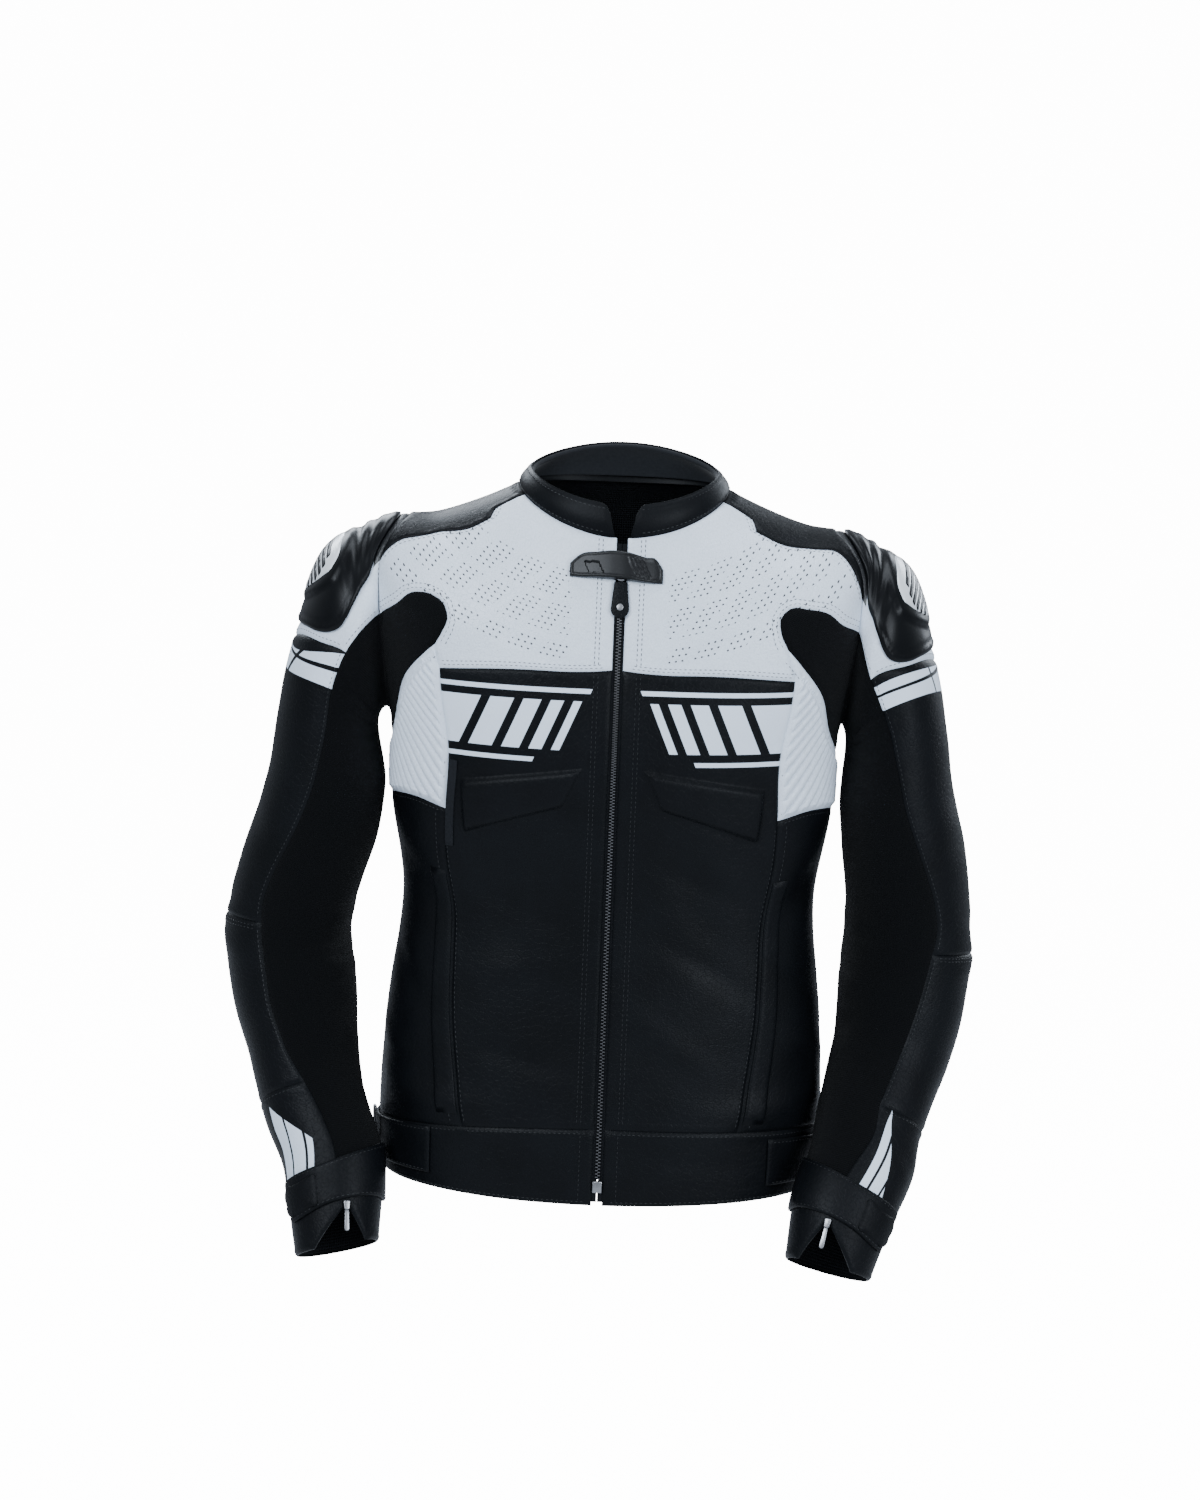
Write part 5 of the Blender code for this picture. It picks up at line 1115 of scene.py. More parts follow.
def edge_shade():
    """Dust and rub: a soft mask from a broad and a fine noise, for small changes of tone."""
    name = "handling_wear"
    if name in bpy.data.node_groups:
        return bpy.data.node_groups[name]
    group, given, out = effect_group(name, [("Amount", 1.0)], ["Mask"])
    place = node(group, "TexCoord").outputs["Object"]
    broad = node(group, "TexNoise", {"Vector": place, "Scale": 9.0, "Detail": 5.0, "Roughness": 0.65})
    fine = node(group, "TexNoise", {"Vector": place, "Scale": 130.0, "Detail": 3.0})
    both = calc(group, "MULTIPLY", ramp(group, broad.outputs["Fac"], 0.45, 0.75), fine.outputs["Fac"])
    join(group, calc(group, "MULTIPLY", both, given.outputs[0]), out.inputs["Mask"])
    return group


def use(tree, group, **values):
    made = tree.nodes.new("ShaderNodeGroup")
    made.node_tree = group
    for key, value in values.items():
        join(tree, value, made.inputs[key.replace("_", " ")])
    return made


def new_material(name, colour, roughness, metallic=0.0, **constants):
    made = bpy.data.materials.new(name)
    made.use_nodes = True
    shader = made.node_tree.nodes["Principled BSDF"]
    shader.inputs["Base Color"].default_value = colour
    shader.inputs["Roughness"].default_value = roughness
    shader.inputs["Metallic"].default_value = metallic
    for key, value in constants.items():
        shader.inputs[key.replace("_", " ")].default_value = value
    return made, made.node_tree, shader


def bump(tree, shader, height, depth):
    """Link a height to the shader's normal."""
    made = node(tree, "Bump", {"Height": height, "Distance": depth, "Strength": 1.0})
    tree.links.new(made.outputs["Normal"], shader.inputs["Normal"])


def link_finish(tree, shader, tone, gloss, height, depth):
    """Link a tone, a gloss where it varies, and a height to the shader."""
    tree.links.new(tone, shader.inputs["Base Color"])
    if gloss is not None:
        tree.links.new(gloss, shader.inputs["Roughness"])
    bump(tree, shader, height, depth)


def shade_of(colour, factor):
    return (colour[0] * factor, colour[1] * factor, colour[2] * factor, 1.0)


def dyed_leather(name, colour, roughness, marks=None, crease=0.5, depth=0.00016, spread=0.25):
    """Grain leather: base tone with mottle, darker pits, grain in the normal, and printed marks."""
    made, tree, shader = new_material(name, colour, roughness, Specular_IOR_Level=0.11)
    grain = use(tree, leather_grain(), Crease=crease)
    wear = use(tree, edge_shade())
    tone = blend_colour(tree, grain.outputs["Mottle"], shade_of(colour, 1 - spread),
                        shade_of(colour, 1 + spread))
    tone = blend_colour(tree, times(tree, grain.outputs["Pits"], 0.35), tone, shade_of(colour, 0.55))
    gloss = plus(tree, roughness - 0.05, times(tree, wear.outputs["Mask"], 0.22))
    if marks is not None:
        mask = marks(tree)
        scene = bpy.context.scene
        tone = blend_colour(tree, mask, tone, tuple(scene.jacket_colours.print_white))
        gloss = plus(tree, times(tree, mask, -0.08), gloss)
    link_finish(tree, shader, tone, gloss, grain.outputs["Height"], depth)
    return made


def chest_bars(tree):
    """A thin line, a tall row of slanted blocks that widen to the outside, and a second thin line."""
    place = node(tree, "SeparateXYZ", {"Vector": object_place(tree)})
    across, height = calc(tree, "ABSOLUTE", place.outputs[0]), place.outputs[2]
    slanted = plus(tree, across, times(tree, plus(tree, height, 0.180), 0.42))
    blocks = any_of(tree, [between(tree, slanted, a, b) for a, b in CHEST_BLOCKS])
    masks = [times(tree, between(tree, height, -0.2090, -0.1670), blocks)]
    for low, high, start in ((-0.1605, -0.1565, 0.030), (-0.2200, -0.2160, 0.052)):
        masks.append(times(tree, between(tree, height, low, high), between(tree, slanted, start, 0.3)))
    return any_of(tree, masks)


def band_marks(rows, cut):
    """Stripes in the sleeve's own coordinates, each between two bent lines and two ends, less a cut."""
    def marks(tree):
        uv = own_chart(tree)

        def above(value, other, slope, turn=0.0):
            """How far a value is past slope x other + turn x other squared."""
            pace = plus(tree, slope, times(tree, other, turn / MM))
            return less(tree, value, times(tree, other, pace))

        masks = []
        for start, end, low, high, lean in rows:
            over = between(tree, above(uv[1], uv[0], *low[1:]), low[0] * MM, 9.0)
            under = between(tree, above(uv[1], uv[0], *high[1:]), -9.0, high[0] * MM)
            inner = between(tree, above(uv[0], uv[1], lean), start * MM, end * MM)
            masks.append(times(tree, times(tree, over, under), inner))
        slope, low, high = cut
        gap = between(tree, above(uv[1], uv[0], slope), low * MM, high * MM)
        return times(tree, any_of(tree, masks), less(tree, 1.0, gap))
    return marks


def perforations(tree):
    """Rows of small punched holes five millimetres apart, kept in slanting blocks on the yoke."""
    place = node(tree, "SeparateXYZ", {"Vector": object_place(tree)})
    x, down = place.outputs[0], own_chart(tree)[1]
    pitch = 0.0054
    row = calc(tree, "DIVIDE", down, pitch)
    shift = times(tree, calc(tree, "FLOOR", row), 0.5)
    across = less(tree, calc(tree, "FRACT", plus(tree, calc(tree, "DIVIDE", x, pitch), shift)), 0.5)
    along = less(tree, calc(tree, "FRACT", row), 0.5)
    away = calc(tree, "SQRT", plus(tree, times(tree, across, across),
                                   times(tree, along, along)))
    dots = ramp(tree, away, 0.13, 0.19, 1.0, 0.0)
    lean = plus(tree, x, times(tree, down, 0.75))
    blocks = between(tree, calc(tree, "FRACT", calc(tree, "DIVIDE", lean, 0.026)), 0.08, 0.80, 0.01)
    steps = between(tree, calc(tree, "FRACT", calc(tree, "DIVIDE", down, 0.036)), 0.10, 0.93, 0.01)
    off_zip = ramp(tree, calc(tree, "ABSOLUTE", x), 0.040, 0.042)
    zone = times(tree, between(tree, down, 0.040, 0.128, 0.001), off_zip)
    return times(tree, dots, times(tree, zone, times(tree, blocks, steps)))


def white_material(name, punched, black=None):
    """White finished leather: cool white with soft grain, darker pits, punched holes painted dark (painted
    shade inside each hole, with the dark lining behind it), a black top part.
    """
    colour = tuple(bpy.context.scene.jacket_colours.white)
    made, tree, shader = new_material(name, colour, 0.42, Specular_IOR_Level=0.45)
    grain = use(tree, leather_grain(), Cells_per_metre=620.0, Crease=0.8)
    wear = use(tree, edge_shade(), Amount=0.6)
    tone = blend_colour(tree, times(tree, grain.outputs["Mottle"], 0.6), shade_of(colour, 0.95),
                        shade_of(colour, 1.03))
    tone = blend_colour(tree, times(tree, grain.outputs["Pits"], 0.28), tone, shade_of(colour, 0.72))
    gloss = plus(tree, 0.36, times(tree, wear.outputs["Mask"], 0.3))
    height = grain.outputs["Height"]
    if punched:
        holes = perforations(tree)
        # painted shade: each punched hole is coloured dark for the shade inside it, together with the dark
        # lining seen through it
        tone = blend_colour(tree, holes, tone, (0.05, 0.05, 0.053, 1))
        height = less(tree, height, times(tree, holes, 3.0))
    if black is not None:
        start, end, down = black
        uv = own_chart(tree)
        top = times(tree, between(tree, uv[0], start, end), between(tree, uv[1], -1, down))
        tone = blend_colour(tree, top, tone, tuple(bpy.context.scene.jacket_colours.black))
    link_finish(tree, shader, tone, gloss, height, 0.00013)
    return made


def knit_material(name, colour, roughness, ribs, depth, sheen=0.0):
    """Knitted cloth: ribs in the normal and a little fluff in the tone."""
    made, tree, shader = new_material(name, colour, roughness, Sheen_Weight=sheen, Sheen_Roughness=0.5,
                                      Specular_IOR_Level=0.1)
    knit = use(tree, knit_weave(), Ribs_per_metre=ribs)
    tone = blend_colour(tree, knit.outputs["Fluff"], shade_of(colour, 0.7), shade_of(colour, 1.35))
    link_finish(tree, shader, tone, None, knit.outputs["Height"], depth)
    return made


def rubber_material(name, colour, roughness, coat, level=0.5):
    """Moulded rubber: smooth and satin, with a faint spark-eroded texture."""
    made, tree, shader = new_material(name, colour, roughness, Coat_Roughness=0.25,
                                      Specular_IOR_Level=level)
    shader.inputs["Coat Weight"].default_value = coat
    place = object_place(tree)
    fine = node(tree, "TexNoise", {"Vector": place, "Scale": 900.0, "Detail": 2.0})
    wear = use(tree, edge_shade())
    gloss = plus(tree, roughness - 0.04, times(tree, wear.outputs["Mask"], 0.2))
    tone = blend_colour(tree, wear.outputs["Mask"], tuple(colour), shade_of(colour, 1.6))
    link_finish(tree, shader, tone, gloss, fine.outputs["Fac"], 0.00003)
    return made


def metal_material(name, colour, roughness):
    """Plated metal: brushed unevenness in its gloss, darker in its rubbed places."""
    made, tree, shader = new_material(name, colour, roughness, 1.0)
    place = object_place(tree)
    fine = node(tree, "TexNoise", {"Vector": place, "Scale": 700.0, "Detail": 3.0})
    wear = use(tree, edge_shade())
    gloss = plus(tree, roughness - 0.08, times(tree, fine.outputs["Fac"], 0.16))
    tone = blend_colour(tree, wear.outputs["Mask"], tuple(colour), shade_of(colour, 0.6))
    link_finish(tree, shader, tone, gloss, fine.outputs["Fac"], 0.00002)
    return made


def thread_material(name, colour):
    """Twisted sewing thread: fine slanting strands in tone and normal."""
    made, tree, shader = new_material(name, colour, 0.6)
    place = object_place(tree)
    strands = node(tree, "TexNoise", {"Vector": place, "Scale": 1500.0, "Detail": 1.0})
    tone = blend_colour(tree, strands.outputs["Fac"], shade_of(colour, 0.7), shade_of(colour, 1.3))
    link_finish(tree, shader, tone, None, strands.outputs["Fac"], 0.0001)
    return made


CHEST_BLOCKS = ((0.034, 0.041), (0.049, 0.060), (0.068, 0.083), (0.091, 0.111), (0.119, 0.3))
UPPER_STRIPES = {
    # start and end round the arm (mm), near and far edge along it (mm, slope and bend), lean of the ends
    -1: ((-5, 88, (63.0, 1.52, -0.0108), (81.6, 1.08, -0.0081), 0.0),
         (-5, 84, (87.4, 0.98, -0.0075), (105.8, 0.64, -0.0041), 0.0)),
    1: ((-15, 86, (72.3, 0.96, -0.0054), (82.9, 0.86, -0.0058), 0.0),
        (-15, 82, (86.0, 0.83, -0.0055), (100.8, 0.59, -0.0027), 0.0)),
}
CUFF_STRIPES = {
    -1: tuple((a, b, (526, -0.97), (560, 0), 0.21)
              for a, b in ((-98.4, -91.4), (-88.4, -71.4), (-69.0, -53))),
    1: tuple((a, b, (406.6, 4.76), (560, 0), -0.2)
             for a, b in ((106.9, 115.4), (118.2, 130), (132.6, 142))),
}
UPPER_CUT = {-1: (1.25, 48.6, 53.4), 1: (7.0, -268, -254)}
NO_CUT = (0.0, -2, -1)
CAP_BLACK = {-1: 0.0250, 1: 0.0145}


def finishes():
    """Every finish by its name: the function that makes it and the values it takes."""
    c = bpy.context.scene.jacket_colours
    black, rubber = tuple(c.black), tuple(c.rubber)
    table = {
        "black leather": (dyed_leather, black, 0.47),
        "printed front leather": (dyed_leather, black, 0.47, chest_bars),
        "collar leather": (dyed_leather, black, 0.5, None, 0.2, 0.0001),
        "punched white leather": (white_material, True),
        "white leather": (white_material, False),
        "stretch knit": (knit_material, tuple(c.stretch), 0.85, 780.0, 0.0002, 0.02),
        "mesh lining": (knit_material, tuple(c.lining), 0.9, 420.0, 0.0004),
        "soft collar lining": (knit_material, shade_of(c.lining, 1.2), 0.95, 1300.0, 0.00015, 0.15),
        "zip tape": (knit_material, shade_of(c.lining, 0.9), 0.85, 1500.0, 0.00015),
        "woven label": (knit_material, shade_of(c.lining, 1.4), 0.7, 1800.0, 0.0001),
        "moulded rubber": (rubber_material, rubber, 0.36, 0.0, 0.16),
        "tab rubber": (rubber_material, rubber, 0.42, 0.0, 0.3),
        "white moulding": (rubber_material, (0.72, 0.74, 0.76, 1), 0.28, 0.3),
        "plated metal": (metal_material, tuple(c.metal), 0.34),
        "dark teeth": (metal_material, shade_of(c.metal, 0.5), 0.36),
        "pale thread": (thread_material, tuple(c.thread_pale)),
        "dark thread": (thread_material, tuple(c.thread_dark)),
    }
    for side, label in SIDES.items():
        upper = band_marks(UPPER_STRIPES[side], UPPER_CUT[side])
        table[f"striped sleeve leather {label}"] = (dyed_leather, black, 0.47, upper)
        cuff = band_marks(CUFF_STRIPES[side], NO_CUT)
        table[f"striped cuff leather {label}"] = (dyed_leather, black, 0.47, cuff)
        table[f"cap leather {label}"] = (white_material, False, (CAP_BLACK[side], 0.152, 0.009))
    return table


def material(name):
    """The material of a finish, made at its first use."""
    if name not in bpy.data.materials:
        make, *values = finishes()[name]
        make(name, *values)
    return bpy.data.materials[name]


# ---- Forms on the panels ----

def pad_height(side):
    """The embossed chest pad: a smooth step over its slope, inside four corners."""
    step = BODY.step
    flat = np.array([(side * a, d) for a, d in PAD_CORNERS], float) * step

    def height(uv, _):
        points = uv * step
        away = distance(points, flat, np.roll(flat, -1, axis=0))
        rise = PAD_HEIGHT * smooth(away / (PAD_SLOPE * 0.7))
        return np.where(inside(points, flat), rise, 0) - 0.9 * bell(away, 0.6, 1.4)

    return height


def pad_rows(side):
    """Points along the pad's edge and down its slope, so that the skin bends cleanly there."""
    flat = np.array([(side * a, d) for a, d in PAD_CORNERS], float) * BODY.step
    ring = straight([*flat, flat[0]], 3.0, (1, 1))[:-1]
    return np.concatenate([ring] + [inset(ring, by) for by in (1.3, 2.9, 4.7, 6.5)])


def rib_height(side, outline):
    """Ribs of the gusset: rounded ridges with narrow valleys, fading before a gathered border."""
    step = BODY.step
    flat = outline * step
    direction = np.array([side * 0.80, -0.60])
    across = np.array([direction[1], -direction[0]])
    across = across if across[1] > 0 else -across
    levels = flat @ across
    start, stop = levels.min() + 7.5, levels.max() - 4.0
    spacing = (stop - start) / 22
    outer = body_seams(side, 3.0)["tongue_armpit"] * step

    def height(uv, away):
        points = uv * step
        phase = (points @ across - start) / spacing
        fade = np.clip((away - 3.0) / 2.5, 0, 1)
        near = distance(points, outer[:-1], outer[1:])
        border = np.clip((near - 6.5) / 2.0, 0, 1)
        ribs = 2.8 * np.abs(np.sin(math.pi * phase)) ** 0.55 * fade * border
        gather = 0.45 * np.sin((points @ across) * 2 * math.pi / 3.6)
        return ribs + gather * (1 - border) * np.clip(away / 2, 0, 1) * (near < 12)

    return height


def overlay(name, surface, outline, pitch, base, thick, finish, node_name, soft=1.4, relief=None,
            cloth=True):
    """A piece lying on a panel: its edge is rounded over a distance (soft), and relief adds to its top."""
    uv, faces = fill(outline, pitch, surface.step, (0.35, soft) if soft > 0.8 else (0.3,))
    points, normals, faces = on_surface(surface, uv, faces)
    flat = outline * surface.step
    away = distance(uv * surface.step, flat, np.roll(flat, -1, axis=0))
    turn = 1 - np.clip(away / soft, 0, 1)
    low = base + undulation(points) * 0.6
    top = low + thick * (0.35 + 0.65 * np.sqrt(np.clip(1 - turn * turn, 0, 1)))
    if relief is not None:
        top = top + relief(uv, away)
    outer, inner = (points + (height * MM)[:, None] * normals for height in (top, low))
    flat_uv = uv * surface.step * MM
    obj = mesh_object(name, *shell(outer, inner, faces), np.concatenate([flat_uv, flat_uv]), sharp=50)
    obj.data.materials.append(material(finish))
    if node_name:
        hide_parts(node_name)
    if cloth:
        area = sheet_area(outer, faces)
        wide, long = (max(float(x), 0.0101) for x in flat_uv.max(0) - flat_uv.min(0))
        wide = max(wide, area / long * 1.02)
    return obj


def closed_curve(points, pitch, step):
    """A smooth closed outline through the points."""
    return curved([*points, points[0]], pitch, step)[:-1]


def strip(top, bottom, pitch, step):
    """The outline of a band between two lines that run the same way."""
    return ring_of(top, straight([top[-1], bottom[-1]], pitch, step), back(bottom),
                   straight([bottom[0], top[0]], pitch, step))


def surface_frame(surface, u, v, lift):
    """Place and directions on a surface: across, inward and up."""
    u, v = np.array([u], float), np.array([v], float)
    outward = Vector(surface.normal(u, v)[0])
    place = Vector(surface.place(u, v)[0]) + outward * (lift * MM)
    down = Vector((surface.place(u, v + 0.5) - surface.place(u, v - 0.5))[0])
    up = (-down - outward * (-down).dot(outward)).normalized()
    across = up.cross(-outward)
    return place, Matrix((across, -outward, up)).transposed()


def placed(points, place, turn):
    return np.asarray(points) @ np.array(turn).T * MM + np.array(place)


def tube_faces(rings, around, closed=False):
    """Quads between rings of points, split into triangles, with end caps unless the rings close."""
    k, j = np.meshgrid(np.arange(rings if closed else rings - 1), np.arange(around), indexing="ij")
    a = k * around + j
    b = k * around + (j + 1) % around
    c = ((k + 1) % rings) * around + (j + 1) % around
    d = ((k + 1) % rings) * around + j
    faces = [np.stack([a, b, c], -1).reshape(-1, 3), np.stack([a, c, d], -1).reshape(-1, 3)]
    if not closed:
        fan = np.arange(1, around - 1)
        last = (rings - 1) * around
        faces.append(np.stack([0 * fan, fan + 1, fan], -1))
        faces.append(np.stack([0 * fan + last, last + fan, last + fan + 1], -1))
    return np.concatenate(faces)


def outward(points, faces):
    """Turn all triangles of a closed mesh if its volume comes out negative."""
    p = points[faces]
    volume = (p[:, 0] * np.cross(p[:, 1], p[:, 2])).sum()
    return faces if volume > 0 else faces[:, ::-1]


def solid(name, points, faces, finish, node_name=None, slot=None, body=ROOT, sharp=40):
    obj = mesh_object(name, points, outward(np.asarray(points), np.asarray(faces)), sharp=sharp, body=body)
    obj.data.materials.append(material(finish))
    if node_name:
        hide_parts(*([node_name] if isinstance(node_name, str) else node_name))
    return obj


def cushion_plate(spots, thick, edge, place, turn):
    """A flat plate: rings of its outline drawn in and lifted along a quarter circle, front and back."""
    spots = np.array(spots, float)
    steps = np.radians([0, 30, 60, 90])
    rings = []
    for sign in (1, -1):
        for t in (steps[::-1] if sign > 0 else steps[1:]):
            ring = shrink_outline(spots, edge * (1 - math.cos(t)))
            y = -sign * (thick / 2 - edge + edge * math.sin(t)) if t > 0 or sign > 0 else 0
            rings.append(np.column_stack([ring[:, 0], np.full(len(ring), y), ring[:, 1]]))
    points = placed(np.concatenate(rings), place, turn)
    return points, tube_faces(len(rings), len(spots))


def shrink_outline(spots, by):
    """An outline drawn in by a distance, each point along the mean of its two edge normals."""
    before, after = np.roll(spots, 1, axis=0), np.roll(spots, -1, axis=0)
    first, second = spots - before, after - spots
    first = first / np.linalg.norm(first, axis=1)[:, None]
    second = second / np.linalg.norm(second, axis=1)[:, None]
    area = (spots[:, 0] * after[:, 1] - after[:, 0] * spots[:, 1]).sum()
    left = np.stack([-first[:, 1] - second[:, 1], first[:, 0] + second[:, 0]], -1)
    left /= np.maximum(np.linalg.norm(left, axis=1), 0.3)[:, None]
    return spots + left * by * np.sign(area)


def smooth_outline(corners, radius, count=6):
    """A polygon with each corner turned into an arc (a quadratic curve through its two tangent points)."""
    corners = np.array(corners, float)
    before, after = np.roll(corners, 1, axis=0), np.roll(corners, -1, axis=0)
    out = []
    for p, a, b in zip(corners, before, after):
        ra = min(radius, np.linalg.norm(a - p) * 0.45)
        rb = min(radius, np.linalg.norm(b - p) * 0.45)
        start, end = p + (a - p) / np.linalg.norm(a - p) * ra, p + (b - p) / np.linalg.norm(b - p) * rb
        t = np.linspace(0, 1, count)[:, None]
        out.append((1 - t) ** 2 * start + 2 * t * (1 - t) * p + t * t * end)
    return np.concatenate(out)


# ---- Operators: one for each piece or group of like pieces ----

def both_sides(context):
    """For each side: itself, its name, the body's seams, the sleeve's seams and the sleeve."""
    pitch = context.scene.jacket_sizes.pitch / MM
    for side, label in SIDES.items():
        yield side, label, body_seams(side, pitch), sleeve_seams(side, pitch), ARMS[side]


def flush_seam(surface, line):
    """Fill most of the valley along one seam, where both leathers lie flush."""
    flat = line * surface.step

    def height(uv, _):
        away = distance(uv * surface.step, flat[:-1], flat[1:])
        return 0.75 * bell(away, 0, 1.2) - 0.3 * bell(away, 3.6, 2.0)

    return height


def leather_piece(name, outline, finish, height=None, pitch=1.0, surface=BODY,
                  extra=None):
    """One body piece over its solid of the same name, its points a share of the common pitch apart."""
    size = bpy.context.scene.jacket_sizes
    skin = Skin().add(surface, outline, size.pitch * pitch / MM, height, extra=extra)
    return skin_object(name, skin, size.leather, finish)


class JACKET_OT_fronts(bpy.types.Operator):
    """Make the two black fronts with their embossed pads and printed bars."""
    bl_idname = "jacket.fronts"
    bl_label = "Fronts"

    def execute(self, context):
        for side, label, s, _, _ in both_sides(context):
            outline = ring_of(back(s["yoke_seam"]), s["rib_front"], s["front_seam"], back(s["band_front"]),
                              back(s["zip_front"]))
            leather_piece(f"front_{label}", outline, "printed front leather", pad_height(side), 0.8,
                          extra=pad_rows(side))
        return {"FINISHED"}


class JACKET_OT_yokes(bpy.types.Operator):
    """Make the white punched yokes."""
    bl_idname = "jacket.yokes"
    bl_label = "Yokes"

    def execute(self, context):
        for _, label, s, _, _ in both_sides(context):
            outline = ring_of(s["neck_step"], s["neck_front"], s["border"], s["armhole_yoke"],
                              s["tongue_yoke"], s["yoke_side"], s["yoke_seam"], back(s["zip_yoke"]))
            leather_piece(f"yoke_{label}", outline, "punched white leather",
                          flush_seam(BODY, s["armhole_yoke"]), 0.8)
        return {"FINISHED"}


class JACKET_OT_gussets(bpy.types.Operator):
    """Make the white ribbed gussets between the fronts and the sleeves."""
    bl_idname = "jacket.gussets"
    bl_label = "Ribbed gussets"

    def execute(self, context):
        size = context.scene.jacket_sizes
        for side, label, s, _, _ in both_sides(context):
            outline = ring_of(s["yoke_side"], s["rib_front"], s["rib_bottom"], back(s["side_top"]),
                              back(s["tongue_armpit"]))
            leather_piece(f"rib_panel_{label}", outline, "white leather", rib_height(side, outline),
                          size.rib_pitch * 0.7 / size.pitch)
        return {"FINISHED"}


class JACKET_OT_sides_and_back(bpy.types.Operator):
    """Make the side panels, the back, the back yoke and the waistband."""
    bl_idname = "jacket.sides_and_back"
    bl_label = "Sides, back and waistband"

    def execute(self, context):
        halves = {}
        for side, label, s, _, _ in both_sides(context):
            halves[side] = s
            outline = ring_of(s["rib_bottom"], s["side_seam"], back(s["band_side"]), back(s["front_seam"]))
            leather_piece(f"side_panel_{label}", outline, "black leather")
            outline = ring_of(s["band_front"], s["band_side"], s["hem_side"], back(s["hem_front"]),
                              back(s["zip_hem"]))
            leather_piece(f"waistband_{label}", outline, "black leather")
        right, left = halves[1], {key: over_back(seam) for key, seam in halves[-1].items()}
        outline = ring_of(right["neck_back"], back(left["neck_back"]), left["border"], left["armhole_top"],
                          left["back_yoke"], back(right["back_yoke"]), back(right["armhole_top"]),
                          back(right["border"]))
        leather_piece("back_yoke", outline, "black leather")
        outline = ring_of(right["back_yoke"], back(left["back_yoke"]), left["armhole_back"],
                          back(left["tongue_back"]), left["side_top"], left["side_seam"], left["band_back"],
                          back(right["band_back"]), back(right["side_seam"]), back(right["side_top"]),
                          right["tongue_back"], back(right["armhole_back"]))
        leather_piece("back_panel", outline, "black leather")
        outline = ring_of(right["band_back"], back(left["band_back"]), left["hem_side"], left["hem_back"],
                          back(right["hem_back"]), back(right["hem_side"]))
        leather_piece("waistband_back", outline, "black leather")
        return {"FINISHED"}


class JACKET_OT_sleeves(bpy.types.Operator):
    """Make the leather pieces of both sleeves, from the white cap to the cuff panel."""
    bl_idname = "jacket.sleeves"
    bl_label = "Sleeve leather"

    def execute(self, context):
        for _, label, _, s, arm in both_sides(context):
            outline = ring_of(back(s["armhole_yoke"]), s["armhole_top"], s["armhole_back"], s["back_cap"],
                              back(s["cap_bottom"]), back(s["edge_cap"]))
            leather_piece(f"sleeve_cap_{label}", outline, f"cap leather {label}",
                          flush_seam(arm, s["armhole_yoke"]), surface=arm)
            for piece, top, bottom, edge, rear, finish in (
                    ("upper_sleeve", "cap_bottom", "elbow", "edge_upper", "back_upper",
                     f"striped sleeve leather {label}"),
                    ("forearm", "elbow", "cuff_panel", "edge_fore", "back_fore", "black leather"),
                    ("cuff_panel", "cuff_panel", "cuff_outer", "edge_cuff", "back_cuff",
                     f"striped cuff leather {label}")):
                outline = ring_of(s[top], s[rear], back(s[bottom]), back(s[edge]))
                leather_piece(f"{piece}_{label}", outline, finish, surface=arm)
        return {"FINISHED"}


class JACKET_OT_stretch_sleeves(bpy.types.Operator):
    """Make the stretch panels under the arms, which run on to their tongues on the chest."""
    bl_idname = "jacket.stretch_sleeves"
    bl_label = "Stretch panels"

    def execute(self, context):
        size = context.scene.jacket_sizes
        for side, label, body, s, arm in both_sides(context):
            sewn = [s[name] - (360, 0) for name in ("back_cap", "back_upper", "back_fore", "back_cuff")]
            sewn.append(s["cuff_inner"])
            sewn += [back(s[f"edge_{part}"]) for part in ("cuff", "fore", "upper", "cap")]
            hole = s["armhole_stretch"]
            skin = Skin().add(arm, ring_of(hole, *sewn), size.pitch / MM, edges=sewn, seam=0.8)
            on_chest = [back(body[f"tongue_{part}"]) for part in ("back", "armpit", "yoke")]

            def chest_chart(uv, side=side):
                """Run the chest's chart on from the sleeve's, so that the knit meets at the armhole."""
                return np.stack([-side * uv[:, 0] * 3.3, uv[:, 1] - 340], -1) * MM

            skin.add(BODY, ring_of(body["armhole_stretch"], *on_chest), size.pitch * 0.8 / MM,
                     edges=on_chest, seam=0.8, chart=chest_chart)
            skin.weld().soften(arm.place(hole[:, 0], hole[:, 1]), 0.016)
            skin_object(f"stretch_sleeve_{label}", skin, size.textile, "stretch knit")
        return {"FINISHED"}


class JACKET_OT_cuffs(bpy.types.Operator):
    """Make the open cuff bands and the straps round the wrists."""
    bl_idname = "jacket.cuffs"
    bl_label = "Cuffs and their straps"

    def execute(self, context):
        pitch = context.scene.jacket_sizes.pitch / MM
        for side, label, _, s, arm in both_sides(context):
            rear = 360 + STRETCH_BACK
            ends = ([(rear, CUFF_SEAM), (rear, SLEEVE_END)],
                    [(rear, SLEEVE_END), (VENT_OUTER, SLEEVE_END), VENT_TOP, (VENT_INNER, SLEEVE_END),
                     (STRETCH_BACK, SLEEVE_END)],
                    [(STRETCH_BACK, SLEEVE_END), (STRETCH_BACK, CUFF_SEAM)])
            outline = ring_of(s["cuff_inner"], s["cuff_outer"],
                              *(straight(end, pitch, arm.step) for end in ends))
            leather_piece(f"cuff_band_{label}", outline, "black leather", surface=arm, pitch=0.7)
            top, bottom = (curved(edge, 4, arm.step) for edge in (CUFF_STRAP_TOP, CUFF_STRAP_BOTTOM))
            outline = strip(top, bottom, 4, arm.step)
            overlay(f"cuff_strap_{label}_leather", arm, outline, 4.5, 1.0, 2.1, "black leather",
                    f"cuff_strap_{label}", 1.8)
            overlay(f"cuff_tab_{label}", arm, strap_tab(side), 3.0, 3.0, 1.5, "black leather", None, 1.4)
        return {"FINISHED"}


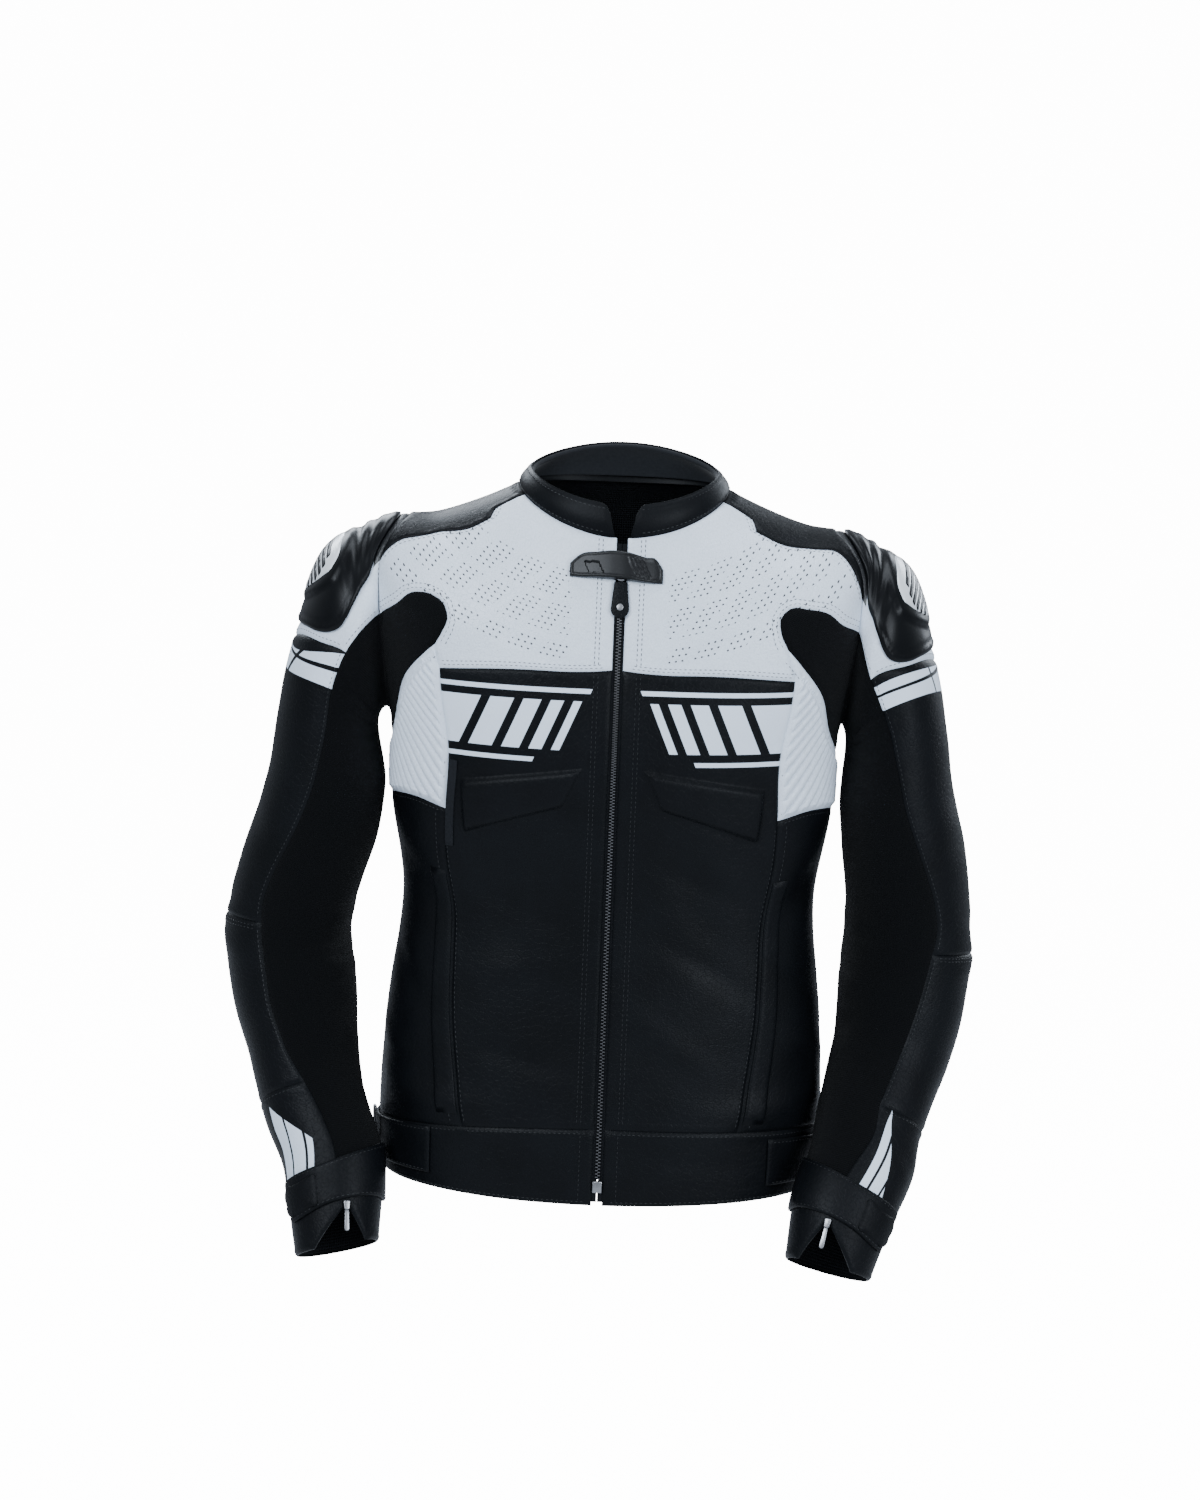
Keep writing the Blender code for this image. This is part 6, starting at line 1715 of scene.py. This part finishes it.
def strap_tab(side):
    """The pull end sewn on the cuff strap, with clipped corners."""
    corners = np.array([(14, 545), (58, 551), (66, 558), (64, 574), (54, 580), (14, 574)])
    return smooth_outline(corners * ARMS[side].step, 4.0, 4) / ARMS[side].step


class JACKET_OT_collar(bpy.types.Operator):
    """Make the padded collar and its soft inner band."""
    bl_idname = "jacket.collar"
    bl_label = "Collar"

    def execute(self, context):
        size = context.scene.jacket_sizes
        collar = collar_ring(168, (-0.07, 1.0), 0.0, size.leather / MM + 0.2, 22)
        obj = solid("collar_leather", *collar, "collar leather", "collar", "black_leather", sharp=60)
        declare_band(obj)
        band = collar_ring(168, (0.10, 0.965), -2.2, 3.4, 14)
        obj = solid("collar_lining_band", *band, "soft collar lining", "collar_lining", "stretch_textile",
                    sharp=60)
        declare_band(obj)
        return {"FINISHED"}


def collar_ring(columns, span, lift, thick, rows):
    """A closed section carried round the collar: up its outside, over a round top and down its inside.

    The free edge drops towards the front opening on a quarter circle, which rounds its corners."""
    low, high = span
    t = np.linspace(0, 1, columns)
    rise = np.linspace(0, 1, rows)
    arc = np.radians(np.linspace(0, 180, 7)[1:-1])
    heights = np.concatenate([rise, np.ones(5), rise[::-1]])
    depths = np.concatenate([0 * rise, (1 - np.cos(arc)) / 2, 0 * rise + 1])
    bulges = np.concatenate([0 * rise, np.sin(arc), 0 * rise])
    spread = COLLAR_GAP_TOP - COLLAR_GAP_BASE
    inset_by = 0.0 if lift == 0 else 1.5
    u = np.empty((columns, len(heights)))
    v = np.empty_like(u)
    start = COLLAR_GAP_BASE + inset_by
    base_angle = start + (360 - 2 * start) * t
    near = np.minimum(base_angle - start, 360 - start - base_angle) * 1.5
    corner = 1 - np.clip(near / 9.0, 0, 1)
    top = high - (1 - np.sqrt(np.clip(1 - corner ** 2, 0, 1))) * 0.26
    v[:] = low + (top[:, None] - low) * heights
    first = start + spread * v
    u[:] = first + (360 - 2 * first) * t[:, None]
    points = COLLAR.place(u, v)
    normals = COLLAR.normal(u, v)
    relief = 0.45 * bell(v * 32, 28.8, 2.2) - 0.8 * bell(v * 32, 0, 1.5) if lift == 0 else 0 * v
    out = (lift + relief * (1 - depths) - depths * thick) * MM
    up = np.array([0, 0, 1.0])
    points = points + out[..., None] * normals + (bulges * thick / 2 * MM)[..., None] * up
    ends = np.clip(near / 1.6, 0, 1)
    shrink = 0.25 + 0.75 * np.sqrt(np.clip(1 - (1 - ends) ** 2, 0, 1))
    middle = points[:, :rows] * 0.5 + points[:, ::-1][:, :rows] * 0.5
    middle = np.concatenate([middle, np.repeat(middle[:, -1:], 5, 1), middle[:, ::-1]], 1)
    points = middle + (points - middle) * shrink[:, None, None]
    return points.reshape(-1, 3), tube_faces(columns, len(heights))


def declare_band(obj):
    """Read the areas of the band's faces, whose outer part is nearly half of the closed skin's; the values
    are not used.
    """
    mesh = obj.data
    areas = np.empty(len(mesh.polygons))
    mesh.polygons.foreach_get("area", areas)


class JACKET_OT_waist_straps(bpy.types.Operator):
    """Make the waist adjusters and the wire loops that they run through."""
    bl_idname = "jacket.waist_straps"
    bl_label = "Waist straps and loops"

    def execute(self, context):
        for side, label in SIDES.items():
            top = curved(WAIST_STRAP, 5, BODY.step) * (side, 1)
            outline = strip(top, top + (0, WAIST_STRAP_WIDTH), 5, BODY.step)
            overlay(f"waist_strap_{label}_leather", BODY, outline, 5, 1.0, 2.0, "black leather",
                    f"waist_strap_{label}", 1.8)
            line = curved(WAIST_STRAP, 12, BODY.step)
            middle = float(bend(line[:, 0], line[:, 1:], np.array([79.0]))[0, 0]) + WAIST_STRAP_WIDTH / 2
            wire_loop(f"waist_loop_{label}", side * 79.0, middle, 4.8, 9.0, WAIST_STRAP_WIDTH + 5,
                      f"waist_buckle_{label}")
        return {"FINISHED"}


def wire_loop(name, angle, down, lift, wide, high, node_name):
    """A round section of 1.3 mm carried along a rounded rectangle."""
    place, turn = surface_frame(PLAIN_BODY, angle, down, lift)
    corners = [(wide / 2, high / 2), (-wide / 2, high / 2), (-wide / 2, -high / 2), (wide / 2, -high / 2)]
    path = smooth_outline(corners, 3.0, 6)
    run = np.roll(path, -1, axis=0) - np.roll(path, 1, axis=0)
    run /= np.linalg.norm(run, axis=1)[:, None]
    side = np.stack([run[:, 1], -run[:, 0]], -1)
    turns = np.radians(np.arange(0, 360, 36))
    flat = path[:, None] + 1.3 * np.cos(turns)[None, :, None] * side[:, None]
    depth = np.broadcast_to(1.3 * np.sin(turns), flat.shape[:2])
    points = np.stack([flat[..., 0], depth, flat[..., 1]], -1).reshape(-1, 3)
    points = placed(points, place, turn)
    return solid(name, points, tube_faces(len(path), len(turns), closed=True), "plated metal", node_name,
                 "zip_metal")


class JACKET_OT_shoulder_cups(bpy.types.Operator):
    """Make the moulded shoulder cups and the slotted plates on them."""
    bl_idname = "jacket.shoulder_cups"
    bl_label = "Shoulder cups"

    def execute(self, context):
        for side, label in SIDES.items():
            arm, twist = ARMS[side], (CUP_TWIST[side], 0)
            outline = closed_curve(np.array(CUP_OUTLINE) + twist, 2.6, arm.step)
            plate = closed_curve(np.array(PLATE_OUTLINE) + twist, 2.2, arm.step)
            crown = cup_crown(arm, side, outline, plate)
            overlay(f"shoulder_cup_{label}_moulding", arm, outline, 2.2, CUP_GAP, CUP_WALL, "moulded rubber",
                    f"shoulder_cup_{label}", 2.2, crown, cloth=False)

            def seat(uv, _, crown=crown):
                return crown(uv, None) - 2.4

            overlay(f"cup_plate_{label}_moulding", arm, plate, 1.9, CUP_GAP + CUP_WALL + 1.3, 1.9,
                    "white moulding", f"cup_plate_{label}", 1.8, seat, cloth=False)
            for k in range(6):
                slot_piece(arm, side, label, k, seat)
        return {"FINISHED"}


def cup_crown(arm, side, outline, plate):
    """Height of the cup: a rim and a crown, bellows across its top, and a raised seat for the plate."""
    flat, seat_line = outline * arm.step, plate * arm.step

    def height(uv, _):
        points = uv * arm.step
        around, along = uv[:, 0] - CUP_TWIST[side], uv[:, 1]
        away = distance(points, flat, np.roll(flat, -1, axis=0))
        base = 0.9 * np.clip(away / 3, 0, 1) + 2.3 * smooth((along - 25) / 30) * smooth(away / 24)
        fold = np.sin(math.pi * np.clip((along - 9) / 36, 0, 1)) ** 0.5
        fold = fold * np.clip((around - 26) / 20, 0, 1) * np.clip((152 - around) / 20, 0, 1)
        bellows = 1.0 * np.cos(2 * math.pi * (along - 13 - 0.06 * np.abs(around - 90)) / 8.4) * fold
        clear = distance(points, seat_line, np.roll(seat_line, -1, axis=0))
        clear = np.where(inside(points, seat_line), 0, clear)
        seat = 2.4 * np.clip(1.0 - (clear - 5.0) / 2.5, 0, 1)
        groove = -0.8 * bell(away, 5.6, 1.2) * np.clip((along - 34) / 10, 0, 1)
        return base + bellows * np.clip((clear - 3) / 6, 0, 1) + seat + groove

    return height


def slot_piece(arm, side, label, k, crown):
    """One dark slot of the plate: a narrow bar set across it, longer in the middle."""
    along = 42.5 + k * 5.3
    half = (17, 21, 22, 20, 16, 10)[k]
    middle = 78.0 + CUP_TWIST[side]
    lean = 5.0
    corners = [(middle - half, along + lean * 0.6), (middle + half, along - lean * 0.6),
               (middle + half, along + 4.1 - lean * 0.6), (middle - half, along + 4.1 + lean * 0.6)]
    outline = smooth_outline(np.array(corners) * arm.step, 1.2, 3)
    outline = straight([*outline, outline[0]], 2.4, (1, 1))[:-1] / arm.step
    overlay(f"cup_slot_{label}_{k}", arm, outline, 1.8, CUP_GAP + CUP_WALL + 2.9, 0.6, "moulded rubber", None,
            0.5, crown, cloth=False)


class JACKET_OT_front_zip(bpy.types.Operator):
    """Make the front zip: its tapes, both rows of teeth, the slider and the bottom stop."""
    bl_idname = "jacket.front_zip"
    bl_label = "Front zip"

    def execute(self, context):
        for side, label in SIDES.items():
            near, far = (beside_zip(x, 5, HEM - 3, side, 5) for x in (0.3, 12.0))
            outline = np.concatenate([near, far[::-1]])
            overlay(f"zip_tape_{label}_weave", BODY, outline, 4.0, -2.3, 0.8, "zip tape", f"zip_tape_{label}",
                    0.5)
        zip_teeth(context.scene.jacket_sizes.tooth / MM)
        place, turn = surface_frame(PLAIN_BODY, 0, ZIP_BOX_DOWN, -0.1)
        box = cushion_plate([(4, 5), (-4, 5), (-4, -5), (4, -5)], 3.2, 0.8, place, turn)
        solid("zip_box", *box, "plated metal", "zip_stop", "zip_metal")
        place, turn = slider_frame()
        outline = smooth_outline([(4.2, 5.5), (-4.2, 5.5), (-3.0, -5.5), (3.0, -5.5)], 2.2, 5)
        solid("front_slider", *cushion_plate(outline, 3.6, 1.1, place, turn), "plated metal", "zip_slider",
              "zip_metal")
        return {"FINISHED"}


def zip_teeth(pitch):
    """Every tooth is a bevelled block; the two rows are half a pitch apart and reach past the middle."""
    keys = np.arange(14.0, 611.0, pitch)
    shape = np.array([(-1, -1, -1), (1, -1, -1), (1, -1, 1), (-1, -1, 1),
                      (-0.8, 1, -0.6), (0.8, 1, -0.6), (0.8, 1, 0.6), (-0.8, 1, 0.6)])
    faces = np.array([(0, 1, 2), (0, 2, 3), (4, 6, 5), (4, 7, 6), (0, 4, 5), (0, 5, 1),
                      (1, 5, 6), (1, 6, 2), (2, 6, 7), (2, 7, 3), (3, 7, 4), (3, 4, 0)])
    points = []
    for side in (-1, 1):
        down = keys + (pitch / 2 if side > 0 else 0)
        u = side * np.degrees(0.95 / half_width(down))
        p, n = BODY.place(u, down), BODY.normal(u, down)
        t = BODY.place(u, down + 0.5) - BODY.place(u, down - 0.5)
        t /= np.linalg.norm(t, axis=-1, keepdims=True)
        s = np.cross(t, n)
        corner = (shape[None, :, 0, None] * 1.3 * s[:, None] + shape[None, :, 2, None] * 0.75 * t[:, None]
                  + (shape[None, :, 1, None] * 1.1 + 0.1) * n[:, None])
        points.append(p[:, None] + corner * MM)
    points = np.concatenate(points)
    every = (faces[None] + 8 * np.arange(len(points))[:, None, None]).reshape(-1, 3)
    solid("front_zip_teeth", points.reshape(-1, 3), every, "dark teeth", "zip_chain", "zip_metal", sharp=30)


def down_at_height(z):
    """How far down the middle of the front a height lies."""
    down = np.linspace(0, 200, 401)
    return float(np.interp(-z, -PLAIN_BODY.place(0 * down, down)[:, 2] / MM, down))


def slider_frame():
    """Place and directions of the front slider, on the middle of the chest."""
    return surface_frame(PLAIN_BODY, 0, down_at_height(SLIDER_HEIGHT), 2.4)


def pull_outline(top_half, end_half, long, count=13):
    """A strap that widens to a round end, about its pivot at the origin."""
    ends = np.radians(np.linspace(180, 360, count))
    spots = [(top_half, 0.8), (-top_half, 0.8)]
    spots += [(-top_half - (end_half - top_half) * t, -t * (long - end_half)) for t in (0.33, 0.66)]
    spots += [(end_half * math.cos(t), -(long - end_half) + end_half * math.sin(t)) for t in ends]
    spots += [(top_half + (end_half - top_half) * t, -t * (long - end_half)) for t in (0.66, 0.33)]
    return spots


class JACKET_OT_zip_pull(bpy.types.Operator):
    """Make the leather pull of the front slider and its rivet."""
    bl_idname = "jacket.zip_pull"
    bl_label = "Zip pull"

    def execute(self, context):
        place, turn = slider_frame()
        pivot = place + turn @ (Vector((0, -0.2, -7.0)) * MM)
        _, turn = surface_frame(PLAIN_BODY, 0, down_at_height(MAIN_PULL_HEIGHT), 0)
        spots = pull_outline(5.4, 7.8, MAIN_PULL_LONG)
        solid("zip_pull_leather", *cushion_plate(spots, 2.0, 0.7, pivot, turn), "black leather", "zip_pull",
              "black_leather", body="pull_main", sharp=50)
        hole = pivot + turn @ (Vector((0, -1.9, 9.1 - MAIN_PULL_LONG)) * MM)
        ring = [(3.0 * math.cos(t), 3.0 * math.sin(t)) for t in np.radians(np.arange(0, 360, 20))]
        solid("pull_rivet_head", *cushion_plate(ring, 1.3, 0.6, hole, turn), "plated metal", "pull_rivet",
              "zip_metal", body="pull_main", sharp=50)
        return {"FINISHED"}


class JACKET_OT_throat_tab(bpy.types.Operator):
    """Make the moulded tab over the slider, with its window and plain slanted bars."""
    bl_idname = "jacket.throat_tab"
    bl_label = "Throat tab"

    def execute(self, context):
        rows = np.array(THROAT_TAB, float)
        x = np.linspace(-43, 35, 40)
        z_top, z_bottom = (bend(rows[:, 0], rows[:, k:k + 1], x)[:, 0] for k in (1, 2))
        top, bottom = chart_of(x, z_top), chart_of(x, z_bottom)

        def height(uv, away):
            """Arched over the slider, with a raised rim, slanted bars and a sunk window."""
            p = BODY.place(uv[:, 0], uv[:, 1]) / MM
            arch = bend(rows[:, 0], rows[:, 3:4], p[:, 0])[:, 0]
            rim = 0.7 * bell(away, 2.0, 1.1)
            slant = p[:, 0] + 0.5 * (p[:, 2] + 60)
            barred = (np.abs(slant - 17) < 7.2) * (away > 4.2)
            bars = 0.6 * (np.cos(2 * math.pi * slant / 3.6) > 0.1) * barred
            window = -1.2 * ((np.abs(slant + 22) < 6) & (np.abs(p[:, 2] + 58.2) < 4.2))
            return arch + rim + bars + window

        overlay("throat_tab_moulding", BODY, strip(top, bottom, 2.0, BODY.step), 1.3, 0.0, 2.4,
                "tab rubber", "throat_tab", 1.2, height, cloth=False)
        return {"FINISHED"}


def chart_of(x_mm, z_mm):
    """Angle and mm down of points on the upper front given by their x and height."""
    down = np.linspace(0, 120, 241)[:, None]
    angle = np.degrees(np.arcsin(np.clip(x_mm[None] / half_width(down), -1, 1)))
    for _ in range(3):
        here = PLAIN_BODY.place(angle, down + 0 * angle)[..., 0] / MM
        angle = angle + np.degrees((x_mm[None] - here) / half_width(down))
    heights = PLAIN_BODY.place(angle, down + 0 * angle)[..., 2] / MM
    k = np.array([np.interp(-z, -heights[:, j], down[:, 0]) for j, z in enumerate(z_mm)])
    turned = np.array([np.interp(k[j], down[:, 0], angle[:, j]) for j in range(len(k))])
    return np.stack([turned, k], -1)


class JACKET_OT_cuff_zips(bpy.types.Operator):
    """Make the sliders at the cuff vents and their metal pulls."""
    bl_idname = "jacket.cuff_zips"
    bl_label = "Cuff zips"

    def execute(self, context):
        for side, label in SIDES.items():
            place, turn = surface_frame(ARMS[side], -20, 577.5, 1.7)
            outline = smooth_outline([(3.1, 4), (-3.1, 4), (-2.2, -4), (2.2, -4)], 1.6, 5)
            solid(f"cuff_slider_{label}_body", *cushion_plate(outline, 2.4, 0.8, place, turn), "plated metal",
                  f"cuff_slider_{label}", "zip_metal")
            pivot = place + turn @ (Vector((0, -0.2, -5.125)) * MM)
            spots = pull_outline(1.7, 2.1, 16.8, 9)
            solid(f"cuff_pull_{label}_bar", *cushion_plate(spots, 1.2, 0.45, pivot, turn), "plated metal",
                  f"cuff_pull_{label}", "zip_metal", body=f"pull_{label}")
        return {"FINISHED"}


class JACKET_OT_trims(bpy.types.Operator):
    """Make the pocket welts and the plain woven tab in the side seam."""
    bl_idname = "jacket.trims"
    bl_label = "Pocket welts and side tab"

    def execute(self, context):
        seam = np.array(FRONT_SEAM, float)
        for side, label in SIDES.items():
            down = np.linspace(354, 560, 50)
            edge = bend(seam[:, 1], seam[:, :1], down)[:, 0]
            near = np.stack([side * (edge + 0.8), down], -1)
            far = np.stack([side * (edge + 7.4), down], -1)
            overlay(f"pocket_welt_{label}_leather", BODY, np.concatenate([near, far[::-1]]), 4.0, -0.2, 2.6,
                    "black leather", f"pocket_welt_{label}", 2.6)
        down = np.linspace(256, 330, 26)
        seam = np.array((YOKE_CORNER,) + FRONT_SEAM, float)
        edge = bend(seam[:, 1], seam[:, :1], down)[:, 0]
        near, far = np.stack([-edge + 0.4, down], -1), np.stack([-edge + 3.2, down], -1)
        overlay("side_label_weave", BODY, np.concatenate([near, far[::-1]]), 3.0, 0.6, 0.7, "woven label",
                "side_label", 0.5)
        return {"FINISHED"}


# Topstitching rows: seam, its first and last point, mm to one side
PALE_ROWS = {
    "body": (("yoke_seam", 1, -1, 3.2), ("yoke_seam", 1, -1, 6.2), ("border", 3, -1, 3.2),
             ("border", 3, -1, 6.2), ("tongue_yoke", 1, -1, 3.4), ("tongue_yoke", 1, -1, 7.2),
             ("rib_front", 1, -1, -3.0), ("tongue_armpit", 1, -2, 7.6)),
    "sleeve": (("cap_bottom", 1, -1, -3.2), ("edge_cap", 1, -1, -3.2), ("armhole_yoke", 0, None, 0.0)),
}
DARK_ROWS = {
    "body": (("front_seam", 1, -1, 3.2), ("front_seam", 1, -1, -10.5), ("rib_bottom", 1, -1, 3.0),
             ("band_front", 1, -1, 3.2), ("band_side", 1, -1, 3.2), ("band_back", 1, -1, 3.2),
             ("hem_front", 1, -1, -3.4), ("hem_back", 1, -1, -3.4), ("side_seam", 1, -1, -3.2),
             ("back_yoke", 1, -1, 3.2), ("back_yoke", 1, -1, 6.4)),
    "sleeve": (("edge_upper", 1, -1, -3.2), ("edge_fore", 1, -1, -3.2), ("elbow", 1, -1, 3.2),
               ("elbow", 1, -1, 6.2), ("cuff_panel", 1, -1, 3.2), ("back_upper", 1, -1, 3.2),
               ("back_fore", 1, -1, 3.2)),
}


class JACKET_OT_stitching(bpy.types.Operator):
    """Sew the topstitching rows beside the seams."""
    bl_idname = "jacket.stitching"
    bl_label = "Topstitching"

    def execute(self, context):
        pale, dark = Thread(), Thread()
        for side, _, body, sleeve, arm in both_sides(context):
            for thread, rows in ((pale, PALE_ROWS), (dark, DARK_ROWS)):
                for seam, first, last, by in rows["body"]:
                    thread.row(BODY, body[seam][first:last], side * by)
                for seam, first, last, by in rows["sleeve"]:
                    thread.row(arm, sleeve[seam][first:last], by)
            for x in (16.0, 19.5):
                pale.row(BODY, beside_zip(x, 2, YOKE_SEAM_ZIP - 4, side), 0)
                dark.row(BODY, beside_zip(x, YOKE_SEAM_ZIP + 6, BAND_DOWN - 4, side), 0)
            dark.row(BODY, beside_zip(16.0, BAND_DOWN + 4, HEM - 5, side), 0)
            for strap, by in ((CUFF_STRAP_TOP, 2.6), (CUFF_STRAP_BOTTOM, -2.6)):
                dark.row(arm, curved(strap, 4, arm.step)[2:-2], by, 3.0)
            strap = curved(WAIST_STRAP, 5, BODY.step)[1:-1] * (side, 1)
            dark.row(BODY, strap, side * 3.0, 3.0)
            dark.row(BODY, strap + (0, WAIST_STRAP_WIDTH), side * -3.0, 3.0)
            for height in (0.14, 0.86):
                angles = np.linspace(10, 176, 120) * side % 360
                dark.row(COLLAR, np.stack([angles, 0 * angles + height], -1), 0.0, 0.35)
        pale.build("pale_topstitching", "pale thread")
        dark.build("dark_topstitching", "dark thread")
        return {"FINISHED"}


class JACKET_OT_stage(bpy.types.Operator):
    """Set the pale floor, the soft lights and the camera."""
    bl_idname = "jacket.stage"
    bl_label = "Floor, lights and camera"

    def execute(self, context):
        grid = np.array([(-260, -260, -1.3), (260, -260, -1.3), (260, 260, -1.3), (-260, 260, -1.3)], float)
        mesh = bpy.data.meshes.new("floor")
        mesh.from_pydata(grid.tolist(), [], [(0, 1, 2, 3)])
        floor = bpy.data.objects.new("floor", mesh)
        bpy.context.scene.collection.objects.link(floor)
        paper, tree, shader = new_material("pale paper", (0.55, 0.56, 0.58, 1), 0.95)
        seen = node(tree, "LightPath").outputs["Is Camera Ray"]
        glow = blend_colour(tree, seen, (0, 0, 0, 1), (14.0, 14.0, 14.0, 1))
        tree.links.new(glow, shader.inputs["Emission Color"])
        shader.inputs["Emission Strength"].default_value = 1.0
        mesh.materials.append(paper)
        world = bpy.data.worlds.new("studio")
        bpy.context.scene.world = world
        world.use_nodes = True
        backdrop = world.node_tree.nodes["Background"]
        seen = node(world.node_tree, "LightPath").outputs["Is Camera Ray"]
        sky = blend_colour(world.node_tree, seen, (0.88, 0.96, 1.07, 1), (29.0, 29.0, 29.0, 1))
        world.node_tree.links.new(sky, backdrop.inputs["Color"])
        backdrop.inputs["Strength"].default_value = 0.48
        soft_light("key", (-1.9, -3.0, 1.9), (2.0, 1.5), 122)
        soft_light("fill", (2.4, -2.8, 0.8), (1.6, 1.8), 80)
        soft_light("top", (0.2, 0.3, 2.6), (2.4, 1.2), 60)
        soft_light("back", (-1.4, 3.0, 1.5), (1.8, 1.6), 80)
        soft_light("back_fill", (1.9, 2.6, 0.7), (1.6, 1.6), 45)
        place_camera()
        return {"FINISHED"}


def soft_light(name, place, size, power):
    data = bpy.data.lights.new(name, "AREA")
    data.shape = "RECTANGLE"
    data.size, data.size_y = size
    data.energy = power
    data.color = (0.92, 1.0, 1.10)
    obj = bpy.data.objects.new(name, data)
    bpy.context.scene.collection.objects.link(obj)
    obj.location = place
    obj.rotation_euler = (Vector((0, 0, -0.3)) - Vector(place)).to_track_quat("-Z", "Y").to_euler()
    return obj


def place_camera():
    """The photograph's view: 4.8 m away, ten degrees above, turned a little about its own axis."""
    data = bpy.data.cameras.new("camera")
    data.sensor_fit = "VERTICAL"
    data.sensor_height, data.sensor_width = 36, 36
    data.lens = 5581 * 36 / 1500
    camera = bpy.data.objects.new("camera", data)
    bpy.context.scene.collection.objects.link(camera)
    place, target = Vector((-0.012, -4.727, 0.605)), Vector((-0.012, 0, -0.229))
    camera.location = place
    camera.rotation_mode = "QUATERNION"
    look = (target - place).to_track_quat("-Z", "Y")
    camera.rotation_quaternion = look @ Matrix.Rotation(math.radians(2.25), 3, "Z").to_quaternion()
    bpy.context.scene.camera = camera


STEPS = (JACKET_OT_fronts, JACKET_OT_yokes, JACKET_OT_gussets, JACKET_OT_sides_and_back, JACKET_OT_sleeves,
         JACKET_OT_stretch_sleeves, JACKET_OT_cuffs, JACKET_OT_collar, JACKET_OT_waist_straps,
         JACKET_OT_shoulder_cups, JACKET_OT_front_zip, JACKET_OT_zip_pull, JACKET_OT_throat_tab,
         JACKET_OT_cuff_zips, JACKET_OT_trims, JACKET_OT_stitching, JACKET_OT_stage)


class JACKET_PT_pieces(bpy.types.Panel):
    """Lists every step of the jacket with its sizes and colours."""
    bl_idname = "JACKET_PT_pieces"
    bl_label = "Motorcycle jacket"
    bl_space_type = "VIEW_3D"
    bl_region_type = "UI"
    bl_category = "Jacket"

    def draw(self, context):
        for group in (context.scene.jacket_sizes, context.scene.jacket_colours):
            box = self.layout.box()
            for name in group.bl_rna.properties.keys():
                if name not in ("rna_type", "name"):
                    box.prop(group, name)
        for step in STEPS:
            self.layout.operator(step.bl_idname)


CLASSES = (JacketColours, JacketSizes, *STEPS, JACKET_PT_pieces)


def register():
    for item in CLASSES:
        bpy.utils.register_class(item)
    bpy.types.Scene.jacket_colours = bpy.props.PointerProperty(type=JacketColours)
    bpy.types.Scene.jacket_sizes = bpy.props.PointerProperty(type=JacketSizes)


def unregister():
    del bpy.types.Scene.jacket_sizes
    del bpy.types.Scene.jacket_colours
    for item in reversed(CLASSES):
        bpy.utils.unregister_class(item)


def main():
    register()
    for step in STEPS:
        group, name = step.bl_idname.split(".")
        getattr(getattr(bpy.ops, group), name)()


if __name__ == "__main__":
    main()
